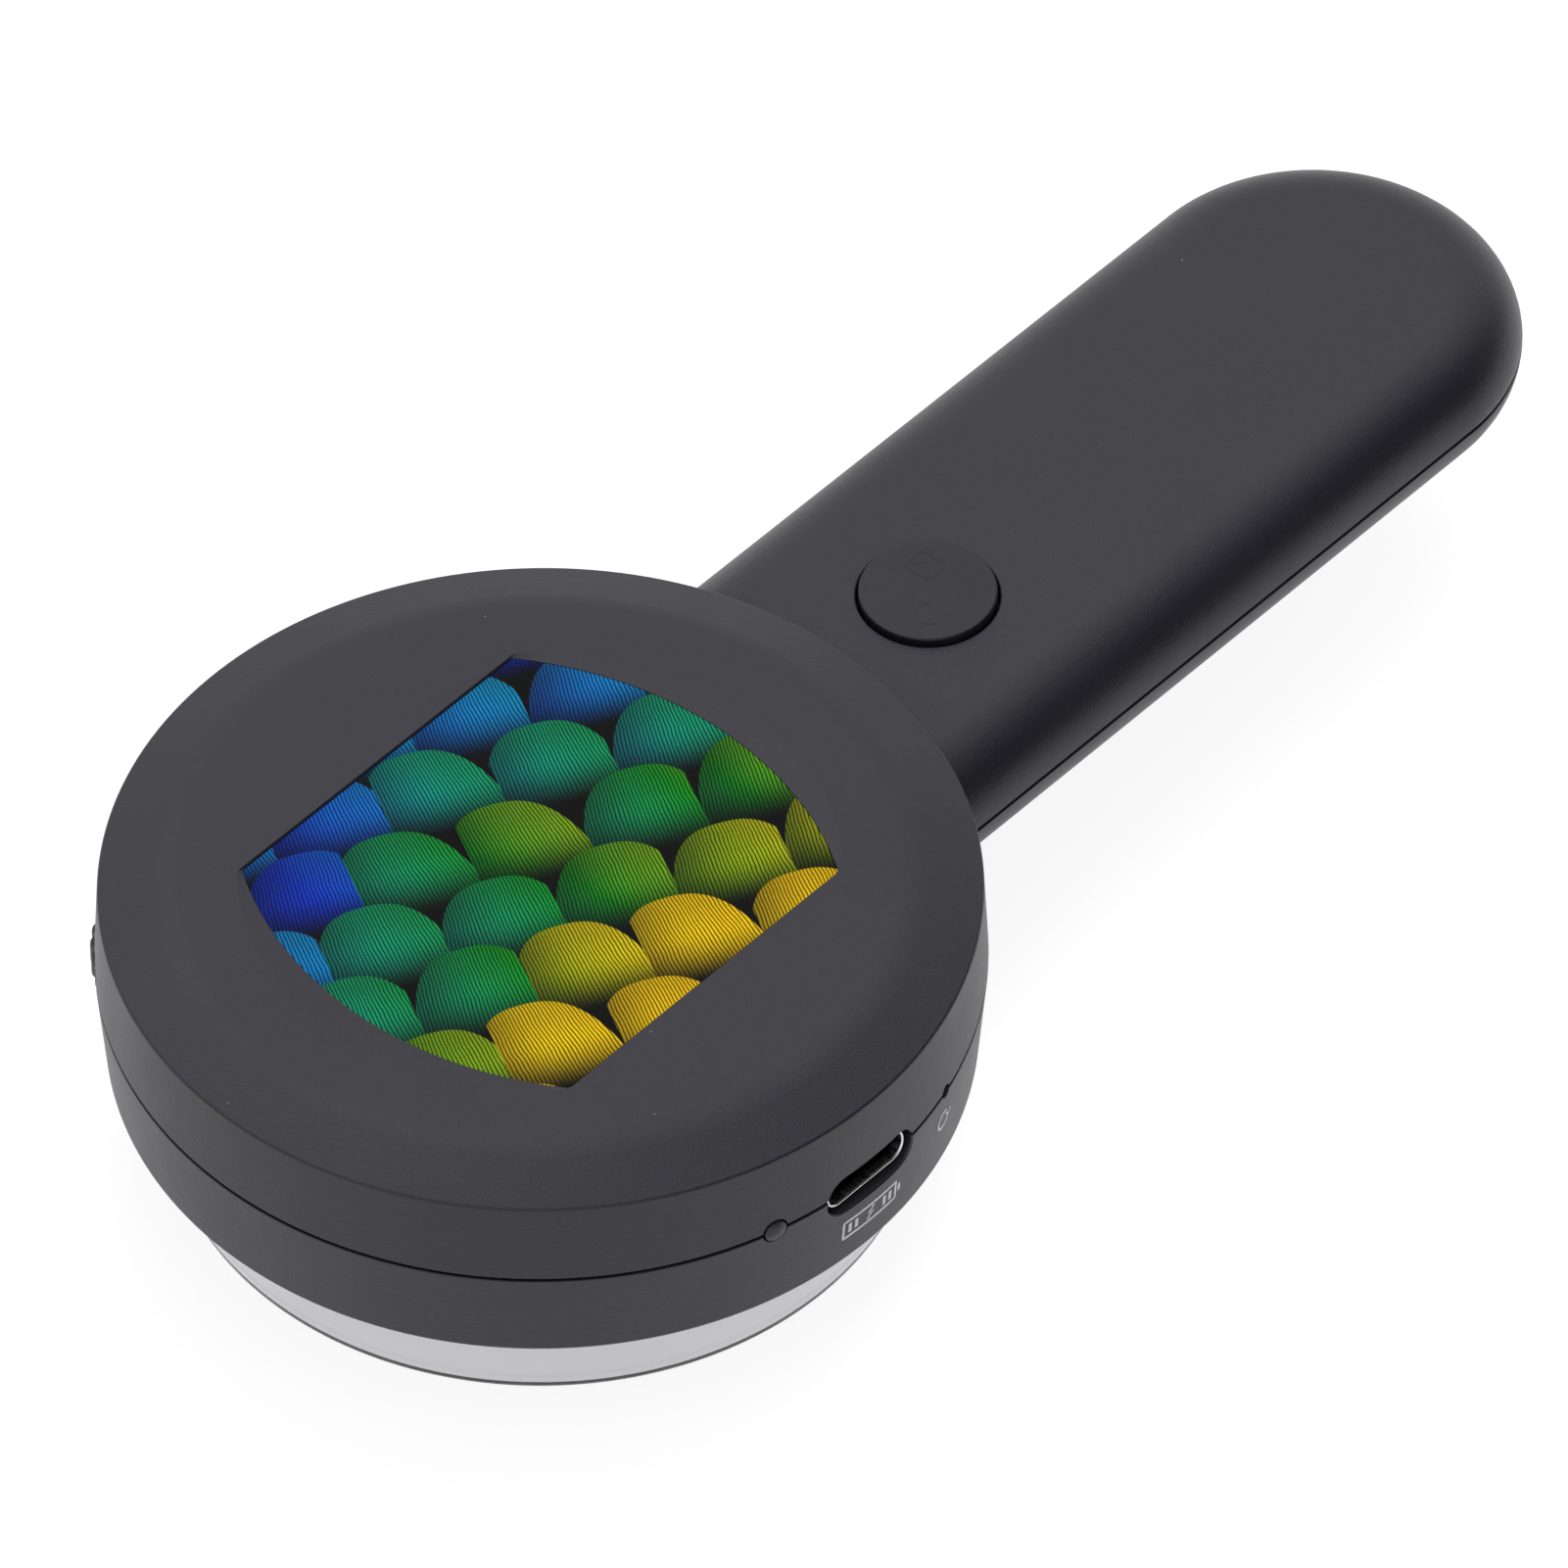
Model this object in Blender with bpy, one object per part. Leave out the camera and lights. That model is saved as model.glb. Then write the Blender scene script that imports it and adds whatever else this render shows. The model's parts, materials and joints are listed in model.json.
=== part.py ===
"""Handheld digital magnifier: a round head with a screen on top and a camera below, on a flat handle.

Everything is built around the empty "magnifier", whose Z axis is the head's axis. The handle runs along
+Y and the charging port faces +X. The clear hood's rim rests at height zero. Sizes are in metres.
"""

import math

import bmesh
import bpy
from mathutils import Matrix, Vector

# Fits that many pieces share
SEAT_GAP = 0.0003
SIDE_GAP = 0.00015
SLIDE_GAP = 0.0002
SOLDER_GAP = 0.0002
THREAD_GAP = 0.0001
OVERRUN = 0.002
WELD_DISTANCE = 0.0000005

# Head, from its wall inwards
HEAD_RADIUS = 0.0349
RIM_DRAFT = 0.0004
RIM_DROP = 0.0016
RIM_ROUND = 0.0005
RIM_WIDTH = 0.00535
FACE_WALL = 0.0010
BASE_DRAFT = 0.0007
BASE_HEIGHT = 0.00925
WALL = 0.0018
FLOOR = 0.0018

# Seam between the two shells
SEAM_DROP = 0.00136
SEAM_GAP = 0.0003
LIP_SKIN = 0.00095
LIP_RISE = 0.0012

# Handle
HANDLE_HALF_WIDTH = 0.01666
HANDLE_LENGTH = 0.0571
HANDLE_RISE = 0.0054
HANDLE_DROP = 0.0058
TOP_ROLL = 0.0060
BOTTOM_ROLL = 0.0060
NECK_FILLET = 0.0020
NECK_ROOT_SHARE = 0.8

# Screen and the window in the head's face
WINDOW_SIDE_INSET = 0.01191
WINDOW_END_INSET = 0.00845
WINDOW_CORNER_INSET = 0.00032
RECESS_INSET = 0.00565
COVER_SINK = 0.0003
COVER_THICKNESS = 0.0008
COVER_LAP = 0.0016
GASKET_THICKNESS = 0.0004
GASKET_WIDTH = 0.0010
PANEL_THICKNESS = 0.0010
PANEL_LAP = 0.0020
PANEL_CORNER_REACH = 0.00225
BACKLIGHT_THICKNESS = 0.0010
BACKLIGHT_TRIM = 0.0002
FLEX_THICKNESS = 0.0002
FLEX_LANDING = 0.0030
SCREEN_FLEX_WIDTH = 0.012

# Main board and its chips
BOARD_THICKNESS = 0.0010
BOARD_EDGE_GAP = 0.0018
PROCESSOR_SIZE = 0.009
PROCESSOR_X = -0.006
MEMORY_SIZE = 0.006
MEMORY_X = 0.008
CHIPS_Y = -0.006
CHIP_HEIGHT = 0.0009
MAIN_POST_INSET = 0.0033
MAIN_POST_ANGLES = (60, 160, 290)
POST_RADIUS = 0.0022

# Screws
SCREW_HEAD_RADIUS = 0.0017
SCREW_HEAD_HEIGHT = 0.0009
SCREW_HEAD_EDGE = 0.0003
SCREW_SHANK_RADIUS = 0.0008
SCREW_LENGTH = 0.0045
SCREW_SLOT_WIDTH = 0.0006
SCREW_SLOT_LENGTH = 0.0020
SCREW_SLOT_DEPTH = 0.0005
SHELL_SCREW_LENGTH = 0.0062
SHELL_SCREW_SINK = 0.0003
NECK_SCREW_INSET = 0.00786
NECK_SCREW_OFFSET = 0.0026
END_SCREW_INSET = 0.0082

# Charging port
PORT_ANGLE = 0
PORT_CLEARANCE = 0.00035
PORT_SHELL_WIDTH = 0.00894
PORT_SHELL_HEIGHT = 0.00316
PORT_SHELL_WALL = 0.0003
PORT_SHELL_DEPTH = 0.0073
PORT_RECESS = 0.00055
TONGUE_WIDTH = 0.0067
TONGUE_THICKNESS = 0.0007
TONGUE_DEPTH = 0.0048

# Status light and reset switch, either side of the port
LIGHT_ANGLE = -16.3
LIGHT_RADIUS = 0.00095
LIGHT_PROUD = 0.0003
LED_LENGTH = 0.0016
LED_WIDTH = 0.0030
LED_HEIGHT = 0.0014
RESET_ANGLE = 16.6
RESET_HOLE_RADIUS = 0.0006
RESET_BODY_LENGTH = 0.0030
RESET_BODY_WIDTH = 0.0040
RESET_BODY_HEIGHT = 0.0022
RESET_BODY_SETBACK = 0.0022
RESET_PLUNGER_WIDTH = 0.0016
RESET_PLUNGER_HEIGHT = 0.0010
RESET_PLUNGER_LENGTH = 0.0018
RESET_PLUNGER_PROUD = 0.0006
RESET_TRAVEL = 0.0002

# Push button in the handle
BUTTON_OFFSET = 0.0103
BUTTON_RADIUS = 0.00553
BUTTON_PROUD = 0.0006
BUTTON_WALL = 0.0011
BUTTON_EDGE = 0.0002
BUTTON_FLANGE = 0.0009
BUTTON_FLANGE_THICKNESS = 0.0008
BUTTON_STEM_RADIUS = 0.0016
BUTTON_TRAVEL = 0.0003
SWITCH_SIZE = 0.006
SWITCH_HEIGHT = 0.0031
SWITCH_PLUNGER_RADIUS = 0.00175
SWITCH_PLUNGER_SINK = 0.0012
SWITCH_PLUNGER_PROUD = 0.0004
BUTTON_BOARD_LENGTH = 0.0106
BUTTON_BOARD_WIDTH = 0.0166
BUTTON_BOARD_SCREW_GAP = 0.0012
BUTTON_FLEX_WIDTH = 0.005

# Battery in the handle
BATTERY_SIDE_ROOM = 0.00486
BATTERY_FRONT_ROOM = 0.0036
BATTERY_HEADROOM = 0.0006
BATTERY_ROUND = 0.0014
PAD_THICKNESS = 0.0005
PAD_TRIM = 0.0010
LEAD_RADIUS = 0.00045

# Focus wheel and its gears
WHEEL_ANGLE = 222
WHEEL_RADIUS = 0.0098
WHEEL_PROUD = 0.0003
WHEEL_THICKNESS = 0.0022
WHEEL_RIDGES = 40
WHEEL_RIDGE_DEPTH = 0.0003
WHEEL_SLOT_GAP = 0.0003
PINION_TEETH = 16
RING_TEETH = 48
GEAR_THICKNESS = 0.0015
GEAR_GAP = 0.0003
TOOTH_TIP_SHARE = 0.8
TOOTH_ROOT_SHARE = 1.05
TOOTH_TIP_WIDTH_SHARE = 0.12
TOOTH_ROOT_WIDTH_SHARE = 0.27
HUB_RADIUS = 0.0040
HUB_TUCK = 0.0002
AXLE_RADIUS = 0.00075
AXLE_BOSS_RADIUS = 0.0020

# Camera
LENS_TRAVEL = 0.0008
BARREL_RADIUS = 0.0067
BARREL_LENGTH = 0.0073
BARREL_LIP = 0.0003
BARREL_BORE = 0.0036
FRONT_LENS_RADIUS = 0.0050
FRONT_LENS_EDGE = 0.0012
FRONT_LENS_BULGE = 0.0006
FRONT_LENS_SINK = 0.0007
REAR_LENS_RADIUS = 0.0042
REAR_LENS_EDGE = 0.0009
REAR_LENS_BULGE = 0.0004
REAR_LENS_SINK = 0.0012
KEY_WIDTH = 0.0012
KEY_DEPTH = 0.0006
RING_SPIGOT_WALL = 0.0009
HOLDER_WALL = 0.0016
HOLDER_HEIGHT = 0.0028
HOLDER_ARM_WIDTH = 0.0036
HOLDER_ARM_THICKNESS = 0.0012
HOLDER_POST_GAP = 0.0005
CAMERA_BOARD_SIZE = 0.013
CAMERA_BOARD_THICKNESS = 0.0008
SENSOR_SIZE = 0.007
SENSOR_HEIGHT = 0.0007

# Ring light under the camera
POCKET_INSET = 0.0132
POCKET_DEPTH = 0.00305
POCKET_WALL = 0.0010
LIGHT_BOARD_THICKNESS = 0.0008
RING_LED_COUNT = 8
RING_LED_LENGTH = 0.0035
RING_LED_WIDTH = 0.0028
RING_LED_HEIGHT = 0.0007
DIFFUSER_THICKNESS = 0.00065

# Clear hood
HOOD_INSET = 0.0032
HOOD_TAPER = 0.00136
HOOD_FOOT_WALL = 0.0017
HOOD_SHOULDER = 0.0006
HOOD_TONGUE_WALL = 0.0018
HOOD_TONGUE_RISE = 0.0009
HOOD_EDGE = 0.0003

# Lanyard slot in the handle's end
LANYARD_ANGLE = 145
LANYARD_WIDTH = 0.0039
LANYARD_HEIGHT = 0.0025
LANYARD_DEPTH = 0.0050
LANYARD_RISE = 0.00066
LANYARD_BLOCK_RADIUS = 0.0040
LANYARD_PIN_RADIUS = 0.0006
LANYARD_PIN_INSET = 0.0032
LANYARD_PIN_ROOT = 0.0003

# Facets
HEAD_STEPS = 64
MIDDLE_STEPS = 32
SMALL_STEPS = 12
ROLL_STEPS = 5
END_STEPS = 22
NECK_STEPS = 3
WINDOW_STEPS = 14
CORNER_STEPS = 3
LEAD_STEPS = 4
SMOOTH_ANGLE = math.radians(32)

# What follows the head's radius
RIM_RADIUS = HEAD_RADIUS - RIM_DRAFT
FACE_RADIUS = RIM_RADIUS - RIM_WIDTH
BASE_RADIUS = HEAD_RADIUS - BASE_DRAFT
HANDLE_REACH = HEAD_RADIUS + HANDLE_LENGTH
BUTTON_REACH = HEAD_RADIUS + BUTTON_OFFSET
WINDOW_HALF_WIDTH = FACE_RADIUS - WINDOW_SIDE_INSET
WINDOW_REACH = FACE_RADIUS - WINDOW_END_INSET
RECESS_RADIUS = FACE_RADIUS - RECESS_INSET
POCKET_RADIUS = BASE_RADIUS - POCKET_INSET
HOOD_TOP_RADIUS = BASE_RADIUS - HOOD_INSET
HOOD_FOOT_RADIUS = HOOD_TOP_RADIUS - HOOD_TAPER

# The stack inside the head, from the pocket of the ring light up to the face
POCKET_CEILING = BASE_HEIGHT + POCKET_DEPTH
POCKET_ROOF = POCKET_CEILING + POCKET_WALL
GEAR_BOTTOM = POCKET_ROOF + GEAR_GAP
GEAR_TOP = GEAR_BOTTOM + GEAR_THICKNESS
HOLDER_BOTTOM = GEAR_TOP + SLIDE_GAP
HOLDER_TOP = HOLDER_BOTTOM + HOLDER_HEIGHT
CAMERA_BOARD_BOTTOM = HOLDER_TOP + SEAT_GAP
CAMERA_BOARD_TOP = CAMERA_BOARD_BOTTOM + CAMERA_BOARD_THICKNESS
MAIN_BOARD_BOTTOM = CAMERA_BOARD_TOP + SLIDE_GAP
MAIN_BOARD_TOP = MAIN_BOARD_BOTTOM + BOARD_THICKNESS
CHIP_TOP = MAIN_BOARD_TOP + SOLDER_GAP + CHIP_HEIGHT
BACKLIGHT_BOTTOM = CHIP_TOP + SEAT_GAP
BACKLIGHT_TOP = BACKLIGHT_BOTTOM + BACKLIGHT_THICKNESS
PANEL_BOTTOM = BACKLIGHT_TOP + SEAT_GAP
PANEL_TOP = PANEL_BOTTOM + PANEL_THICKNESS
GASKET_BOTTOM = PANEL_TOP + SEAT_GAP
GASKET_TOP = GASKET_BOTTOM + GASKET_THICKNESS
COVER_BOTTOM = GASKET_TOP + SEAT_GAP
COVER_TOP = COVER_BOTTOM + COVER_THICKNESS
FACE_UNDERSIDE = COVER_TOP + SEAT_GAP
HEAD_HEIGHT = FACE_UNDERSIDE + FACE_WALL
COVER_FACE = HEAD_HEIGHT - COVER_SINK
RIM_HEIGHT = HEAD_HEIGHT - RIM_DROP

# Heights of the shells
SEAM_HEIGHT = MAIN_BOARD_BOTTOM - SEAM_DROP
SHELL_POST_TOP = SEAM_HEIGHT - SEAM_GAP / 2
SHELL_BOSS_BOTTOM = SEAM_HEIGHT + SEAM_GAP / 2
FLOOR_TOP = BASE_HEIGHT + FLOOR
FLOOR_MIDDLE = BASE_HEIGHT + FLOOR / 2
HANDLE_TOP = SEAM_HEIGHT + HANDLE_RISE
HANDLE_BOTTOM = SEAM_HEIGHT - HANDLE_DROP
HANDLE_CEILING = HANDLE_TOP - WALL
HANDLE_FLOOR = HANDLE_BOTTOM + WALL
HANDLE_FLOOR_MIDDLE = HANDLE_BOTTOM + WALL / 2
HANDLE_END = HANDLE_REACH + HANDLE_HALF_WIDTH
HEAD_PLACE = (HEAD_RADIUS - HANDLE_END) / 2
SHELL_SCREW_SEAT = HANDLE_BOTTOM + SHELL_SCREW_SINK + SCREW_HEAD_HEIGHT
SHELL_SCREW_TIP = SHELL_SCREW_SEAT + SHELL_SCREW_LENGTH
NECK_SCREW_HALF_SPACING = HANDLE_HALF_WIDTH - NECK_SCREW_INSET
SHELL_SCREW_PLACES = (
    (NECK_SCREW_HALF_SPACING, HEAD_RADIUS + NECK_SCREW_OFFSET),
    (-NECK_SCREW_HALF_SPACING, HEAD_RADIUS + NECK_SCREW_OFFSET),
    (0, HANDLE_END - END_SCREW_INSET),
)

# Places on the main board
MAIN_BOARD_RADIUS = HEAD_RADIUS - WALL - BOARD_EDGE_GAP
MAIN_POST_ORBIT = MAIN_BOARD_RADIUS - MAIN_POST_INSET
MAIN_POST_TOP = MAIN_BOARD_BOTTOM - SEAT_GAP
MAIN_SCREW_SEAT = MAIN_BOARD_TOP + SEAT_GAP
UNDER_BOARD = MAIN_BOARD_BOTTOM - SOLDER_GAP
PORT_HEIGHT = MAIN_BOARD_BOTTOM - SEAT_GAP - PORT_SHELL_HEIGHT / 2

# The focus drive and the camera
WHEEL_ORBIT = HEAD_RADIUS + WHEEL_PROUD - WHEEL_RADIUS
WHEEL_TOP = MAIN_BOARD_BOTTOM - SEAT_GAP
WHEEL_BOTTOM = WHEEL_TOP - WHEEL_THICKNESS
GEAR_MODULE = 2 * WHEEL_ORBIT / (PINION_TEETH + RING_TEETH)
RING_TIP_RADIUS = GEAR_MODULE * (RING_TEETH / 2 + TOOTH_TIP_SHARE)
RING_BORE = BARREL_RADIUS + SLIDE_GAP
RING_SPIGOT_RADIUS = RING_BORE + RING_SPIGOT_WALL
SENSOR_TOP = CAMERA_BOARD_BOTTOM - SOLDER_GAP
SENSOR_BOTTOM = SENSOR_TOP - SENSOR_HEIGHT
BARREL_TOP = SENSOR_BOTTOM - SLIDE_GAP - LENS_TRAVEL
BARREL_BOTTOM = BARREL_TOP - BARREL_LENGTH
HOLDER_ARM_TOP = HOLDER_TOP - SENSOR_HEIGHT
HOLDER_ARM_BOTTOM = HOLDER_ARM_TOP - HOLDER_ARM_THICKNESS
HOLDER_POST_TOP = HOLDER_ARM_BOTTOM - SEAT_GAP
HOLDER_POST_ORBIT = RING_TIP_RADIUS + HOLDER_POST_GAP + POST_RADIUS
HOLDER_SCREW_SEAT = HOLDER_ARM_TOP + SEAT_GAP

# The ring light and the hood
LIGHT_BOARD_TOP = POCKET_CEILING - SEAT_GAP
LIGHT_BOARD_BOTTOM = LIGHT_BOARD_TOP - LIGHT_BOARD_THICKNESS
RING_LED_TOP = LIGHT_BOARD_BOTTOM - SOLDER_GAP
RING_LED_BOTTOM = RING_LED_TOP - RING_LED_HEIGHT
DIFFUSER_TOP = RING_LED_BOTTOM - SEAT_GAP
RING_LED_ORBIT = (POCKET_RADIUS + RING_SPIGOT_RADIUS) / 2
HOOD_TOP = BASE_HEIGHT - SEAT_GAP
HOOD_TONGUE_RADIUS = HOOD_TOP_RADIUS - HOOD_SHOULDER
HOOD_TONGUE_INNER = HOOD_TONGUE_RADIUS - HOOD_TONGUE_WALL
HOOD_TONGUE_TOP = HOOD_TOP + HOOD_TONGUE_RISE

# The button's stack, from the handle's roof down to its board
BUTTON_TOP = HANDLE_TOP + BUTTON_PROUD
BUTTON_FLANGE_TOP = HANDLE_CEILING - SLIDE_GAP
BUTTON_BOTTOM = BUTTON_FLANGE_TOP - BUTTON_FLANGE_THICKNESS
PLUNGER_TOP = BUTTON_BOTTOM - THREAD_GAP
SWITCH_TOP = PLUNGER_TOP - SWITCH_PLUNGER_PROUD
SWITCH_BOTTOM = SWITCH_TOP - SWITCH_HEIGHT
BUTTON_BOARD_TOP = SWITCH_BOTTOM - SOLDER_GAP
BUTTON_BOARD_BOTTOM = BUTTON_BOARD_TOP - BOARD_THICKNESS
BUTTON_SCREW_SEAT = BUTTON_BOARD_TOP + SEAT_GAP
BUTTON_SCREW_TIP = HANDLE_FLOOR_MIDDLE
BUTTON_SCREW_OFFSET = SWITCH_SIZE / 2 + SCREW_HEAD_RADIUS + BUTTON_BOARD_SCREW_GAP

# The battery, as large as its room allows
PAD_BOTTOM = HANDLE_FLOOR + SEAT_GAP
BATTERY_BOTTOM = PAD_BOTTOM + PAD_THICKNESS + SEAT_GAP
BATTERY_THICKNESS = HANDLE_CEILING - BATTERY_HEADROOM - BATTERY_BOTTOM
BATTERY_WIDTH = 2 * (HANDLE_HALF_WIDTH - WALL - BATTERY_SIDE_ROOM)
BATTERY_START = BUTTON_REACH + BUTTON_BOARD_LENGTH / 2 + BATTERY_FRONT_ROOM
BATTERY_LENGTH = HANDLE_REACH - BATTERY_START
LANYARD_LOW = SEAM_HEIGHT + LANYARD_RISE
LANYARD_HIGH = LANYARD_LOW + LANYARD_HEIGHT


# Forms


def outline_arc(centre, radius, start, end, steps):
    """Points on an arc, from the angle start to the angle end, both included."""
    points = []
    for step in range(steps + 1):
        angle = start + (end - start) * step / steps
        points.append((centre[0] + radius * math.cos(angle), centre[1] + radius * math.sin(angle)))
    return points


def circle_outline(radius, steps):
    return outline_arc((0, 0), radius, 0, 2 * math.pi, steps)[:-1]


def rounded_rectangle(width, height, radius, steps=CORNER_STEPS):
    """A rectangle about the origin with four round corners."""
    points = []
    for quarter, (side, up) in enumerate(((1, 1), (-1, 1), (-1, -1), (1, -1))):
        centre = (side * (width / 2 - radius), up * (height / 2 - radius))
        start = quarter * math.pi / 2
        points += outline_arc(centre, radius, start, start + math.pi / 2, steps)
    return points


def prism(outline, low, high):
    """A closed straight prism on a level outline."""
    form = bmesh.new()
    foot = form.faces.new([form.verts.new((x, y, low)) for x, y in outline])
    raised = bmesh.ops.extrude_face_region(form, geom=[foot])["geom"]
    top = [item for item in raised if isinstance(item, bmesh.types.BMVert)]
    bmesh.ops.translate(form, vec=(0, 0, high - low), verts=top)
    return tidy(form)


def turned(profile, steps=SMALL_STEPS):
    """A profile of (radius, height) points spun about the Z axis, closed from its last point to its first."""
    form = bmesh.new()
    points = [form.verts.new((radius, 0, height)) for radius, height in profile]
    edges = [form.edges.new((a, b)) for a, b in zip(points, points[1:])]
    if profile[0][0] > 0 or profile[-1][0] > 0:
        edges.append(form.edges.new((points[-1], points[0])))
    bmesh.ops.spin(
        form,
        geom=points + edges,
        cent=(0, 0, 0),
        axis=(0, 0, 1),
        angle=2 * math.pi,
        steps=steps,
        use_merge=True,
    )
    return tidy(form)


def disc(radius, low, high, steps=SMALL_STEPS):
    return prism(circle_outline(radius, steps), low, high)


def collar(outer, inner, low, high, steps=SMALL_STEPS):
    return turned([(outer, high), (outer, low), (inner, low), (inner, high)], steps)


def block(low, high):
    """A box between two corners."""
    form = bmesh.new()
    bmesh.ops.create_cube(form, size=1)
    size = Vector(high) - Vector(low)
    bmesh.ops.scale(form, vec=size, verts=form.verts)
    bmesh.ops.translate(form, vec=(Vector(low) + Vector(high)) / 2, verts=form.verts)
    return form


def loft(rings):
    """A closed form through level rings with the same number of points, lowest first."""
    form = bmesh.new()
    levels = [[form.verts.new(point) for point in ring] for ring in rings]
    for below, above in zip(levels, levels[1:]):
        for index, corner in enumerate(below):
            after = (index + 1) % len(below)
            form.faces.new((corner, below[after], above[after], above[index]))
    form.faces.new(list(reversed(levels[0])))
    form.faces.new(levels[-1])
    return tidy(form)


def tidy(form):
    bmesh.ops.remove_doubles(form, verts=form.verts, dist=WELD_DISTANCE)
    bmesh.ops.recalc_face_normals(form, faces=form.faces)
    return form


def moved(form, x=0, y=0, z=0):
    bmesh.ops.translate(form, vec=(x, y, z), verts=form.verts)
    return form


def rotated(form, angle, axis="Z"):
    """The form turned about an axis through the origin, by an angle in degrees."""
    turn = Matrix.Rotation(math.radians(angle), 3, axis)
    bmesh.ops.rotate(form, cent=(0, 0, 0), matrix=turn, verts=form.verts)
    return form


def laid_along_x(form):
    """A form drawn in X and Y and raised along Z, laid so that it is seen in Y and Z and reaches along X."""
    axes = Matrix(((0, 0, 1), (1, 0, 0), (0, 1, 0)))
    bmesh.ops.transform(form, matrix=axes.to_4x4(), verts=form.verts)
    return tidy(form)


def together(*forms):
    """Several separate forms in one."""
    whole = forms[0]
    for form in forms[1:]:
        mesh = bpy.data.meshes.new("part of a form")
        form.to_mesh(mesh)
        whole.from_mesh(mesh)
        bpy.data.meshes.remove(mesh)
        form.free()
    return whole


def column(radius, low, high, x, y=0):
    """A round post or hole between two heights, at a place."""
    return moved(disc(radius, low, high), x, y)


def on_circle(radius, angle):
    """X and Y of a point at an angle in degrees."""
    return radius * math.cos(math.radians(angle)), radius * math.sin(math.radians(angle))


# Objects


def clear_scene():
    for thing in list(bpy.data.objects):
        bpy.data.objects.remove(thing, do_unlink=True)


def material(name, colour, roughness, metallic=0.0, alpha=1.0):
    made = bpy.data.materials.new(name)
    made.use_nodes = True
    shader = made.node_tree.nodes["Principled BSDF"]
    shader.inputs["Base Color"].default_value = (*colour, 1)
    shader.inputs["Roughness"].default_value = roughness
    shader.inputs["Metallic"].default_value = metallic
    shader.inputs["Alpha"].default_value = alpha
    made.diffuse_color = (*colour, alpha)
    return made


def place(name, form, at=(0, 0, 0), angle=0):
    """An object with this form under the magnifier's empty, with its origin at a place of its own."""
    mesh = bpy.data.meshes.new(name)
    form.to_mesh(mesh)
    form.free()
    mesh.shade_smooth()
    mesh.set_sharp_from_angle(angle=SMOOTH_ANGLE)
    thing = bpy.data.objects.new(name, mesh)
    bpy.context.scene.collection.objects.link(thing)
    thing.parent = bpy.data.objects["magnifier"]
    thing.location = at
    thing.rotation_euler = (0, 0, math.radians(angle))
    return thing


def piece(name, form, finish, at=(0, 0, 0), angle=0):
    thing = place(name, form, at, angle)
    thing.data.materials.append(finish)
    return thing


def helper(name, form, at=(0, 0, 0), angle=0):
    """A form that only cuts or joins, and isn't part of the object."""
    thing = place(name, form, at, angle)
    thing.hide_render = True
    thing.display_type = "WIRE"
    return thing


def combine(thing, other, operation):
    step = thing.modifiers.new(other.name, "BOOLEAN")
    step.operation = operation
    step.object = other
    step.solver = "EXACT"


def cut(thing, *tools):
    for tool in tools:
        combine(thing, tool, "DIFFERENCE")


def join(thing, *others):
    for other in others:
        combine(thing, other, "UNION")


# Outlines of the head and the handle


def handle_outline(inset):
    """The handle's plan, drawn in by inset, with its neck fillets and its round end."""
    fillet_x = HANDLE_HALF_WIDTH + NECK_FILLET
    fillet_y = math.sqrt((HEAD_RADIUS + NECK_FILLET) ** 2 - fillet_x**2)
    spread = math.atan2(fillet_y, fillet_x)
    curve = outline_arc(
        (fillet_x, fillet_y), NECK_FILLET + inset, math.pi + spread, math.pi, NECK_STEPS
    )
    root = (curve[0][0] * NECK_ROOT_SHARE, curve[0][1] * NECK_ROOT_SHARE)
    right = [root, *curve]
    end = outline_arc((0, HANDLE_REACH), HANDLE_HALF_WIDTH - inset, 0, math.pi, END_STEPS)
    left = [(-x, y) for x, y in reversed(right)]
    return right + end + left


def handle_form(inset, bottom, top):
    """The handle between two heights, rolled in from the seam to its flat top and bottom."""
    rings = []
    for step in range(ROLL_STEPS, 0, -1):
        angle = math.pi / 2 * step / ROLL_STEPS
        height = SEAM_HEIGHT - (SEAM_HEIGHT - bottom) * math.sin(angle)
        rings.append((inset + BOTTOM_ROLL * (1 - math.cos(angle)), height))
    for step in range(ROLL_STEPS + 1):
        angle = math.pi / 2 * step / ROLL_STEPS
        height = SEAM_HEIGHT + (top - SEAM_HEIGHT) * math.sin(angle)
        rings.append((inset + TOP_ROLL * (1 - math.cos(angle)), height))
    return loft([[(x, y, height) for x, y in handle_outline(drawn_in)] for drawn_in, height in rings])


def head_form():
    """The head's outside: a flat face, a sloped ring, a rounded rim and a wall that narrows below."""
    rim = outline_arc(
        (RIM_RADIUS - RIM_ROUND, RIM_HEIGHT - RIM_ROUND), RIM_ROUND, math.pi / 2, 0, CORNER_STEPS
    )
    profile = [(0, HEAD_HEIGHT), (FACE_RADIUS, HEAD_HEIGHT), *rim]
    profile += [(HEAD_RADIUS, SEAM_HEIGHT), (BASE_RADIUS, BASE_HEIGHT + RIM_ROUND)]
    profile += [(BASE_RADIUS - RIM_ROUND, BASE_HEIGHT), (0, BASE_HEIGHT)]
    return turned(profile, HEAD_STEPS)


def head_hollow():
    """The room inside the head."""
    return turned(
        [
            (0, FACE_UNDERSIDE),
            (FACE_RADIUS, FACE_UNDERSIDE),
            (RIM_RADIUS - WALL, RIM_HEIGHT - WALL),
            (HEAD_RADIUS - WALL, SEAM_HEIGHT),
            (BASE_RADIUS - WALL, FLOOR_TOP),
            (0, FLOOR_TOP),
        ],
        HEAD_STEPS,
    )


def plan_helper(name, inset, low, high):
    """The plan of head and handle together, drawn in by inset, as a straight helper between two heights."""
    thing = helper(name, disc(HEAD_RADIUS - inset, low, high, HEAD_STEPS))
    join(thing, helper(name + " handle", prism(handle_outline(inset), low, high)))
    return thing


# Shells


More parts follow.
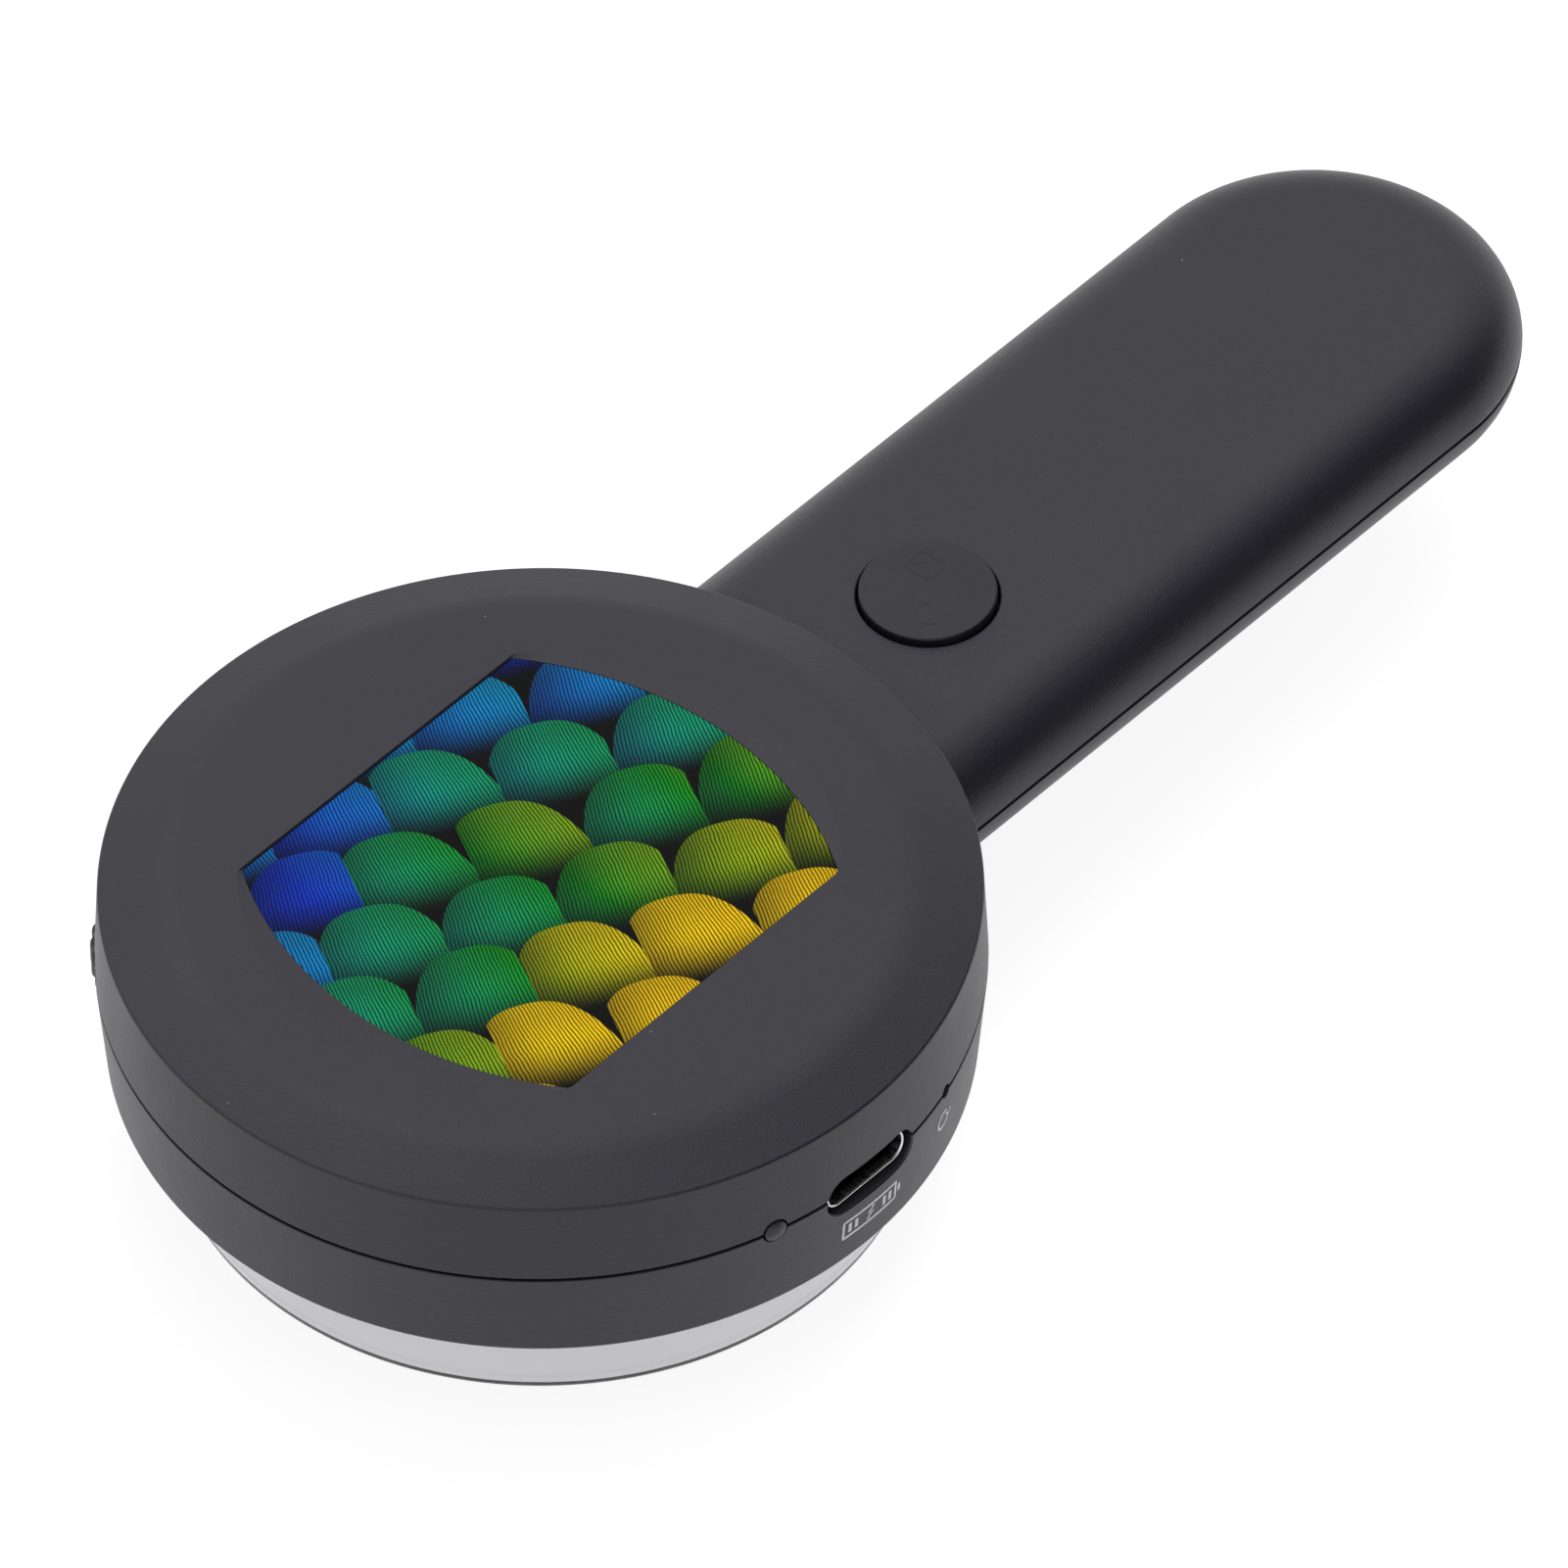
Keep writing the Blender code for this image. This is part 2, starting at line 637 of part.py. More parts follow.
def make_side_cutters():
    """What opens the wall of both shells: the port, the light, the reset hole and the wheel's slot."""
    width = PORT_SHELL_WIDTH + 2 * PORT_CLEARANCE
    height = PORT_SHELL_HEIGHT + 2 * PORT_CLEARANCE
    outline = rounded_rectangle(width, height, height / 2 - SIDE_GAP)
    inside = HEAD_RADIUS - WALL - OVERRUN
    outside = HEAD_RADIUS + OVERRUN
    port = laid_along_x(prism(outline, inside, outside))
    hole = laid_along_x(disc(LIGHT_RADIUS + SIDE_GAP, inside, outside))
    pinhole = laid_along_x(disc(RESET_HOLE_RADIUS, inside, outside))
    low = WHEEL_BOTTOM - WHEEL_SLOT_GAP
    slot = disc(WHEEL_RADIUS + WHEEL_SLOT_GAP, low, WHEEL_TOP + WHEEL_SLOT_GAP, MIDDLE_STEPS)
    x, y = on_circle(WHEEL_ORBIT, WHEEL_ANGLE)
    return [
        helper("port opening", port, at=(0, 0, PORT_HEIGHT), angle=PORT_ANGLE),
        helper("light hole", hole, at=(0, 0, SEAM_HEIGHT), angle=LIGHT_ANGLE),
        helper("reset hole", pinhole, at=(0, 0, SEAM_HEIGHT), angle=RESET_ANGLE),
        helper("wheel slot", slot, at=(x, y, 0)),
    ]


def window_outline(corner_x, corner_radius, reach):
    """The window's edge: two straight sides, and two arcs through corners at a distance from the axis."""
    corner_y = math.sqrt(corner_radius**2 - corner_x**2)
    radius = (corner_x**2 + (reach - corner_y) ** 2) / (2 * (reach - corner_y))
    spread = math.asin(corner_x / radius)
    far = outline_arc((0, reach - radius), radius, math.pi / 2 - spread, math.pi / 2 + spread, WINDOW_STEPS)
    return far + [(-x, -y) for x, y in far]


def window_cutter():
    """The window's opening: straight up past the cover, then sloped out to a circle in the face."""
    inner = window_outline(WINDOW_HALF_WIDTH, RECESS_RADIUS - WINDOW_CORNER_INSET, WINDOW_REACH)
    outer = window_outline(WINDOW_HALF_WIDTH + SIDE_GAP, RECESS_RADIUS, RECESS_RADIUS)
    heights = (
        (inner, FACE_UNDERSIDE - OVERRUN),
        (inner, COVER_FACE),
        (outer, HEAD_HEIGHT),
        (outer, HEAD_HEIGHT + OVERRUN),
    )
    return helper("window opening", loft([[(x, y, z) for x, y in edge] for edge, z in heights]))


def lanyard_block(name, clearance):
    """The solid behind the lanyard's slot, from below the seam up into the roof of the handle."""
    solid = disc(LANYARD_BLOCK_RADIUS + clearance, SEAM_HEIGHT - OVERRUN, HANDLE_CEILING + WALL / 2)
    inset = HANDLE_HALF_WIDTH - LANYARD_BLOCK_RADIUS - LIP_SKIN
    return helper(name, moved(solid, x=inset), at=(0, HANDLE_REACH, 0), angle=LANYARD_ANGLE)


def lanyard_slot():
    """An oval blind slot into the block, which a cord goes into and out of, round the pin."""
    outline = rounded_rectangle(LANYARD_WIDTH, LANYARD_HEIGHT, LANYARD_HEIGHT / 2 - SIDE_GAP)
    form = laid_along_x(prism(outline, HANDLE_HALF_WIDTH - LANYARD_DEPTH, HANDLE_HALF_WIDTH + OVERRUN))
    middle = (LANYARD_LOW + LANYARD_HIGH) / 2
    return helper("lanyard slot", form, at=(0, HANDLE_REACH, middle), angle=LANYARD_ANGLE)


def make_lanyard_pin(steel):
    """The upright pin across the slot, sunk in a hole in the slot's roof and in its floor."""
    low = LANYARD_LOW - LANYARD_PIN_ROOT
    high = LANYARD_HIGH + LANYARD_PIN_ROOT
    x, y = on_circle(HANDLE_HALF_WIDTH - LANYARD_PIN_INSET, LANYARD_ANGLE)
    at = (x, HANDLE_REACH + y, 0)
    hole = disc(LANYARD_PIN_RADIUS + THREAD_GAP, low - THREAD_GAP, high + THREAD_GAP)
    cut(bpy.data.objects["upper_shell"], helper("lanyard pin hole", hole, at=at))
    piece("lanyard_pin", disc(LANYARD_PIN_RADIUS, low, high), steel, at=at)


def beyond_seam(name, low, high):
    """All of the shells' plan between two heights, to cut one shell off the other."""
    side = HEAD_RADIUS + OVERRUN
    return helper(name, block((-side, -side, low), (side, HANDLE_END + OVERRUN, high)))


def make_upper_shell(finish, side_cutters):
    shell = piece("upper_shell", head_form(), finish)
    join(shell, helper("handle outside", handle_form(0, HANDLE_BOTTOM, HANDLE_TOP)))
    hollow = helper("head hollow", head_hollow())
    join(hollow, helper("handle hollow", handle_form(WALL, HANDLE_FLOOR, HANDLE_CEILING)))
    cut(shell, hollow)
    roof = HANDLE_CEILING + WALL / 2
    bosses = [column(POST_RADIUS, SHELL_BOSS_BOTTOM, roof, *spot) for spot in SHELL_SCREW_PLACES]
    end_block = lanyard_block("lanyard block", 0)
    trimmed_block = lanyard_block("lanyard block under the roll", 0)
    under_roll = handle_form(LIP_SKIN, HANDLE_BOTTOM, HANDLE_TOP - LIP_SKIN)
    combine(trimmed_block, helper("handle under its skin", under_roll), "INTERSECT")
    join(shell, helper("screw bosses", together(*bosses)), trimmed_block)
    cut(shell, beyond_seam("below the seam", -OVERRUN, SHELL_BOSS_BOTTOM))
    lip_room = SEAM_HEIGHT + LIP_RISE + SEAT_GAP
    rebate = plan_helper("lip rebate", LIP_SKIN - SIDE_GAP, SEAM_HEIGHT - OVERRUN, lip_room)
    around = POST_RADIUS + SIDE_GAP
    low = SEAM_HEIGHT - 2 * OVERRUN
    keep = [column(around, low, lip_room + OVERRUN, *spot) for spot in SHELL_SCREW_PLACES]
    cut(rebate, helper("rebate round the bosses", together(*keep)), end_block)
    thread = SCREW_SHANK_RADIUS + THREAD_GAP
    tip = SHELL_SCREW_TIP + THREAD_GAP
    holes = [column(thread, SEAM_HEIGHT - OVERRUN, tip, *spot) for spot in SHELL_SCREW_PLACES]
    cut(shell, rebate, helper("boss holes", together(*holes)), window_cutter(), lanyard_slot())
    button = disc(BUTTON_RADIUS + SLIDE_GAP, SEAM_HEIGHT, HANDLE_TOP + OVERRUN, MIDDLE_STEPS)
    cut(shell, helper("button hole", button, at=(0, BUTTON_REACH, 0)), *side_cutters)
    return hollow


def make_lower_shell(finish, side_cutters, hollow):
    shell = piece("lower_shell", head_form(), finish)
    join(shell, bpy.data.objects["handle outside"])
    cut(shell, hollow, beyond_seam("above the seam", SHELL_POST_TOP, HEAD_HEIGHT + OVERRUN))
    lip = plan_helper("lip", LIP_SKIN, SEAM_HEIGHT - OVERRUN, SEAM_HEIGHT + LIP_RISE)
    inside = plan_helper("inside the lip", WALL - SIDE_GAP, SEAM_HEIGHT - 2 * OVERRUN, SEAM_HEIGHT + OVERRUN)
    cut(lip, inside)
    cut(lip, lanyard_block("lip notch", SIDE_GAP))
    pocket = disc(POCKET_RADIUS + POCKET_WALL, FLOOR_MIDDLE, POCKET_ROOF, HEAD_STEPS)
    join(shell, lip, helper("light pocket", pocket), helper("posts", together(*lower_posts())))
    cut(shell, *lower_cutters(), *side_cutters)


def lower_posts():
    """The columns of the lower shell, sunk halfway into its floor."""
    root = FLOOR_MIDDLE
    main = [on_circle(MAIN_POST_ORBIT, angle) for angle in MAIN_POST_ANGLES]
    posts = [column(POST_RADIUS, root, MAIN_POST_TOP, *spot) for spot in main]
    posts += [column(POST_RADIUS, root, HOLDER_POST_TOP, side * HOLDER_POST_ORBIT) for side in (-1, 1)]
    posts.append(column(AXLE_BOSS_RADIUS, root, POCKET_ROOF, *on_circle(WHEEL_ORBIT, WHEEL_ANGLE)))
    root = HANDLE_FLOOR_MIDDLE
    posts += [column(POST_RADIUS, root, SHELL_POST_TOP, *spot) for spot in SHELL_SCREW_PLACES]
    top = BUTTON_BOARD_BOTTOM - SEAT_GAP
    posts += [
        column(SCREW_HEAD_RADIUS, root, top, side * BUTTON_SCREW_OFFSET, BUTTON_REACH) for side in (-1, 1)
    ]
    return posts


def lower_cutters():
    """The openings of the lower shell: for the light, the lens, the hood's tongue and the screws."""
    pocket = disc(POCKET_RADIUS, BASE_HEIGHT - OVERRUN, POCKET_CEILING, HEAD_STEPS)
    seat = RING_SPIGOT_RADIUS + SLIDE_GAP
    bore = disc(seat, POCKET_CEILING - OVERRUN, GEAR_BOTTOM + OVERRUN, MIDDLE_STEPS)
    outer = HOOD_TONGUE_RADIUS + SIDE_GAP
    inner = HOOD_TONGUE_INNER - SIDE_GAP
    groove = collar(outer, inner, BASE_HEIGHT - OVERRUN, HOOD_TONGUE_TOP + SEAT_GAP, HEAD_STEPS)
    thread = SCREW_SHANK_RADIUS + THREAD_GAP
    tip = MAIN_SCREW_SEAT - SCREW_LENGTH - SEAT_GAP
    main = [on_circle(MAIN_POST_ORBIT, angle) for angle in MAIN_POST_ANGLES]
    blind = [column(thread, tip, MAIN_POST_TOP + OVERRUN, *spot) for spot in main]
    tip = HOLDER_SCREW_SEAT - SCREW_LENGTH - SEAT_GAP
    top = HOLDER_POST_TOP + OVERRUN
    blind += [column(thread, tip, top, side * HOLDER_POST_ORBIT) for side in (-1, 1)]
    tip = BUTTON_SCREW_TIP - THREAD_GAP
    top = BUTTON_BOARD_BOTTOM + OVERRUN
    blind += [column(thread, tip, top, side * BUTTON_SCREW_OFFSET, BUTTON_REACH) for side in (-1, 1)]
    axle = AXLE_RADIUS + THREAD_GAP
    blind.append(column(axle, FLOOR_TOP, POCKET_ROOF + OVERRUN, *on_circle(WHEEL_ORBIT, WHEEL_ANGLE)))
    low = HANDLE_BOTTOM - OVERRUN
    high = SHELL_POST_TOP + OVERRUN
    through = [column(thread + THREAD_GAP, low, high, *spot) for spot in SHELL_SCREW_PLACES]
    head = SCREW_HEAD_RADIUS + SIDE_GAP
    sunk = [column(head, low, SHELL_SCREW_SEAT + SEAT_GAP, *spot) for spot in SHELL_SCREW_PLACES]
    return [
        helper("light pocket inside", pocket),
        helper("lens bore", bore),
        helper("hood groove", groove),
        helper("blind screw holes", together(*blind)),
        helper("through screw holes", together(*through)),
        helper("sunk screw heads", together(*sunk)),
    ]


# Screen


def make_screen(clear, foam, glass, white, copper):
    half_width = WINDOW_HALF_WIDTH + COVER_LAP
    half_length = math.sqrt(FACE_RADIUS**2 - half_width**2)
    outline = rounded_rectangle(2 * half_width, 2 * half_length, COVER_LAP)
    cover = piece("display_window", prism(outline, COVER_BOTTOM, COVER_TOP), clear)
    raised = window_outline(
        WINDOW_HALF_WIDTH - SIDE_GAP,
        RECESS_RADIUS - WINDOW_CORNER_INSET - SIDE_GAP,
        WINDOW_REACH - SIDE_GAP,
    )
    root = COVER_BOTTOM + COVER_THICKNESS / 2
    join(cover, helper("cover's raised middle", prism(raised, root, COVER_FACE)))
    gasket = piece("display_gasket", prism(outline, GASKET_BOTTOM, GASKET_TOP), foam)
    width = 2 * (half_width - GASKET_WIDTH)
    length = 2 * (half_length - GASKET_WIDTH)
    opening = rounded_rectangle(width, length, COVER_LAP - GASKET_WIDTH)
    cut(gasket, helper("gasket opening", prism(opening, PANEL_TOP, COVER_TOP)))
    half_width = WINDOW_HALF_WIDTH + PANEL_LAP
    half_length = math.sqrt((FACE_RADIUS + PANEL_CORNER_REACH) ** 2 - half_width**2)
    panel = block((-half_width, -half_length, PANEL_BOTTOM), (half_width, half_length, PANEL_TOP))
    piece("display_panel", panel, glass)
    make_screen_flex(copper, half_length)
    half_width -= BACKLIGHT_TRIM
    half_length -= BACKLIGHT_TRIM
    light = block((-half_width, -half_length, BACKLIGHT_BOTTOM), (half_width, half_length, BACKLIGHT_TOP))
    piece("display_backlight", light, white)


def make_screen_flex(copper, panel_end):
    """The screen's ribbon: out of the panel's end, round in half a turn, and back over the main board."""
    middle = (PANEL_BOTTOM + PANEL_TOP) / 2
    low = MAIN_BOARD_TOP + SOLDER_GAP + FLEX_THICKNESS / 2
    start = panel_end + SEAT_GAP
    radius = (middle - low) / 2
    bend = outline_arc((start, (middle + low) / 2), radius, math.pi / 2, -math.pi / 2, 2 * CORNER_STEPS)
    line = [*bend, (start - FLEX_LANDING, low)]
    piece("display_flex", ribbon(line, SCREEN_FLEX_WIDTH, FLEX_THICKNESS), copper)


def ribbon(line, width, thickness):
    """A flat ribbon that follows a line of (y, z) points, centred on X zero."""
    over, under = [], []
    for index, (y, z) in enumerate(line):
        before = line[max(index - 1, 0)]
        after = line[min(index + 1, len(line) - 1)]
        run = Vector((after[0] - before[0], after[1] - before[1])).normalized() * thickness / 2
        over.append((y - run.y, z + run.x))
        under.append((y + run.y, z - run.x))
    return laid_along_x(moved(prism(over + under[::-1], 0, width), z=-width / 2))


# Electronics


def screw_form(length):
    """A pan-head screw that points down from its seat at height zero."""
    tip = SCREW_SHANK_RADIUS / 2
    return turned(
        [
            (0, SCREW_HEAD_HEIGHT),
            (SCREW_HEAD_RADIUS - SCREW_HEAD_EDGE, SCREW_HEAD_HEIGHT),
            (SCREW_HEAD_RADIUS, SCREW_HEAD_HEIGHT - SCREW_HEAD_EDGE),
            (SCREW_HEAD_RADIUS, 0),
            (SCREW_SHANK_RADIUS, 0),
            (SCREW_SHANK_RADIUS, tip - length),
            (tip, -length),
            (0, -length),
        ]
    )


def add_screw(name, finish, x, y, seat, length=SCREW_LENGTH, upside_down=False):
    """A screw with a cross in its head, seated at a height, from above or from below."""
    form = screw_form(length)
    half_width = SCREW_SLOT_WIDTH / 2
    half_length = SCREW_SLOT_LENGTH / 2
    low = SCREW_HEAD_HEIGHT - SCREW_SLOT_DEPTH
    high = SCREW_HEAD_HEIGHT + OVERRUN
    along = block((-half_length, -half_width, low), (half_length, half_width, high))
    across = block((-half_width, -half_length, low), (half_width, half_length, high))
    if upside_down:
        for shape in (form, along, across):
            rotated(shape, 180, "X")
    at = (x, y, seat)
    thing = piece(name, form, finish, at)
    cut(thing, helper(name + " slot", along, at), helper(name + " cross slot", across, at))


def make_main_board(green, black, steel):
    board = piece("main_board", disc(MAIN_BOARD_RADIUS, MAIN_BOARD_BOTTOM, MAIN_BOARD_TOP, HEAD_STEPS), green)
    spots = [on_circle(MAIN_POST_ORBIT, angle) for angle in MAIN_POST_ANGLES]
    radius = SCREW_SHANK_RADIUS + THREAD_GAP
    low = MAIN_BOARD_BOTTOM - OVERRUN
    high = MAIN_BOARD_TOP + OVERRUN
    holes = [column(radius, low, high, *spot) for spot in spots]
    cut(board, helper("board holes", together(*holes)))
    for number, spot in enumerate(spots, 1):
        add_screw(f"main_board_screw_{number}", steel, *spot, MAIN_SCREW_SEAT)
    low = MAIN_BOARD_TOP + SOLDER_GAP
    for name, size, x in (
        ("processor_chip", PROCESSOR_SIZE, PROCESSOR_X),
        ("memory_chip", MEMORY_SIZE, MEMORY_X),
    ):
        chip = block((-size / 2, -size / 2, low), (size / 2, size / 2, CHIP_TOP))
        piece(name, moved(chip, x, CHIPS_Y), black)


def make_port(steel, black):
    """The charging socket: a metal sleeve closed at the back, and the tongue inside it."""
    at = (0, 0, PORT_HEIGHT)
    opening_corner = PORT_SHELL_WIDTH / 2 + PORT_CLEARANCE
    front = math.sqrt(HEAD_RADIUS**2 - opening_corner**2) - PORT_RECESS
    back = front - PORT_SHELL_DEPTH
    round_end = PORT_SHELL_HEIGHT / 2 - SIDE_GAP
    outline = rounded_rectangle(PORT_SHELL_WIDTH, PORT_SHELL_HEIGHT, round_end)
    sleeve = piece("usb_port_shell", laid_along_x(prism(outline, back, front)), steel, at, PORT_ANGLE)
    width = PORT_SHELL_WIDTH - 2 * PORT_SHELL_WALL
    height = PORT_SHELL_HEIGHT - 2 * PORT_SHELL_WALL
    round_end -= PORT_SHELL_WALL
    mouth = prism(rounded_rectangle(width, height, round_end), back + PORT_SHELL_WALL, front + OVERRUN)
    cut(sleeve, helper("port mouth", laid_along_x(mouth), at, PORT_ANGLE))
    base = back + PORT_SHELL_WALL + SEAT_GAP
    outline = rounded_rectangle(TONGUE_WIDTH, TONGUE_THICKNESS, TONGUE_THICKNESS / 4)
    blade = laid_along_x(prism(outline, base + PORT_SHELL_WALL, base + TONGUE_DEPTH))
    tongue = piece("usb_port_tongue", blade, black, at, PORT_ANGLE)
    outline = rounded_rectangle(width - 2 * SIDE_GAP, height - 2 * SIDE_GAP, round_end - SIDE_GAP)
    root = laid_along_x(prism(outline, base, base + 2 * PORT_SHELL_WALL))
    join(tongue, helper("tongue root", root, at, PORT_ANGLE))


def make_status_light(clear, yellow):
    """A round light pipe in the wall, and the side-facing lamp behind it on the board."""
    at = (0, 0, SEAM_HEIGHT)
    outer = HEAD_RADIUS + LIGHT_PROUD
    inner = MAIN_BOARD_RADIUS + SIDE_GAP
    profile = [
        (0, outer),
        (LIGHT_RADIUS - LIGHT_PROUD, outer),
        (LIGHT_RADIUS, HEAD_RADIUS),
        (LIGHT_RADIUS, inner),
        (0, inner),
    ]
    piece("status_light_pipe", laid_along_x(turned(profile)), clear, at, LIGHT_ANGLE)
    end = inner - SEAT_GAP
    top = UNDER_BOARD - SEAM_HEIGHT
    lamp = block((end - LED_LENGTH, -LED_WIDTH / 2, top - LED_HEIGHT), (end, LED_WIDTH / 2, top))
    piece("status_led", lamp, yellow, at, LIGHT_ANGLE)


def make_reset_switch(black, white):
    """A side-facing push switch on the board, whose plunger is behind the pinhole."""
    at = (0, 0, UNDER_BOARD - RESET_BODY_HEIGHT / 2)
    front = HEAD_RADIUS - WALL - RESET_BODY_SETBACK
    half_width = RESET_BODY_WIDTH / 2
    half_height = RESET_BODY_HEIGHT / 2
    form = block((front - RESET_BODY_LENGTH, -half_width, -half_height), (front, half_width, half_height))
    body = piece("reset_switch_body", form, black, at, RESET_ANGLE)
    start = front + RESET_PLUNGER_PROUD - RESET_PLUNGER_LENGTH
    half_width = RESET_PLUNGER_WIDTH / 2
    half_height = RESET_PLUNGER_HEIGHT / 2
    form = block((start, -half_width, -half_height), (front + RESET_PLUNGER_PROUD, half_width, half_height))
    piece("reset_switch_plunger", form, white, at, RESET_ANGLE)
    back = start - RESET_TRAVEL - SLIDE_GAP
    half_width += SLIDE_GAP
    half_height += SLIDE_GAP
    room = block((back, -half_width, -half_height), (front + OVERRUN, half_width, half_height))
    cut(body, helper("reset plunger room", room, at, RESET_ANGLE))


# Button


def make_button(plastic, black, white, green, steel, copper):
    at = (0, BUTTON_REACH, 0)
    flange = BUTTON_RADIUS + BUTTON_FLANGE
    under = BUTTON_TOP - BUTTON_WALL
    cap = turned(
        [
            (0, BUTTON_TOP),
            (BUTTON_RADIUS - BUTTON_EDGE, BUTTON_TOP),
            (BUTTON_RADIUS, BUTTON_TOP - BUTTON_EDGE),
            (BUTTON_RADIUS, BUTTON_FLANGE_TOP),
            (flange, BUTTON_FLANGE_TOP),
            (flange, BUTTON_BOTTOM),
            (BUTTON_RADIUS - BUTTON_WALL, BUTTON_BOTTOM),
            (BUTTON_RADIUS - BUTTON_WALL, under),
            (BUTTON_STEM_RADIUS, under),
            (BUTTON_STEM_RADIUS, BUTTON_BOTTOM),
            (0, BUTTON_BOTTOM),
        ],
        MIDDLE_STEPS,
    )
    piece("button_cap", cap, plastic, at=at)
    half = SWITCH_SIZE / 2
    form = block((-half, -half, SWITCH_BOTTOM), (half, half, SWITCH_TOP))
    body = piece("button_switch_body", form, black, at)
    foot = SWITCH_TOP - SWITCH_PLUNGER_SINK
    room = disc(SWITCH_PLUNGER_RADIUS + SLIDE_GAP, foot - BUTTON_TRAVEL - SLIDE_GAP, SWITCH_TOP + OVERRUN)
    cut(body, helper("button plunger room", room, at))
    piece("button_switch_plunger", disc(SWITCH_PLUNGER_RADIUS, foot, PLUNGER_TOP), white, at)
    make_button_board(green, steel)
    make_button_flex(copper)


def make_button_board(green, steel):
    """The switch's board, notched round the neck's screw posts and screwed to two posts of its own."""
    outline = rounded_rectangle(BUTTON_BOARD_WIDTH, BUTTON_BOARD_LENGTH, SCREW_SHANK_RADIUS)
    form = prism(outline, BUTTON_BOARD_BOTTOM, BUTTON_BOARD_TOP)
    board = piece("button_board", form, green, (0, BUTTON_REACH, 0))
    low = BUTTON_BOARD_BOTTOM - OVERRUN
    high = BUTTON_BOARD_TOP + OVERRUN
    notches = [column(POST_RADIUS + SEAT_GAP, low, high, *spot) for spot in SHELL_SCREW_PLACES]
    radius = SCREW_SHANK_RADIUS + THREAD_GAP
    holes = [column(radius, low, high, side * BUTTON_SCREW_OFFSET, BUTTON_REACH) for side in (-1, 1)]
    cut(board, helper("button board holes", together(*notches, *holes)))
    length = BUTTON_SCREW_SEAT - BUTTON_SCREW_TIP
    for number, side in enumerate((-1, 1), 1):
        name = f"button_board_screw_{number}"
        add_screw(name, steel, side * BUTTON_SCREW_OFFSET, BUTTON_REACH, BUTTON_SCREW_SEAT, length)


def make_button_flex(copper):
    """The ribbon from the front edge of the button's board up to the underside of the main board."""
    edge = BUTTON_REACH - BUTTON_BOARD_LENGTH / 2
    low = BUTTON_BOARD_TOP + SOLDER_GAP + FLEX_THICKNESS / 2
    high = UNDER_BOARD - FLEX_THICKNESS / 2
    line = [
        (edge + FLEX_LANDING / 2, low),
        (edge, low),
        ((edge + MAIN_BOARD_RADIUS) / 2, (low + high) / 2),
        (MAIN_BOARD_RADIUS, high),
        (MAIN_BOARD_RADIUS - FLEX_LANDING, high),
    ]
    piece("button_flex", ribbon(line, BUTTON_FLEX_WIDTH, FLEX_THICKNESS), copper)


# Battery


def make_battery(silver, foam, red, black):
    middle = BATTERY_START + BATTERY_LENGTH / 2
    outline = rounded_rectangle(BATTERY_WIDTH - 2 * PAD_TRIM, BATTERY_LENGTH - 2 * PAD_TRIM, PAD_TRIM)
    pad = prism(outline, PAD_BOTTOM, PAD_BOTTOM + PAD_THICKNESS)
    piece("battery_pad", pad, foam, (0, middle, 0))
    section = rounded_rectangle(BATTERY_WIDTH, BATTERY_THICKNESS, BATTERY_ROUND)
    cell = rotated(laid_along_x(prism(section, -BATTERY_LENGTH / 2, BATTERY_LENGTH / 2)), 90)
    piece("battery", cell, silver, (0, middle, BATTERY_BOTTOM + BATTERY_THICKNESS / 2))
    make_lead("battery_lead_positive", red, 0)
    make_lead("battery_lead_negative", black, 1)


def make_lead(name, finish, lane):
    """A wire from the battery's end, past the button's board and a post, to the main board's underside."""
    step = lane * 3 * LEAD_RADIUS
    side = HANDLE_HALF_WIDTH - WALL - 6 * LEAD_RADIUS
    run = SEAM_HEIGHT - 2 * LEAD_RADIUS - step
    inner = BATTERY_WIDTH / 2 - BATTERY_ROUND - LEAD_RADIUS
    end = BATTERY_START - SEAT_GAP
    landing = NECK_SCREW_HALF_SPACING - POST_RADIUS + step
    stop = MAIN_BOARD_RADIUS - POST_RADIUS
    guides = [
        (inner, end, run),
        (inner, end - 2 * LEAD_RADIUS, run),
        (side, BUTTON_REACH + BUTTON_BOARD_LENGTH / 2, run),
        (side, HEAD_RADIUS + NECK_SCREW_OFFSET, run),
        (NECK_SCREW_HALF_SPACING, MAIN_BOARD_RADIUS + POST_RADIUS, run),
        (landing, stop, UNDER_BOARD - 4 * LEAD_RADIUS),
        (landing, stop - LEAD_RADIUS, UNDER_BOARD),
    ]
    curve = bpy.data.curves.new(name, "CURVE")
    curve.dimensions = "3D"
    curve.bevel_depth = LEAD_RADIUS
    curve.bevel_resolution = 1
    curve.use_fill_caps = True
    points = smooth_route(guides)
    spline = curve.splines.new("POLY")
    spline.points.add(len(points) - 1)
    for point, spot in zip(spline.points, points):
        point.co = (*spot, 1)
    curve.materials.append(finish)
    lead = bpy.data.objects.new(name, curve)
    bpy.context.scene.collection.objects.link(lead)
    lead.parent = bpy.data.objects["magnifier"]


def smooth_route(guides):
    """Points on a smooth curve through the guides."""
    knots = [Vector(spot) for spot in guides]
    knots = [2 * knots[0] - knots[1], *knots, 2 * knots[-1] - knots[-2]]
    points = []
    for before, start, end, after in zip(knots, knots[1:], knots[2:], knots[3:]):
        for step in range(LEAD_STEPS):
            t = step / LEAD_STEPS
            along = (end - before) / 2
            onward = (after - start) / 2
            points.append(
                start * (2 * t**3 - 3 * t**2 + 1)
                + along * (t**3 - 2 * t**2 + t)
                + end * (3 * t**2 - 2 * t**3)
                + onward * (t**3 - t**2)
            )
    points.append(knots[-2])
    return points


# Focus drive and camera


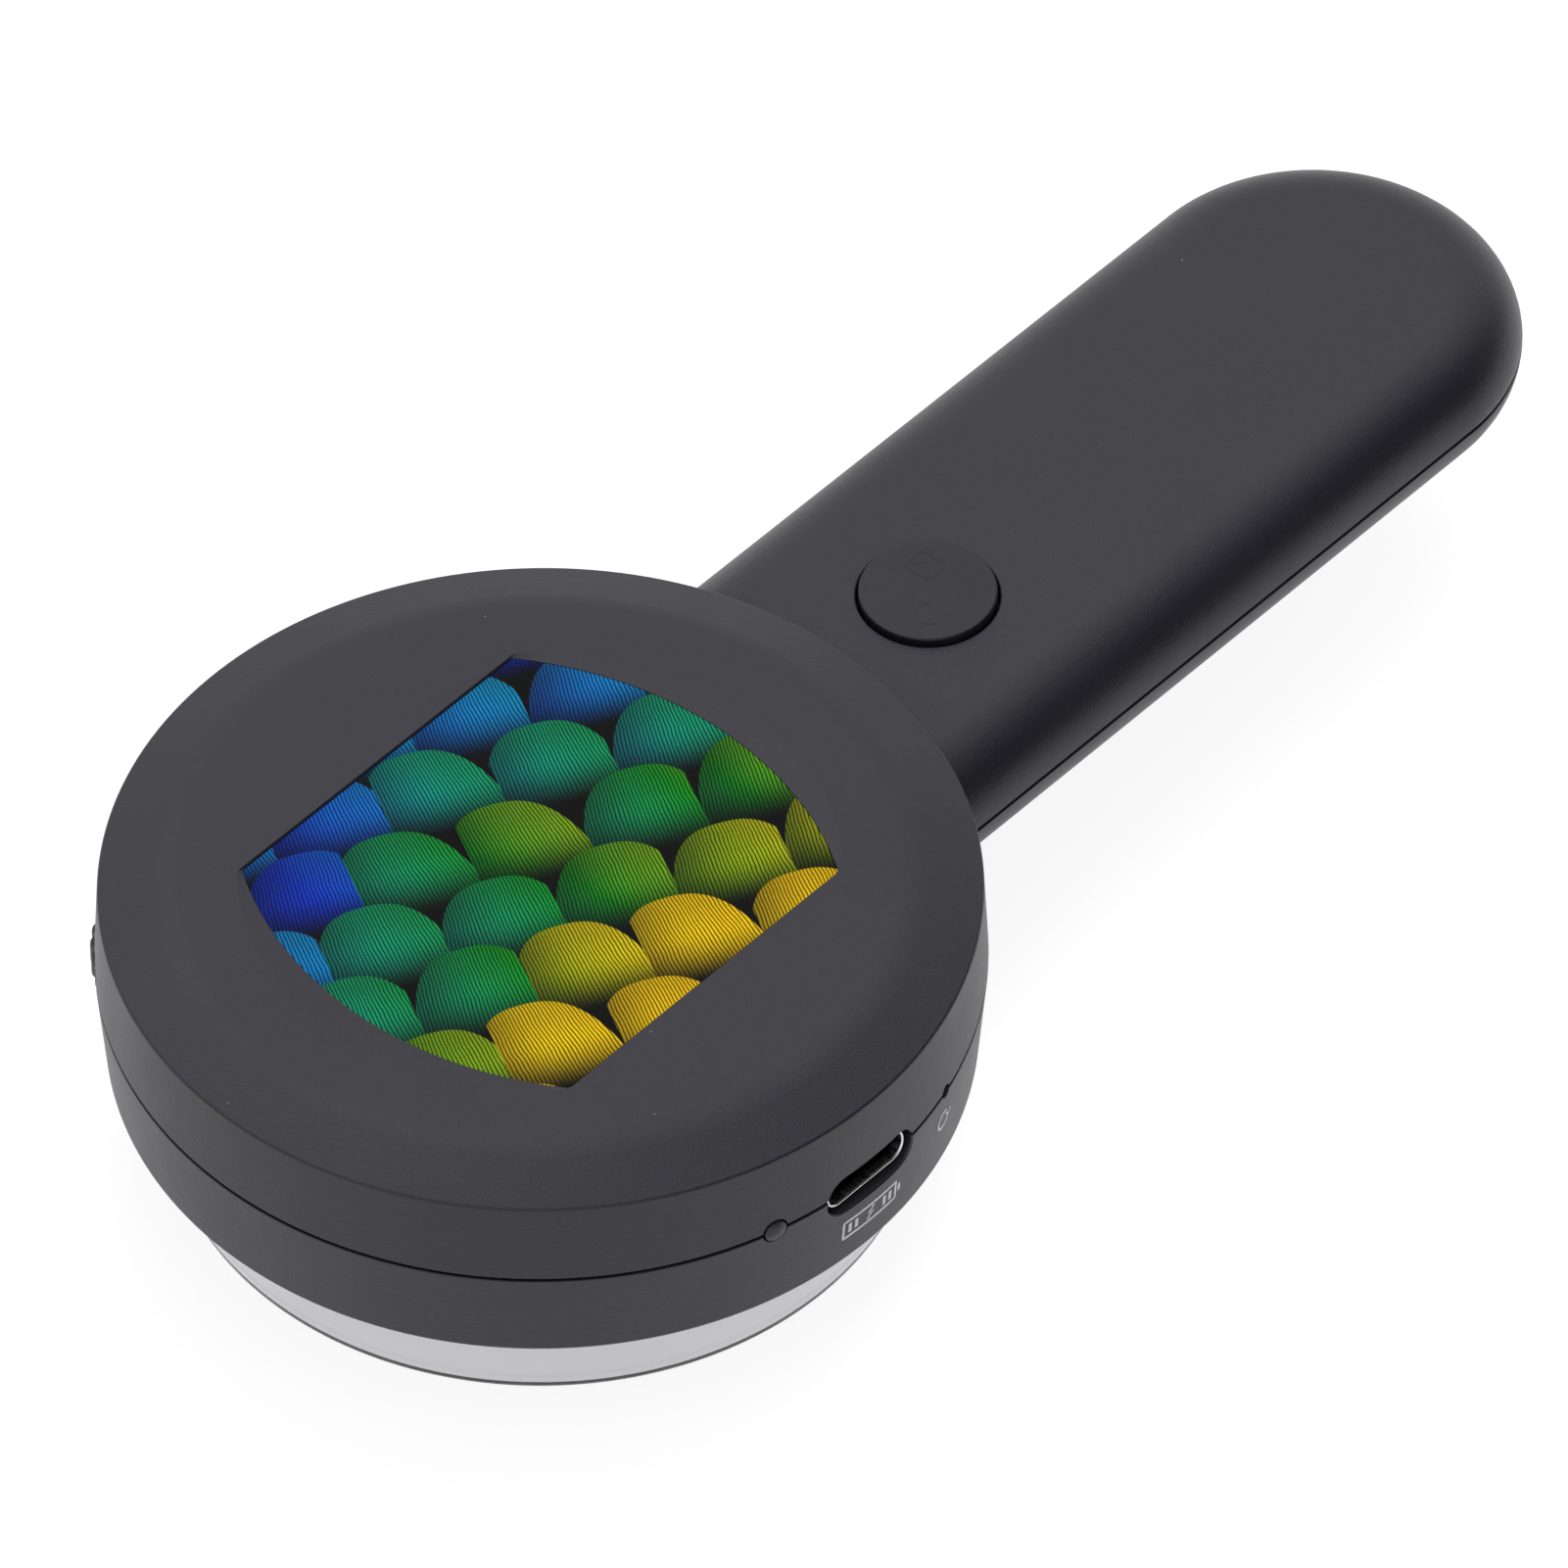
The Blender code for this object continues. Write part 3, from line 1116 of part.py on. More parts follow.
def gear_outline(teeth):
    """A gear's edge with its first tooth on +X. The teeth are slim, so that a pair runs with play."""
    pitch_radius = GEAR_MODULE * teeth / 2
    tip = pitch_radius + TOOTH_TIP_SHARE * GEAR_MODULE
    root = pitch_radius - TOOTH_ROOT_SHARE * GEAR_MODULE
    step = 2 * math.pi / teeth
    corners = (
        (root, -TOOTH_ROOT_WIDTH_SHARE),
        (tip, -TOOTH_TIP_WIDTH_SHARE),
        (tip, TOOTH_TIP_WIDTH_SHARE),
        (root, TOOTH_ROOT_WIDTH_SHARE),
    )
    points = []
    for tooth in range(teeth):
        for radius, share in corners:
            angle = (tooth + share) * step
            points.append((radius * math.cos(angle), radius * math.sin(angle)))
    return points


def make_focus_wheel(black, steel):
    """The thumbwheel in the wall's slot, with its pinion below, on a pin."""
    at = (*on_circle(WHEEL_ORBIT, WHEEL_ANGLE), 0)
    edge = []
    for ridge in range(WHEEL_RIDGES):
        for half, drop in ((0, 0), (0.5, WHEEL_RIDGE_DEPTH)):
            angle = 2 * math.pi * (ridge + half) / WHEEL_RIDGES
            radius = WHEEL_RADIUS - drop
            edge.append((radius * math.cos(angle), radius * math.sin(angle)))
    wheel = piece("focus_wheel", prism(edge, WHEEL_BOTTOM, WHEEL_TOP), black, at, WHEEL_ANGLE)
    gap_turn = WHEEL_ANGLE + 180 + 180 / PINION_TEETH
    pinion = prism(gear_outline(PINION_TEETH), GEAR_BOTTOM, GEAR_TOP)
    hub = disc(HUB_RADIUS, GEAR_BOTTOM + HUB_TUCK, WHEEL_TOP - HUB_TUCK)
    join(wheel, helper("pinion", pinion, at, gap_turn), helper("wheel hub", hub, at))
    bore = disc(AXLE_RADIUS + THREAD_GAP, GEAR_BOTTOM - OVERRUN, WHEEL_TOP + OVERRUN)
    cut(wheel, helper("wheel bore", bore, at))
    piece("focus_wheel_axle", disc(AXLE_RADIUS, FLOOR_TOP + SEAT_GAP, WHEEL_TOP), steel, at)


def make_focus_ring(black):
    """The gear round the lens: its spigot turns in the lower shell and its bore drives the lens barrel."""
    form = prism(gear_outline(RING_TEETH), GEAR_BOTTOM, GEAR_TOP)
    ring = piece("focus_ring", form, black, angle=WHEEL_ANGLE)
    spigot = disc(RING_SPIGOT_RADIUS, POCKET_CEILING + GEAR_GAP, GEAR_TOP - HUB_TUCK, MIDDLE_STEPS)
    join(ring, helper("ring spigot", spigot))
    cut(ring, helper("ring bore", disc(RING_BORE, POCKET_CEILING, GEAR_TOP + OVERRUN, MIDDLE_STEPS)))


def make_lens_barrel(black, glass):
    """The barrel that the ring moves up and down, with a lens in each end and a key groove each side."""
    front_seat = BARREL_BOTTOM + FRONT_LENS_SINK + FRONT_LENS_EDGE + SEAT_GAP
    rear_seat = BARREL_TOP - REAR_LENS_SINK - REAR_LENS_EDGE - SEAT_GAP
    front_bore = FRONT_LENS_RADIUS + THREAD_GAP
    rear_bore = REAR_LENS_RADIUS + THREAD_GAP
    barrel = piece(
        "lens_barrel",
        turned(
            [
                (BARREL_RADIUS - BARREL_LIP, BARREL_TOP),
                (BARREL_RADIUS, BARREL_TOP - BARREL_LIP),
                (BARREL_RADIUS, BARREL_BOTTOM + BARREL_LIP),
                (BARREL_RADIUS - BARREL_LIP, BARREL_BOTTOM),
                (front_bore, BARREL_BOTTOM),
                (front_bore, front_seat),
                (BARREL_BORE, front_seat),
                (BARREL_BORE, rear_seat),
                (rear_bore, rear_seat),
                (rear_bore, BARREL_TOP),
            ],
            MIDDLE_STEPS,
        ),
        black,
    )
    half = KEY_WIDTH / 2 + SLIDE_GAP
    bottom_of_groove = BARREL_RADIUS - KEY_DEPTH
    for name, side in (("front key groove", -1), ("rear key groove", 1)):
        ends = sorted((side * bottom_of_groove, side * (BARREL_RADIUS + OVERRUN)))
        groove = block((-half, ends[0], BARREL_BOTTOM - OVERRUN), (half, ends[1], BARREL_TOP + OVERRUN))
        cut(barrel, helper(name, groove))
    low = BARREL_BOTTOM + FRONT_LENS_SINK
    add_lens("front_lens", glass, FRONT_LENS_RADIUS, low, FRONT_LENS_EDGE, FRONT_LENS_BULGE)
    low = BARREL_TOP - REAR_LENS_SINK - REAR_LENS_EDGE
    add_lens("rear_lens", glass, REAR_LENS_RADIUS, low, REAR_LENS_EDGE, REAR_LENS_BULGE)


def add_lens(name, glass, radius, low, edge, bulge):
    """A lens with a straight edge between two shallow domes."""
    sphere = (radius**2 + bulge**2) / (2 * bulge)
    spread = math.asin(radius / sphere)
    high = low + edge
    top = outline_arc((0, high + bulge - sphere), sphere, math.pi / 2, math.pi / 2 - spread, ROLL_STEPS)
    bottom = [(x, low + high - y) for x, y in reversed(top)]
    piece(name, turned(top + bottom, MIDDLE_STEPS), glass)


def make_camera(black, green, silicon, steel):
    """The camera's board and sensor on a holder, whose two arms are screwed to posts."""
    half = CAMERA_BOARD_SIZE / 2
    board = block((-half, -half, CAMERA_BOARD_BOTTOM), (half, half, CAMERA_BOARD_TOP))
    piece("camera_board", board, green)
    half = SENSOR_SIZE / 2
    piece("image_sensor", block((-half, -half, SENSOR_BOTTOM), (half, half, SENSOR_TOP)), silicon)
    radius = RING_BORE + HOLDER_WALL
    holder = piece("lens_holder", disc(radius, HOLDER_BOTTOM, HOLDER_TOP, MIDDLE_STEPS), black)
    arm_length = 2 * HOLDER_POST_ORBIT + HOLDER_ARM_WIDTH
    outline = rounded_rectangle(arm_length, HOLDER_ARM_WIDTH, HOLDER_ARM_WIDTH / 3)
    join(holder, helper("holder arms", prism(outline, HOLDER_ARM_BOTTOM, HOLDER_ARM_TOP)))
    cut(holder, holder_bore(radius))
    low = HOLDER_ARM_BOTTOM - OVERRUN
    hole = SCREW_SHANK_RADIUS + THREAD_GAP
    holes = [column(hole, low, HOLDER_TOP + OVERRUN, side * HOLDER_POST_ORBIT) for side in (-1, 1)]
    cut(holder, helper("holder holes", together(*holes)))
    for number, side in enumerate((-1, 1), 1):
        add_screw(f"lens_holder_screw_{number}", steel, side * HOLDER_POST_ORBIT, 0, HOLDER_SCREW_SEAT)


def holder_bore(holder_radius):
    """The holder's bore, which leaves two keys standing that the barrel's grooves slide on."""
    bore = helper("holder bore", disc(RING_BORE, HOLDER_BOTTOM - OVERRUN, HOLDER_TOP + OVERRUN, MIDDLE_STEPS))
    half = KEY_WIDTH / 2
    key_inner = BARREL_RADIUS - KEY_DEPTH + SLIDE_GAP
    low = HOLDER_BOTTOM - 2 * OVERRUN
    high = HOLDER_TOP + 2 * OVERRUN
    for name, side in (("front key", -1), ("rear key", 1)):
        near, far = sorted((side * key_inner, side * holder_radius))
        cut(bore, helper(name, block((-half, near, low), (half, far, high))))
    return bore


def make_ring_light(green, yellow, frosted):
    """The lamps round the lens on their ring board, behind a frosted ring."""
    outer = POCKET_RADIUS - SEAT_GAP
    board = collar(outer, RING_SPIGOT_RADIUS, LIGHT_BOARD_BOTTOM, LIGHT_BOARD_TOP, MIDDLE_STEPS)
    piece("light_board", board, green)
    half_length = RING_LED_LENGTH / 2
    half_width = RING_LED_WIDTH / 2
    for number in range(RING_LED_COUNT):
        low = (RING_LED_ORBIT - half_length, -half_width, RING_LED_BOTTOM)
        lamp = block(low, (RING_LED_ORBIT + half_length, half_width, RING_LED_TOP))
        piece(f"light_led_{number + 1}", lamp, yellow, angle=360 * number / RING_LED_COUNT)
    ring = collar(outer, RING_SPIGOT_RADIUS, DIFFUSER_TOP - DIFFUSER_THICKNESS, DIFFUSER_TOP, HEAD_STEPS)
    piece("light_diffuser", ring, frosted)


def make_hood(clear):
    """The open skirt that holds the lens at its distance: its tongue sits in the lower shell's groove."""
    foot_inner = HOOD_FOOT_RADIUS - HOOD_FOOT_WALL
    profile = [
        (HOOD_TONGUE_RADIUS, HOOD_TONGUE_TOP),
        (HOOD_TONGUE_RADIUS, HOOD_TOP),
        (HOOD_TOP_RADIUS, HOOD_TOP),
        (HOOD_FOOT_RADIUS, HOOD_EDGE),
        (HOOD_FOOT_RADIUS - HOOD_EDGE, 0),
        (foot_inner + HOOD_EDGE, 0),
        (foot_inner, HOOD_EDGE),
        (HOOD_TONGUE_INNER, HOOD_TOP),
        (HOOD_TONGUE_INNER, HOOD_TONGUE_TOP),
    ]
    piece("hood", turned(profile, HEAD_STEPS), clear)


def main():
    clear_scene()
    magnifier = bpy.data.objects.new("magnifier", None)
    bpy.context.scene.collection.objects.link(magnifier)
    magnifier.location = (0, HEAD_PLACE, 0)

    charcoal = material("charcoal plastic", (0.055, 0.055, 0.065), 0.55)
    black = material("black plastic", (0.012, 0.012, 0.013), 0.45)
    white = material("white plastic", (0.75, 0.75, 0.74), 0.4)
    clear = material("clear plastic", (0.8, 0.82, 0.84), 0.08, alpha=0.35)
    frosted = material("frosted plastic", (0.85, 0.86, 0.86), 0.6, alpha=0.8)
    glass = material("lens glass", (0.7, 0.8, 0.85), 0.03, alpha=0.4)
    screen = material("screen glass", (0.01, 0.03, 0.05), 0.1)
    foam = material("black foam", (0.02, 0.02, 0.02), 0.95)
    green = material("circuit board", (0.01, 0.12, 0.05), 0.5)
    silicon = material("sensor glass", (0.05, 0.04, 0.08), 0.15)
    copper = material("ribbon", (0.45, 0.22, 0.05), 0.4)
    steel = material("steel", (0.6, 0.6, 0.6), 0.3, 1.0)
    silver = material("battery foil", (0.55, 0.56, 0.58), 0.35, 0.8)
    yellow = material("lamp phosphor", (0.85, 0.7, 0.2), 0.4)
    red = material("red wire", (0.5, 0.02, 0.02), 0.45)

    side_cutters = make_side_cutters()
    hollow = make_upper_shell(charcoal, side_cutters)
    make_lower_shell(charcoal, side_cutters, hollow)
    make_screen(clear, foam, screen, white, copper)
    make_main_board(green, black, steel)
    make_port(steel, black)
    make_status_light(clear, yellow)
    make_reset_switch(black, white)
    make_button(charcoal, black, white, green, steel, copper)
    make_battery(silver, foam, red, black)
    make_focus_wheel(black, steel)
    make_focus_ring(black)
    make_lens_barrel(black, glass)
    make_camera(black, green, silicon, steel)
    make_ring_light(green, yellow, frosted)
    make_hood(clear)
    make_lanyard_pin(steel)
    for number, spot in enumerate(SHELL_SCREW_PLACES, 1):
        add_screw(f"shell_screw_{number}", steel, *spot, SHELL_SCREW_SEAT, SHELL_SCREW_LENGTH, True)


main()
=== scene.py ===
"""The looks of the handheld digital magnifier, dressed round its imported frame.

Sizes are in millimetres and are turned into metres where a mesh is made. The visible pieces are
modelled again with fine, rounded forms, and every piece gets a finish made of shader nodes.
"""

import json
import math

import bmesh
import bpy
from mathutils import Matrix, Vector

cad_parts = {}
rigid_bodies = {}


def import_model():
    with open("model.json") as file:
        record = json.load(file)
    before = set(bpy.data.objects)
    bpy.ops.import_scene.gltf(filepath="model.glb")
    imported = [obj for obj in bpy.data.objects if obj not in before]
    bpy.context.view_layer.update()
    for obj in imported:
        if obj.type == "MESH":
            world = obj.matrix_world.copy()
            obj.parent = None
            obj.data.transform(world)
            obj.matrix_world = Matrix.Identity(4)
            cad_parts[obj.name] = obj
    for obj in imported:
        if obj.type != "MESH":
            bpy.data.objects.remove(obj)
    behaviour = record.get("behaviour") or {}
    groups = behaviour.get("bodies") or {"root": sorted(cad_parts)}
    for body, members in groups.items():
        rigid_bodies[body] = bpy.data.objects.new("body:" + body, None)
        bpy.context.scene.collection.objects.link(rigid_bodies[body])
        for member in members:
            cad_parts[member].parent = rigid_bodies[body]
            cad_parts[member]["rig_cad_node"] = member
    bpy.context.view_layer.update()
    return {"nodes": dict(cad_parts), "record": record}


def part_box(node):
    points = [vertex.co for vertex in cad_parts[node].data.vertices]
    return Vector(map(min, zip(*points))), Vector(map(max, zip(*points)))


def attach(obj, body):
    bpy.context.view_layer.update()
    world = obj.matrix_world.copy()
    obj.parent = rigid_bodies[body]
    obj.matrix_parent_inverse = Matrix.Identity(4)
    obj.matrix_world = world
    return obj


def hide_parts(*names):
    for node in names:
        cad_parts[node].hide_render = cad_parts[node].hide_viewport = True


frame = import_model()
MM = 0.001

# Fits, as in the frame
SEAT_GAP = 0.3
SIDE_GAP = 0.15
SLIDE_GAP = 0.2
THREAD_GAP = 0.1
OVERRUN = 2.0
WELD_DISTANCE = 0.0005

# Places read from the frame: the head's axis, and the heights of what the shells hold
HOOD_LOW, HOOD_HIGH = (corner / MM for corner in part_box("hood"))
HEAD_Y = (HOOD_LOW.y + HOOD_HIGH.y) / 2
HEAD_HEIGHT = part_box("upper_shell")[1].z / MM
BASE_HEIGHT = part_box("lower_shell")[0].z / MM
COVER_BOTTOM, COVER_TOP = (corner.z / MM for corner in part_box("display_window"))
BUTTON_BOTTOM, BUTTON_TOP = (corner.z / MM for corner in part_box("button_cap"))
WHEEL_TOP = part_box("focus_wheel")[1].z / MM
GEAR_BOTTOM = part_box("focus_wheel")[0].z / MM
BOARD_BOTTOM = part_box("main_board")[0].z / MM
BARREL_BOTTOM, BARREL_TOP = (corner.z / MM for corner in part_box("lens_barrel"))
DIFFUSER_BOTTOM, DIFFUSER_TOP = (corner.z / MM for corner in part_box("light_diffuser"))
SCREW_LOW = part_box("shell_screw_1")[0].z / MM

# Head
HEAD_RADIUS = 34.9
RIM_RADIUS = 34.5
RIM_DROP = 1.6
RIM_ROUND = 0.3
FACE_RADIUS = 29.15
FACE_SOFTNESS = 9.0
FACE_WALL = 1.0
BASE_RADIUS = 34.2
BASE_ROUND = 0.5
WALL = 1.8
FLOOR = 1.8
SEAM_HEIGHT = 18.04
SEAM_GAP = 0.3
SEAM_EDGE = 0.1
LIP_SKIN = 0.95
LIP_RISE = 1.2

# Handle
HANDLE_HALF_WIDTH = 16.66
HANDLE_REACH = 92.0
HANDLE_RISE = 5.4
HANDLE_DROP = 5.8
TOP_ROLL = 6.0
BOTTOM_ROLL = 6.0
NECK_FILLET = 2.0
NECK_ROOT_SHARE = 0.8
HANDLE_TOP = SEAM_HEIGHT + HANDLE_RISE
HANDLE_BOTTOM = SEAM_HEIGHT - HANDLE_DROP

# Window in the head's face
WINDOW_HALF_WIDTH = 17.24
WINDOW_REACH = 20.7
WINDOW_CORNER_INSET = 0.32
WINDOW_CORNER = 0.6
RECESS_RADIUS = 23.5
COVER_THICKNESS = 0.8
COVER_LAP = 1.6
COVER_EDGE = 0.08
FILM_THICKNESS = 0.06
FILM_GAP = 0.04
FILM_TOP = (COVER_TOP + HEAD_HEIGHT) / 2
WINDOW_SLOPE_SHARES = (0.35, 0.7, 0.9)
WINDOW_MELT_SHARES = ((1.0, -0.03), (1.1, 0.04))

# Screws, posts and bosses
POST_RADIUS = 2.2
SCREW_HEAD_RADIUS = 1.7
SCREW_HEAD_HEIGHT = 0.9
SCREW_HEAD_ROUND = 0.4
SCREW_SHANK_RADIUS = 0.8
SCREW_LENGTH = 6.2
THREAD_PITCH = 0.5
THREAD_DEPTH = 0.12
THREAD_ROOT_SHARE = 0.1
CROSS_HALF_WIDTH = 0.26
CROSS_HALF_LENGTH = 1.05
CROSS_DEPTH = 0.6
CROSS_TAPER = 0.3
NECK_SCREW = (8.8, 37.5)
END_SCREW_REACH = 100.46
SCREW_PLACES = (NECK_SCREW, (-NECK_SCREW[0], NECK_SCREW[1]), (0, END_SCREW_REACH))
MAIN_POST_ORBIT = 28.0
MAIN_POST_ANGLES = (60, 160, 290)
HOLDER_POST_ORBIT = 22.385
HOLDER_POST_TOP = 15.9
BUTTON_POST_OFFSET = 5.9
BUTTON_POST_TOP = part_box("button_board")[0].z / MM - SEAT_GAP

# What opens the wall
PORT_HEIGHT = 17.52
PORT_WIDTH = 8.94
PORT_TALL = 3.16
PORT_SHEET = 0.3
PORT_CLEARANCE = 0.35
PORT_FLARE = 0.25
PORT_DEPTH = 7.3
PORT_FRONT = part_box("usb_port_shell")[1].x / MM
TONGUE_WIDTH = 6.7
TONGUE_THICKNESS = 0.7
TONGUE_LENGTH = 4.8
CONTACT_COUNT = 12
CONTACT_PITCH = 0.5
CONTACT_WIDTH = 0.25
CONTACT_LENGTH = 2.4
CONTACT_ROOT_SHARE = 0.9
LIGHT_ANGLE = -16.3
LIGHT_RADIUS = 0.95
LIGHT_PROUD = 0.3
RESET_ANGLE = 16.6
RESET_RADIUS = 0.6
LANYARD_ANGLE = 145
LANYARD_WIDTH = 3.9
LANYARD_LOW = 18.7
LANYARD_HIGH = 21.2
LANYARD_DEPTH = 5.0
LANYARD_BLOCK_RADIUS = 4.0
LANYARD_BLOCK_DROP = 3.0
LANYARD_PIN_RADIUS = 0.6
LANYARD_PIN_INSET = 3.2
LANYARD_PIN_ROOT = 0.3

# Button
BUTTON_REACH = 45.2
BUTTON_RADIUS = 5.53
BUTTON_ROUND = 0.2
BUTTON_WALL = 1.1
BUTTON_FLANGE = 0.9
BUTTON_FLANGE_THICKNESS = 0.8
BUTTON_STEM_RADIUS = 1.6
HOLE_ROUND = 0.18

# Signs: the widths of their lines, their rise and root, and the points that draw them
MARK_RISE = 0.03
FAINT_RISE = 0.018
MARK_ROOT = 0.05
MARK_POINT_GAP = 0.25
BUTTON_LINE = 0.2
PICTURE_SIGN_PLACE = (-2.0, 1.9)
PICTURE_SIGN_SIZE = (2.55, 2.2)
PICTURE_SIGN_CORNER = 0.3
PICTURE_SIGN_HILL = ((-0.85, -0.5), (-0.2, 0.3), (0.85, -0.6))
POWER_SIGN_PLACE = (1.8, -1.9)
POWER_SIGN_RADIUS = 1.15
POWER_SIGN_TURN = (125, 415)
POWER_BAR_SHARES = (0.35, 1.3)
BATTERY_SIGN_DROP = 4.4
BATTERY_SIGN_HALF_SIZE = (3.0, 0.95)
BATTERY_SIGN_LINE = 0.24
BATTERY_TIP = (3.45, 0.4)
BATTERY_TIP_LINE = 0.3
BATTERY_BOLT = ((0.35, 0.62), (-0.3, 0.0), (0.3, 0.0), (-0.35, -0.62))
BATTERY_BOLT_LINE = 0.22
BATTERY_BARS = (-2.3, -1.6, 1.6, 2.3)
BATTERY_BAR_HALF_HEIGHT = 0.5
BATTERY_BAR_LINE = 0.34
RESET_SIGN_DROP = 3.3
RESET_SIGN_RADIUS = 0.85
RESET_SIGN_TURN = (60, 360)
RESET_SIGN_LINE = 0.22
RESET_ARROW_HALF_WIDTH = 0.42
RESET_ARROW_ENDS = 0.28
RESET_ARROW_POINT = -0.08

# Focus wheel
WHEEL_ANGLE = 222
WHEEL_RADIUS = 9.8
WHEEL_ORBIT = 25.4
WHEEL_THICKNESS = 2.2
WHEEL_RIDGES = 40
WHEEL_RIDGE_DEPTH = 0.3
WHEEL_EDGE = 0.25
WHEEL_EDGE_SHARE = 0.3
WHEEL_SLOT_GAP = 0.3
PINION_TEETH = 16
RING_TEETH = 48
GEAR_THICKNESS = 1.5
GEAR_TIP_RISE_SHARE = 0.8
GEAR_ROOT_DROP_SHARE = 1.05
GEAR_TIP_SHARES = (0.12, 0.08)
GEAR_ROOT_SHARES = (0.27, 0.12)
HUB_RADIUS = 4.0
HUB_TUCK = 0.2
AXLE_RADIUS = 0.75
AXLE_BOSS_RADIUS = 2.0

# Camera end and ring light
POCKET_RADIUS = 21.0
POCKET_CEILING = 12.3
POCKET_WALL = 1.0
SPIGOT_RADIUS = 7.8
BARREL_RADIUS = 6.7
BARREL_BORE = 3.6
BARREL_ROUND = 0.3
BARREL_MOUTH_ROUND = 0.15
BARREL_STOP_ROUND = 0.1
KEY_WIDTH = 1.6
KEY_DEPTH = 0.6
LENS_RADIUS = 5.0
LENS_EDGE = 1.2
LENS_BULGE = 0.6
LENS_SINK = 0.7
REAR_LENS_RADIUS = 4.2
REAR_LENS_EDGE = 0.9
REAR_LENS_SINK = 1.2
DIFFUSER_ROUND = 0.2
DIFFUSER_TOP_ROUND = 0.05

# Hood
HOOD_TOP_RADIUS = 31.0
HOOD_FOOT_RADIUS = 29.64
HOOD_FOOT_WALL = 1.7
HOOD_SHOULDER = 0.6
HOOD_TONGUE_WALL = 1.8
HOOD_TONGUE_RISE = 0.9
HOOD_ROUND = 0.45
HOOD_TONGUE_ROUND = 0.1
HOOD_SHOULDER_ROUND = 0.15

# Facets
HEAD_STEPS = 192
RING_STEPS = 96
HOLE_STEPS = 48
POST_STEPS = 24
ROLL_STEPS = 14
END_STEPS = 72
NECK_STEPS = 10
WINDOW_STEPS = 48
CORNER_STEPS = 8
SEAM_EDGE_STEPS = 4
SIGN_CORNER_STEPS = 3
CONTACT_CORNER_STEPS = 2
POWER_SIGN_STEPS = 28
RESET_SIGN_STEPS = 30
RIDGE_STEPS = 12
LENS_STEPS = 12
WALL_MOUTH_END = math.radians(105)
FLAT_MOUTH_END = math.radians(100)
ROUND_STEP = math.radians(12)
SHARP_ANGLE = math.radians(35)
FINE_SHARP_ANGLE = math.radians(50)


# Paths and outlines


def arc(centre, radius, start, end, steps):
    """Points on an arc, from the angle start to the angle end, both included."""
    points = []
    for step in range(steps + 1):
        angle = start + (end - start) * step / steps
        points.append((centre[0] + radius * math.cos(angle), centre[1] + radius * math.sin(angle)))
    return points


def softened(corners, closed=False):
    """A path through corners of (x, y, radius), each turned with its radius."""
    path = []
    count = len(corners)
    for index, (x, y, radius) in enumerate(corners):
        at_end = not closed and index in (0, count - 1)
        if at_end or not radius:
            path.append((x, y))
            continue
        corner = Vector((x, y))
        before = (Vector(corners[index - 1][:2]) - corner).normalized()
        after = (Vector(corners[(index + 1) % count][:2]) - corner).normalized()
        half = before.angle(after) / 2
        centre = corner + (before + after).normalized() * (radius / math.sin(half))
        start = corner + before * (radius / math.tan(half)) - centre
        end = corner + after * (radius / math.tan(half)) - centre
        first = math.atan2(start.y, start.x)
        turn = (math.atan2(end.y, end.x) - first + math.pi) % (2 * math.pi) - math.pi
        steps = max(2, round(abs(turn) / ROUND_STEP))
        path += arc(centre, radius, first, first + turn, steps)
    return path


def circle(radius, steps=HOLE_STEPS):
    return arc((0, 0), radius, 0, 2 * math.pi, steps)[:-1]


def rounded_rectangle(width, height, radius, steps=CORNER_STEPS):
    """A rectangle about the origin with four round corners."""
    points = []
    for quarter, (side, up) in enumerate(((1, 1), (-1, 1), (-1, -1), (1, -1))):
        centre = (side * (width / 2 - radius), up * (height / 2 - radius))
        start = quarter * math.pi / 2
        points += arc(centre, radius, start, start + math.pi / 2, steps)
    return points


def on_circle(radius, angle):
    """X and Y of a point at an angle in degrees."""
    return radius * math.cos(math.radians(angle)), radius * math.sin(math.radians(angle))


def between(start, end, share):
    return start + (end - start) * share


# Forms


def turned(profile, steps=HEAD_STEPS):
    """A profile of (radius, height) points turned about Z, closed by itself if it is off the axis."""
    form = bmesh.new()
    rings = []
    for radius, height in profile:
        if radius:
            rings.append([form.verts.new((x, y, height)) for x, y in circle(radius, steps)])
        else:
            rings.append([form.verts.new((0, 0, height))])
    pairs = list(zip(rings, rings[1:]))
    if profile[0][0] and profile[-1][0]:
        pairs.append((rings[-1], rings[0]))
    for near, far in pairs:
        for step in range(steps):
            after = step + 1
            corners = [near[step % len(near)], near[after % len(near)]]
            corners += [far[after % len(far)], far[step % len(far)]]
            form.faces.new(list(dict.fromkeys(corners)))
    return outward(form)


def skinned(form, levels, closed=False):
    """Faces from each ring of corners to the next, then over both ends, or back to the first if closed."""
    pairs = list(zip(levels, levels[1:]))
    if closed:
        pairs.append((levels[-1], levels[0]))
    for below, above in pairs:
        for index, corner in enumerate(below):
            after = (index + 1) % len(below)
            form.faces.new((corner, below[after], above[after], above[index]))
    if not closed:
        form.faces.new(levels[0][::-1])
        form.faces.new(levels[-1])
    return outward(form)


def lofted(outline_at, path):
    """A closed form on level outlines, drawn in by the inset along a path of (inset, height) points."""
    form = bmesh.new()
    levels = []
    for inset, height in path:
        levels.append([form.verts.new((x, y, height)) for x, y in outline_at(inset)])
    return skinned(form, levels)


def prism(outline, low, high):
    return lofted(lambda inset: outline, [(0, low), (0, high)])


def column(radius, low, high, x=0, y=0, steps=POST_STEPS):
    return moved(prism(circle(radius, steps), low, high), x, y)


def block(low, high):
    """A box between two corners, as a cutter or a plain inner part."""
    x0, y0, z0 = low
    x1, y1, z1 = high
    return prism([(x0, y0), (x1, y0), (x1, y1), (x0, y1)], z0, z1)


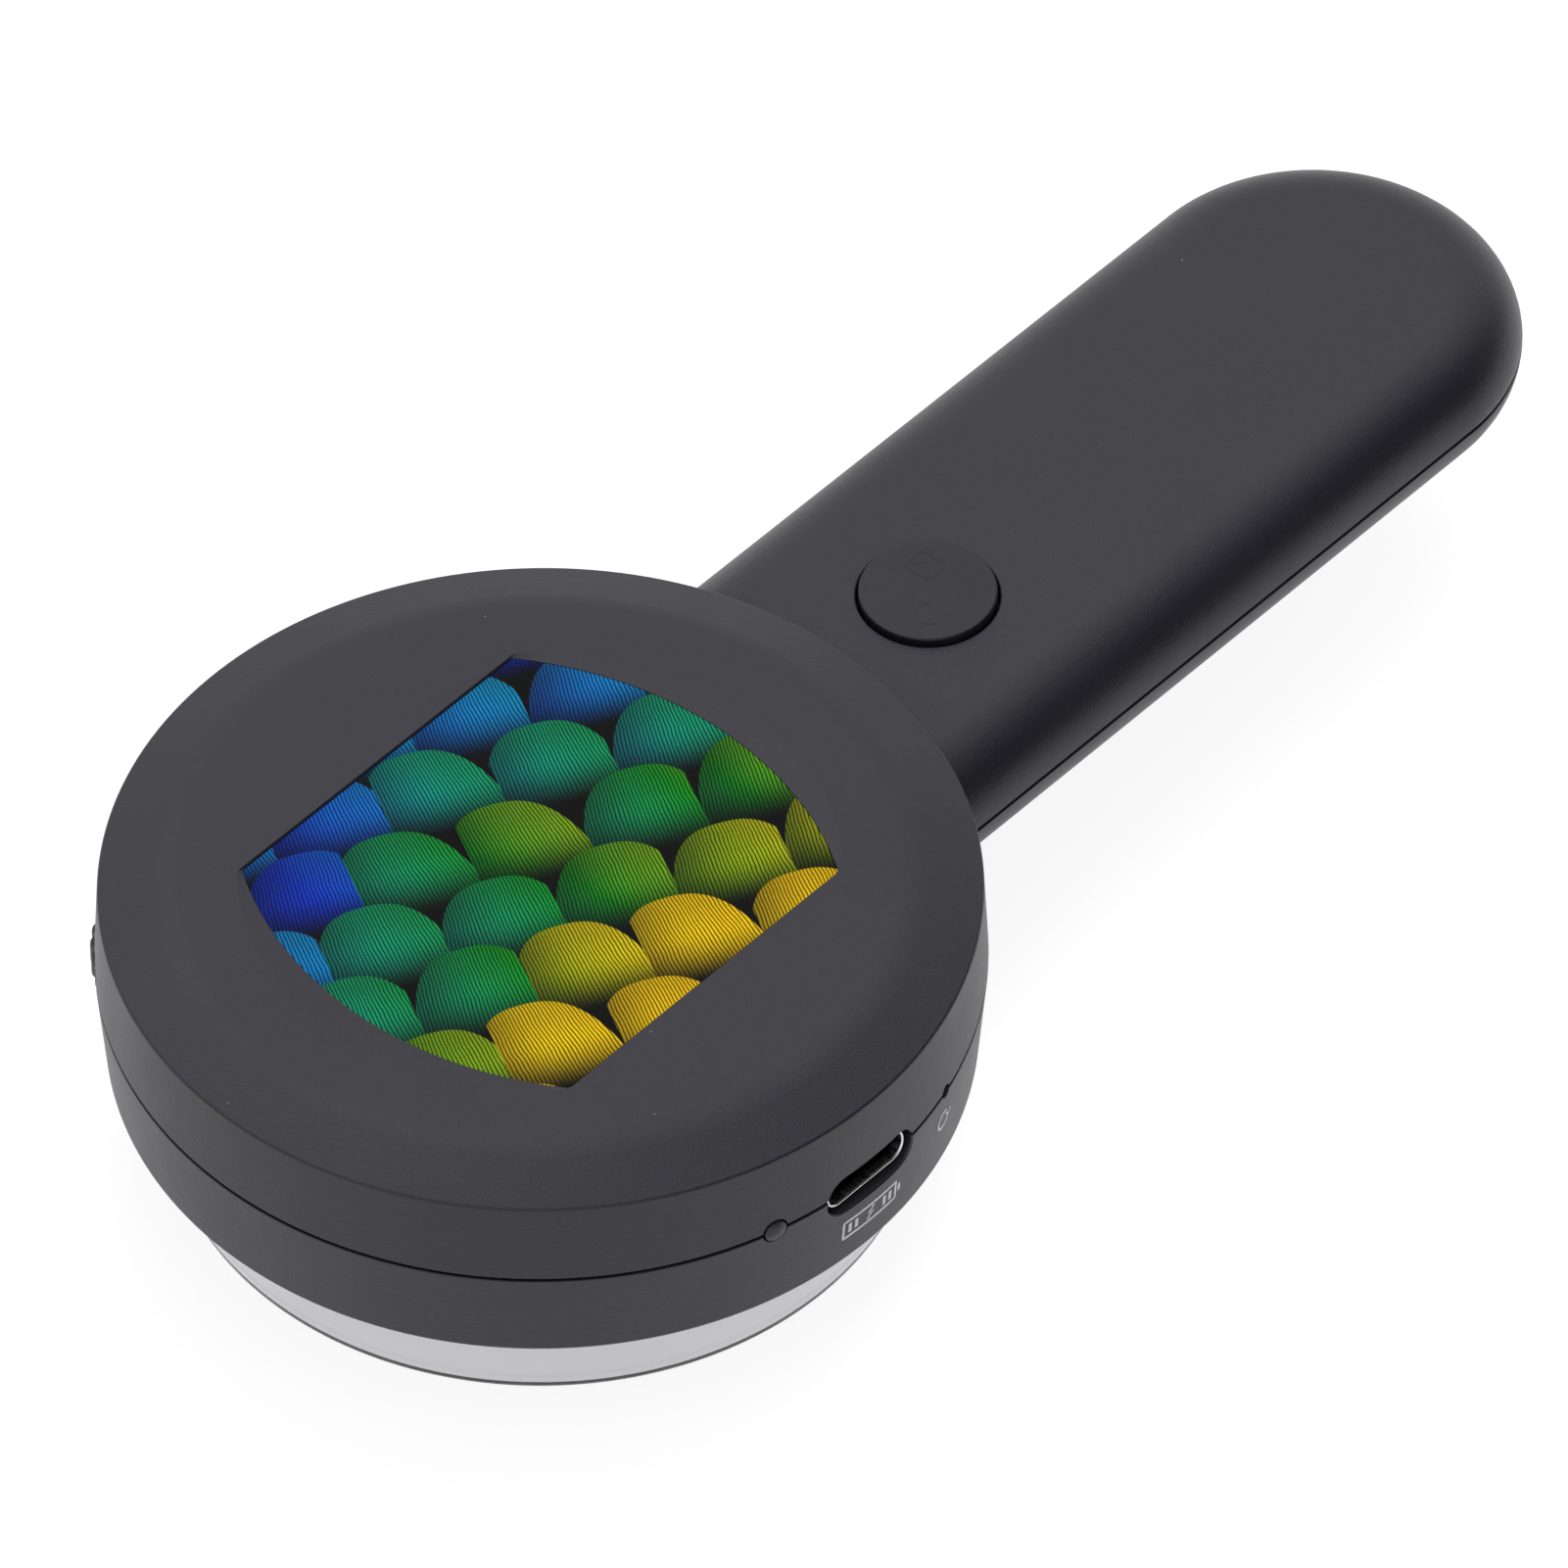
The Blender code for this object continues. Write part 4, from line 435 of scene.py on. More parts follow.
def outward(form):
    bmesh.ops.recalc_face_normals(form, faces=form.faces)
    return form


def moved(form, x, y=0):
    bmesh.ops.translate(form, vec=(x, y, 0), verts=form.verts)
    return form


def turned_over(form):
    """The form upside down, turned half round about X."""
    turn = Matrix.Rotation(math.pi, 3, "X")
    bmesh.ops.rotate(form, cent=(0, 0, 0), matrix=turn, verts=form.verts)
    return form


def laid_along_x(form):
    """A form drawn in X and Y and raised along Z, laid so that its outline is in Y and Z, along X."""
    axes = Matrix(((0, 0, 1), (1, 0, 0), (0, 1, 0)))
    bmesh.ops.transform(form, matrix=axes.to_4x4(), verts=form.verts)
    return outward(form)


def together(*forms):
    """Several separate forms in one."""
    whole = forms[0]
    for form in forms[1:]:
        mesh = bpy.data.meshes.new("part of a form")
        form.to_mesh(mesh)
        whole.from_mesh(mesh)
        bpy.data.meshes.remove(mesh)
        form.free()
    return whole


def wall_radius(height):
    """The head's radius at a height, between its base, its seam and its rim."""
    if height < SEAM_HEIGHT:
        share = (height - BASE_HEIGHT) / (SEAM_HEIGHT - BASE_HEIGHT)
        return between(BASE_RADIUS, HEAD_RADIUS, share)
    share = (height - SEAM_HEIGHT) / (HEAD_HEIGHT - RIM_DROP - SEAM_HEIGHT)
    return between(HEAD_RADIUS, RIM_RADIUS, share)


def head_wall(y, height):
    """How far out the head's wall is, beside the X axis and at a height."""
    return math.sqrt(wall_radius(height) ** 2 - y**2)


def handle_end_wall(y, height):
    """How far out the handle's rolled end is, from the centre of its round end."""
    rise = max(-1, min(1, (height - SEAM_HEIGHT) / HANDLE_RISE))
    radius = HANDLE_HALF_WIDTH - TOP_ROLL * (1 - math.sqrt(1 - rise**2))
    return math.sqrt(radius**2 - y**2)


def through_wall(outline_at, wall, middle, depth, flare):
    """A cutter that goes into a curved wall to a depth, with a rounded mouth."""
    form = bmesh.new()
    rounding = arc((flare, -flare), flare, math.pi, WALL_MOUTH_END, CORNER_STEPS)
    path = [(0, -depth), *rounding, (rounding[-1][0], OVERRUN)]
    levels = []
    for widened, out in path:
        ring = []
        for y, z in outline_at(widened):
            ring.append(form.verts.new((wall(y, middle + z) + out, y, middle + z)))
        levels.append(ring)
    return skinned(form, levels)


# Objects


def clear_defaults():
    for thing in [thing for thing in bpy.data.objects if thing.type in ("CAMERA", "LIGHT")]:
        bpy.data.objects.remove(thing)


def piece(name, form, at=(0, 0, 0), angle=0):
    """An object with this form, placed from the head's axis."""
    bmesh.ops.scale(form, vec=(MM, MM, MM), verts=form.verts)
    mesh = bpy.data.meshes.new(name)
    form.to_mesh(mesh)
    form.free()
    thing = bpy.data.objects.new(name, mesh)
    bpy.context.scene.collection.objects.link(thing)
    thing.location = Vector((at[0], at[1] + HEAD_Y, at[2])) * MM
    thing.rotation_euler = (0, 0, math.radians(angle))
    return thing


def combine(thing, tools, operation):
    for tool in tools:
        step = thing.modifiers.new(tool.name, "BOOLEAN")
        step.operation = operation
        step.object = tool
        step.solver = "EXACT"


def cut(thing, *tools):
    combine(thing, tools, "DIFFERENCE")


def join(thing, *others):
    combine(thing, others, "UNION")


def finished(thing, sharp=SHARP_ANGLE):
    """Settles the cuts and joins into the mesh, and shades it smooth between its sharp edges."""
    bpy.context.view_layer.update()
    view = bpy.context.evaluated_depsgraph_get()
    solid = bpy.data.meshes.new_from_object(thing.evaluated_get(view))
    thing.modifiers.clear()
    thing.data = solid
    close_slivers(solid)
    solid.shade_smooth()
    solid.set_sharp_from_angle(angle=sharp)
    weighted = thing.modifiers.new("even shading", "WEIGHTED_NORMAL")
    weighted.keep_sharp = True
    return thing


def close_slivers(mesh):
    """Welds the needle-thin faces that a cut along a curved wall leaves, and closes their gaps."""
    form = bmesh.new()
    form.from_mesh(mesh)
    bmesh.ops.remove_doubles(form, verts=form.verts, dist=WELD_DISTANCE * MM)
    bmesh.ops.dissolve_degenerate(form, edges=form.edges, dist=WELD_DISTANCE * MM)
    bmesh.ops.holes_fill(form, edges=[edge for edge in form.edges if edge.is_boundary])
    form.to_mesh(mesh)
    form.free()


def drop_cutters(shown):
    """Removes every object that only cut or joined."""
    for thing in list(bpy.context.scene.objects):
        if thing.type == "MESH" and thing not in shown and "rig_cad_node" not in thing:
            bpy.data.objects.remove(thing)


# Pieces whose finish is a variant of their slot's
OWN_FINISHES = {
    "button_cap_fine": "button_plastic",
    "button_marks": "button_plastic",
    "usb_port_shell_fine": "sleeve_steel",
}


def coat(thing, finish):
    thing.data.materials.clear()
    thing.data.materials.append(finishes[finish])


def stand_in(thing, body, slot, *nodes):
    """The piece rides on its body, takes its own or its slot's finish and stands for its CAD nodes."""
    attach(thing, body)
    if nodes:
        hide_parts(*nodes)
    coat(thing, OWN_FINISHES.get(thing.name, slot))


# Shells


def handle_outline(inset):
    """The handle's plan, drawn in by inset, with its neck fillets and its round end."""
    fillet_x = HANDLE_HALF_WIDTH + NECK_FILLET
    fillet_y = math.sqrt((HEAD_RADIUS + NECK_FILLET) ** 2 - fillet_x**2)
    spread = math.atan2(fillet_y, fillet_x)
    neck = arc((fillet_x, fillet_y), NECK_FILLET + inset, math.pi + spread, math.pi, NECK_STEPS)
    root = (neck[0][0] * NECK_ROOT_SHARE, neck[0][1] * NECK_ROOT_SHARE)
    right = [root, *neck]
    end = arc((0, HANDLE_REACH), HANDLE_HALF_WIDTH - inset, 0, math.pi, END_STEPS)
    left = [(-x, y) for x, y in reversed(right)]
    return right + end + left


def roll(width, rise, low_angle=0.0):
    """How a handle's side rolls in: (inset, height above the seam) points, from the seam outwards."""
    points = []
    for step in range(ROLL_STEPS + 1):
        angle = low_angle + (math.pi / 2 - low_angle) * step / ROLL_STEPS
        points.append((width * (1 - math.cos(angle)), rise * math.sin(angle)))
    return points


def half_handle(width, rise):
    """Half of the handle, from the seam's rounded edge to its flat side, up or down as rise is signed."""
    direction = math.copysign(1, rise)
    start = SEAM_HEIGHT + direction * SEAM_GAP / 2
    low_angle = math.asin((SEAM_GAP / 2 + SEAM_EDGE) / abs(rise))
    path = []
    for step in range(SEAM_EDGE_STEPS + 1):
        angle = math.pi / 2 * step / SEAM_EDGE_STEPS
        lift = SEAM_EDGE * (1 - math.cos(angle))
        path.append((SEAM_EDGE * (1 - math.sin(angle)), start + direction * lift))
    for inset, height in roll(width, rise, low_angle)[1:]:
        path.append((inset, SEAM_HEIGHT + height))
    return lofted(handle_outline, path)


def whole_handle(inset, bottom, top):
    """The handle's form between two heights, for the hollow."""
    under = [(inset + x, SEAM_HEIGHT + z) for x, z in roll(BOTTOM_ROLL, bottom - SEAM_HEIGHT)[1:]]
    over = [(inset + x, SEAM_HEIGHT + z) for x, z in roll(TOP_ROLL, top - SEAM_HEIGHT)]
    return lofted(handle_outline, under[::-1] + over)


def upper_head():
    """The head above the seam: a flat face, a soft crease, a sloped ring, a rounded rim and the wall."""
    seam = SEAM_HEIGHT + SEAM_GAP / 2
    corners = [
        (0, HEAD_HEIGHT, 0),
        (FACE_RADIUS, HEAD_HEIGHT, FACE_SOFTNESS),
        (RIM_RADIUS, HEAD_HEIGHT - RIM_DROP, RIM_ROUND),
        (wall_radius(seam), seam, SEAM_EDGE),
        (0, seam, 0),
    ]
    return turned(softened(corners))


def lower_head():
    """The head below the seam: a wall that narrows to a rounded edge, and the flat base."""
    seam = SEAM_HEIGHT - SEAM_GAP / 2
    corners = [
        (0, seam, 0),
        (wall_radius(seam), seam, SEAM_EDGE),
        (BASE_RADIUS, BASE_HEIGHT, BASE_ROUND),
        (0, BASE_HEIGHT, 0),
    ]
    return turned(softened(corners))


def shell_hollow():
    """The room inside head and handle."""
    under = HEAD_HEIGHT - FACE_WALL
    profile = [
        (0, under),
        (FACE_RADIUS, under),
        (RIM_RADIUS - WALL, HEAD_HEIGHT - RIM_DROP - WALL),
        (HEAD_RADIUS - WALL, SEAM_HEIGHT),
        (BASE_RADIUS - WALL, BASE_HEIGHT + FLOOR),
        (0, BASE_HEIGHT + FLOOR),
    ]
    room = piece("head room", turned(profile, RING_STEPS))
    handle = whole_handle(WALL, HANDLE_BOTTOM + WALL, HANDLE_TOP - WALL)
    join(room, piece("handle room", handle))
    return room


def plan_form(name, inset, low, high):
    """The plan of head and handle together, drawn in by inset, as a straight form between two heights."""
    handle = handle_outline(inset)[1:-1]
    spread = math.atan2(handle[0][1], handle[0][0])
    head = arc((0, 0), HEAD_RADIUS - inset, math.pi - spread, 2 * math.pi + spread, HEAD_STEPS)
    return piece(name, prism(handle + head[1:-1], low, high))


def window_outline(share, inset=0.0):
    """The window's edge with round corners: the screen's opening at share 0, the recess's rim at 1."""
    half_width = WINDOW_HALF_WIDTH + SIDE_GAP * share
    low_corner = math.sqrt((RECESS_RADIUS - WINDOW_CORNER_INSET) ** 2 - WINDOW_HALF_WIDTH**2)
    high_corner = math.sqrt(RECESS_RADIUS**2 - half_width**2)
    corner = between(low_corner, high_corner, share)
    reach = between(WINDOW_REACH, RECESS_RADIUS, share)
    radius = (half_width**2 + (reach - corner) ** 2) / (2 * (reach - corner))
    centre = reach - radius
    inner = half_width - WINDOW_CORNER
    corner_y = centre + math.sqrt((radius - WINDOW_CORNER) ** 2 - inner**2)
    turn = math.atan2(corner_y - centre, inner)
    far = arc((inner, corner_y), WINDOW_CORNER - inset, 0, turn, CORNER_STEPS)
    far += arc((0, centre), radius - inset, turn, math.pi - turn, WINDOW_STEPS)[1:-1]
    far += arc((-inner, corner_y), WINDOW_CORNER - inset, math.pi - turn, math.pi, CORNER_STEPS)
    return far + [(-x, -y) for x, y in far]


def window_cutter():
    """The window's opening: straight up to the film, then sloped out until it melts into the face."""
    slope = HEAD_HEIGHT - FILM_TOP
    path = [(0, COVER_BOTTOM - OVERRUN), (0, FILM_TOP)]
    path += [(share, FILM_TOP + slope * share) for share in WINDOW_SLOPE_SHARES]
    path += [(share, HEAD_HEIGHT + slope * rise) for share, rise in WINDOW_MELT_SHARES]
    path.append((path[-1][0], HEAD_HEIGHT + OVERRUN))
    return piece("window opening", lofted(window_outline, path))


def port_outline(widened):
    width = PORT_WIDTH + 2 * (PORT_CLEARANCE + widened)
    height = PORT_TALL + 2 * (PORT_CLEARANCE + widened)
    return rounded_rectangle(width, height, height / 2 - SIDE_GAP)


def side_openings():
    """What opens the wall of both shells: the port, the light, the reset hole and the wheel's slot."""
    depth = WALL + OVERRUN
    port = through_wall(port_outline, head_wall, PORT_HEIGHT, depth, PORT_FLARE)
    light = through_wall(
        lambda widened: circle(LIGHT_RADIUS + SIDE_GAP + widened), head_wall, SEAM_HEIGHT, depth, SEAM_EDGE
    )
    reset = through_wall(
        lambda widened: circle(RESET_RADIUS + widened), head_wall, SEAM_HEIGHT, depth, SEAM_EDGE
    )
    low = WHEEL_TOP - WHEEL_THICKNESS - WHEEL_SLOT_GAP
    slot = column(
        WHEEL_RADIUS + WHEEL_SLOT_GAP, low, WHEEL_TOP + WHEEL_SLOT_GAP,
        *on_circle(WHEEL_ORBIT, WHEEL_ANGLE), RING_STEPS
    )
    return [
        piece("port opening", port),
        piece("light hole", light, angle=LIGHT_ANGLE),
        piece("reset hole", reset, angle=RESET_ANGLE),
        piece("wheel slot", slot),
    ]


def lanyard_block(clearance):
    """The solid behind the lanyard's slot."""
    inset = HANDLE_HALF_WIDTH - LANYARD_BLOCK_RADIUS - LIP_SKIN
    low = SEAM_HEIGHT - LANYARD_BLOCK_DROP
    form = column(LANYARD_BLOCK_RADIUS + clearance, low, HANDLE_TOP - WALL / 2, inset)
    return piece("lanyard block", form, (0, HANDLE_REACH, 0), LANYARD_ANGLE)


def lanyard_slot():
    """The oval blind slot that a cord goes into and out of, round the pin."""
    height = LANYARD_HIGH - LANYARD_LOW
    middle = (LANYARD_LOW + LANYARD_HIGH) / 2

    def outline(widened):
        tall = height + 2 * widened
        return rounded_rectangle(LANYARD_WIDTH + 2 * widened, tall, tall / 2 - SIDE_GAP)

    form = through_wall(outline, handle_end_wall, middle, LANYARD_DEPTH, PORT_FLARE)
    return piece("lanyard slot", form, (0, HANDLE_REACH, 0), LANYARD_ANGLE)


def flared_hole(radius, low, top, rounding):
    """A round cutter whose mouth at the height top is rounded."""
    mouth = arc((radius + rounding, top - rounding), rounding, math.pi, FLAT_MOUTH_END, CORNER_STEPS)
    profile = [(0, low), (radius, low), *mouth, (mouth[-1][0], top + OVERRUN), (0, top + OVERRUN)]
    return turned(profile, RING_STEPS)


def make_upper_shell(openings):
    """The top half of head and handle, with the window, the button's hole and the bosses inside."""
    shell = piece("upper_shell_fine", upper_head())
    cut(shell, window_cutter())
    join(shell, piece("upper handle", half_handle(TOP_ROLL, HANDLE_RISE)))
    cut(shell, shell_hollow())
    seam = SEAM_HEIGHT + SEAM_GAP / 2
    roof = HANDLE_TOP - WALL / 2
    bosses = [column(POST_RADIUS, seam, roof, *spot) for spot in SCREW_PLACES]
    end_block = lanyard_block(0)
    under_roll = whole_handle(LIP_SKIN, HANDLE_BOTTOM, HANDLE_TOP - LIP_SKIN)
    combine(end_block, [piece("handle under its skin", under_roll)], "INTERSECT")
    room = piece("below the seam", block(
        (-HEAD_RADIUS - OVERRUN, -HEAD_RADIUS - OVERRUN, seam - 2 * OVERRUN),
        (HEAD_RADIUS + OVERRUN, HANDLE_REACH + HEAD_RADIUS, seam),
    ))
    cut(end_block, room)
    thread = SCREW_SHANK_RADIUS + THREAD_GAP
    tip = SCREW_LOW + SCREW_HEAD_HEIGHT + SCREW_LENGTH + THREAD_GAP
    holes = [column(thread, SEAM_HEIGHT - OVERRUN, tip, *spot) for spot in SCREW_PLACES]
    bored = piece("bosses", together(*bosses))
    cut(bored, piece("boss holes", together(*holes)))
    join(shell, bored, end_block)
    lip_room = SEAM_HEIGHT + LIP_RISE + SEAT_GAP
    rebate = plan_form("lip rebate", LIP_SKIN - SIDE_GAP, SEAM_HEIGHT - OVERRUN, lip_room)
    around = POST_RADIUS + SIDE_GAP
    low = SEAM_HEIGHT - 2 * OVERRUN
    keep = [column(around, low, lip_room + OVERRUN, *spot) for spot in SCREW_PLACES]
    cut(rebate, piece("round the bosses", together(*keep)), lanyard_block(0))
    button = flared_hole(BUTTON_RADIUS + SLIDE_GAP, SEAM_HEIGHT, HANDLE_TOP, HOLE_ROUND)
    cut(shell, rebate, lanyard_slot())
    cut(shell, piece("button hole", button, (0, BUTTON_REACH, 0)), pin_hole(), *openings)
    return finished(shell)


def pin_place():
    """Where the lanyard pin stands, from the head's axis."""
    x, y = on_circle(HANDLE_HALF_WIDTH - LANYARD_PIN_INSET, LANYARD_ANGLE)
    return x, HANDLE_REACH + y, 0


def pin_hole():
    low = LANYARD_LOW - LANYARD_PIN_ROOT - THREAD_GAP
    high = LANYARD_HIGH + LANYARD_PIN_ROOT + THREAD_GAP
    return piece("lanyard pin hole", column(LANYARD_PIN_RADIUS + THREAD_GAP, low, high), pin_place())


def lower_posts():
    """The columns that stand on the lower shell's floor."""
    root = BASE_HEIGHT + FLOOR / 2
    posts = []
    for angle in MAIN_POST_ANGLES:
        posts.append(column(POST_RADIUS, root, BOARD_BOTTOM - SEAT_GAP, *on_circle(MAIN_POST_ORBIT, angle)))
    for side in (-1, 1):
        posts.append(column(POST_RADIUS, root, HOLDER_POST_TOP, side * HOLDER_POST_ORBIT))
    pocket_roof = POCKET_CEILING + POCKET_WALL
    posts.append(column(AXLE_BOSS_RADIUS, root, pocket_roof, *on_circle(WHEEL_ORBIT, WHEEL_ANGLE)))
    root = HANDLE_BOTTOM + WALL / 2
    for spot in SCREW_PLACES:
        posts.append(column(POST_RADIUS, root, SEAM_HEIGHT - SEAM_GAP / 2, *spot))
    for side in (-1, 1):
        spot = (side * BUTTON_POST_OFFSET, BUTTON_REACH)
        posts.append(column(SCREW_HEAD_RADIUS, root, BUTTON_POST_TOP, *spot))
    return posts


def lower_holes():
    """The openings of the lower shell: for the ring light, the lens, the hood's tongue and the screws."""
    under = BASE_HEIGHT - OVERRUN
    bore = SPIGOT_RADIUS + SLIDE_GAP
    above = GEAR_BOTTOM + OVERRUN
    pocket = turned([
        (0, under), (POCKET_RADIUS, under), (POCKET_RADIUS, POCKET_CEILING),
        (bore, POCKET_CEILING), (bore, above), (0, above),
    ])
    tongue = HOOD_TOP_RADIUS - HOOD_SHOULDER
    outer = tongue + SIDE_GAP
    inner = tongue - HOOD_TONGUE_WALL - SIDE_GAP
    high = HOOD_HIGH.z + SEAT_GAP
    groove = turned([(outer, under), (outer, high), (inner, high), (inner, under)])
    thread = SCREW_SHANK_RADIUS + THREAD_GAP
    blind = []
    for angle in MAIN_POST_ANGLES:
        spot = on_circle(MAIN_POST_ORBIT, angle)
        blind.append(column(thread, POCKET_CEILING + FLOOR, BOARD_BOTTOM + OVERRUN, *spot))
    for side in (-1, 1):
        blind.append(column(thread, POCKET_CEILING, HOLDER_POST_TOP + OVERRUN, side * HOLDER_POST_ORBIT))
        spot = (side * BUTTON_POST_OFFSET, BUTTON_REACH)
        low = HANDLE_BOTTOM + WALL / 2 - THREAD_GAP
        blind.append(column(thread, low, BUTTON_POST_TOP + OVERRUN, *spot))
    axle = AXLE_RADIUS + THREAD_GAP
    spot = on_circle(WHEEL_ORBIT, WHEEL_ANGLE)
    blind.append(column(axle, BASE_HEIGHT + FLOOR, POCKET_CEILING + POCKET_WALL + OVERRUN, *spot))
    low = HANDLE_BOTTOM - OVERRUN
    shank = thread + THREAD_GAP
    through = [column(shank, low, SEAM_HEIGHT, *spot) for spot in SCREW_PLACES]
    seat = SCREW_LOW + SCREW_HEAD_HEIGHT + SEAT_GAP
    sunk = []
    for x, y in SCREW_PLACES:
        hole = flared_hole(SCREW_HEAD_RADIUS + SIDE_GAP, -seat, -HANDLE_BOTTOM, HOLE_ROUND)
        sunk.append(moved(turned_over(hole), x, y))
    return [
        piece("light pocket and lens bore", pocket),
        piece("hood groove", groove),
        piece("blind holes", together(*blind)),
        piece("through holes", together(*through)),
        piece("sunk heads", together(*sunk)),
    ]


def make_lower_shell(openings):
    """The bottom half of head and handle, with the lip, the ring light's pocket and the posts."""
    shell = piece("lower_shell_fine", lower_head())
    join(shell, piece("lower handle", half_handle(BOTTOM_ROLL, -HANDLE_DROP)))
    lip = plan_form("lip", LIP_SKIN, SEAM_HEIGHT - OVERRUN, SEAM_HEIGHT + LIP_RISE)
    cut(lip, lanyard_block(SIDE_GAP))
    join(shell, lip)
    inside = plan_form("inside the lip", WALL - SIDE_GAP, SEAM_HEIGHT - SEAM_GAP, SEAM_HEIGHT + OVERRUN)
    cut(shell, shell_hollow(), inside, *openings)
    root = BASE_HEIGHT + FLOOR / 2
    pocket = column(POCKET_RADIUS + POCKET_WALL, root, POCKET_CEILING + POCKET_WALL, steps=HEAD_STEPS)
    join(shell, piece("pocket wall", pocket), piece("posts", together(*lower_posts())))
    cut(shell, *lower_holes())
    return finished(shell)


# Screen


def cover_outline(inset):
    """The flange's plan: it laps the window on all sides and ends where the face does."""
    half_width = WINDOW_HALF_WIDTH + COVER_LAP
    half_length = math.sqrt(FACE_RADIUS**2 - half_width**2)
    width = 2 * (half_width - inset)
    return rounded_rectangle(width, 2 * (half_length - inset), COVER_LAP - inset)


def make_cover():
    """The screen's cover: a flange under the face with ground edges, and a middle raised in the window."""
    high = COVER_BOTTOM + COVER_THICKNESS
    path = [
        (COVER_EDGE, COVER_BOTTOM),
        (0, COVER_BOTTOM + COVER_EDGE),
        (0, high - COVER_EDGE),
        (COVER_EDGE, high),
    ]
    cover = piece("display_window_fine", lofted(cover_outline, path))
    raised = prism(window_outline(0, FILM_GAP), high - COVER_THICKNESS / 2, FILM_TOP - FILM_THICKNESS)
    join(cover, piece("raised middle", raised))
    return finished(cover)


def make_film():
    """The lit picture film, laminated to the cover's raised face and rounded at its edge."""
    edge = FILM_THICKNESS / 2
    path = [(0, FILM_TOP - FILM_THICKNESS), (0, FILM_TOP - edge), (edge, FILM_TOP)]
    film = lofted(lambda inset: window_outline(0, FILM_GAP + inset), path)
    return finished(piece("display_film", film))


# Button


def make_button_cap():
    """The round push button: a cap with a flange under the shell and a stem to the switch."""
    flange = BUTTON_RADIUS + BUTTON_FLANGE
    flange_top = BUTTON_BOTTOM + BUTTON_FLANGE_THICKNESS
    under = BUTTON_TOP - BUTTON_WALL
    inside = BUTTON_RADIUS - BUTTON_WALL
    corners = [
        (0, BUTTON_TOP, 0),
        (BUTTON_RADIUS, BUTTON_TOP, BUTTON_ROUND),
        (BUTTON_RADIUS, flange_top, 0),
        (flange, flange_top, COVER_EDGE),
        (flange, BUTTON_BOTTOM, COVER_EDGE),
        (inside, BUTTON_BOTTOM, 0),
        (inside, under, HOLE_ROUND),
        (BUTTON_STEM_RADIUS, under, HOLE_ROUND),
        (BUTTON_STEM_RADIUS, BUTTON_BOTTOM, COVER_EDGE),
        (0, BUTTON_BOTTOM, 0),
    ]
    return finished(piece("button_cap_fine", turned(softened(corners), RING_STEPS), (0, BUTTON_REACH, 0)))


# Marks


def stroke(path, width, place, closed=False, rise=MARK_RISE):
    """A thin raised line along a path of (across, up) points, laid on a surface by place."""
    form = bmesh.new()
    count = len(path)
    rings = []
    for index, point in enumerate(path):
        before = path[index - 1] if closed or index else point
        after = path[(index + 1) % count] if closed or index < count - 1 else point
        along = (Vector(after) - Vector(before)).normalized() * width / 2
        left = (point[0] - along.y, point[1] + along.x)
        right = (point[0] + along.y, point[1] - along.x)
        corners = [(left, -MARK_ROOT), (left, rise), (right, rise), (right, -MARK_ROOT)]
        rings.append([form.verts.new(place(*spot, lift)) for spot, lift in corners])
    return skinned(form, rings, closed)


def straight(start, end):
    """Points along a straight line, close enough together to follow a curved wall."""
    steps = math.ceil(math.dist(start, end) / MARK_POINT_GAP)
    points = []
    for step in range(steps + 1):
        share = step / steps
        points.append((between(start[0], end[0], share), between(start[1], end[1], share)))
    return points


def chain(*corners):
    """Points along straight lines through the corners."""
    points = []
    for start, end in zip(corners, corners[1:]):
        points += straight(start, end)[:-1]
    return [*points, corners[-1]]


def on_head_wall(angle, middle):
    """Lays (across, up) on the head's wall, round the point at an angle and a height."""
    def place(across, up, lift):
        height = middle + up
        radius = wall_radius(height) + lift
        turn = math.radians(angle) + across / wall_radius(height)
        return radius * math.cos(turn), radius * math.sin(turn), height

    return place


def on_button(across, up, lift):
    """Lays (across, up) on the button's top."""
    return across, up, BUTTON_TOP + lift


def make_button_marks():
    """Two faint raised signs on the button: a picture frame, and a ring with a bar."""
    across, up = PICTURE_SIGN_PLACE
    edge = rounded_rectangle(*PICTURE_SIGN_SIZE, PICTURE_SIGN_CORNER, SIGN_CORNER_STEPS)
    picture = [(x + across, y + up) for x, y in edge]
    hill = [(x + across, y + up) for x, y in PICTURE_SIGN_HILL]
    start, end = (math.radians(turn) for turn in POWER_SIGN_TURN)
    ring = arc(POWER_SIGN_PLACE, POWER_SIGN_RADIUS, start, end, POWER_SIGN_STEPS)
    x, y = POWER_SIGN_PLACE
    bar = [(x, y + POWER_SIGN_RADIUS * share) for share in POWER_BAR_SHARES]
    form = together(
        stroke(picture, BUTTON_LINE, on_button, closed=True, rise=FAINT_RISE),
        stroke(hill, BUTTON_LINE, on_button, rise=FAINT_RISE),
        stroke(ring, BUTTON_LINE, on_button, rise=FAINT_RISE),
        stroke(bar, BUTTON_LINE, on_button, rise=FAINT_RISE),
    )
    return finished(piece("button_marks", form, (0, BUTTON_REACH, 0)))


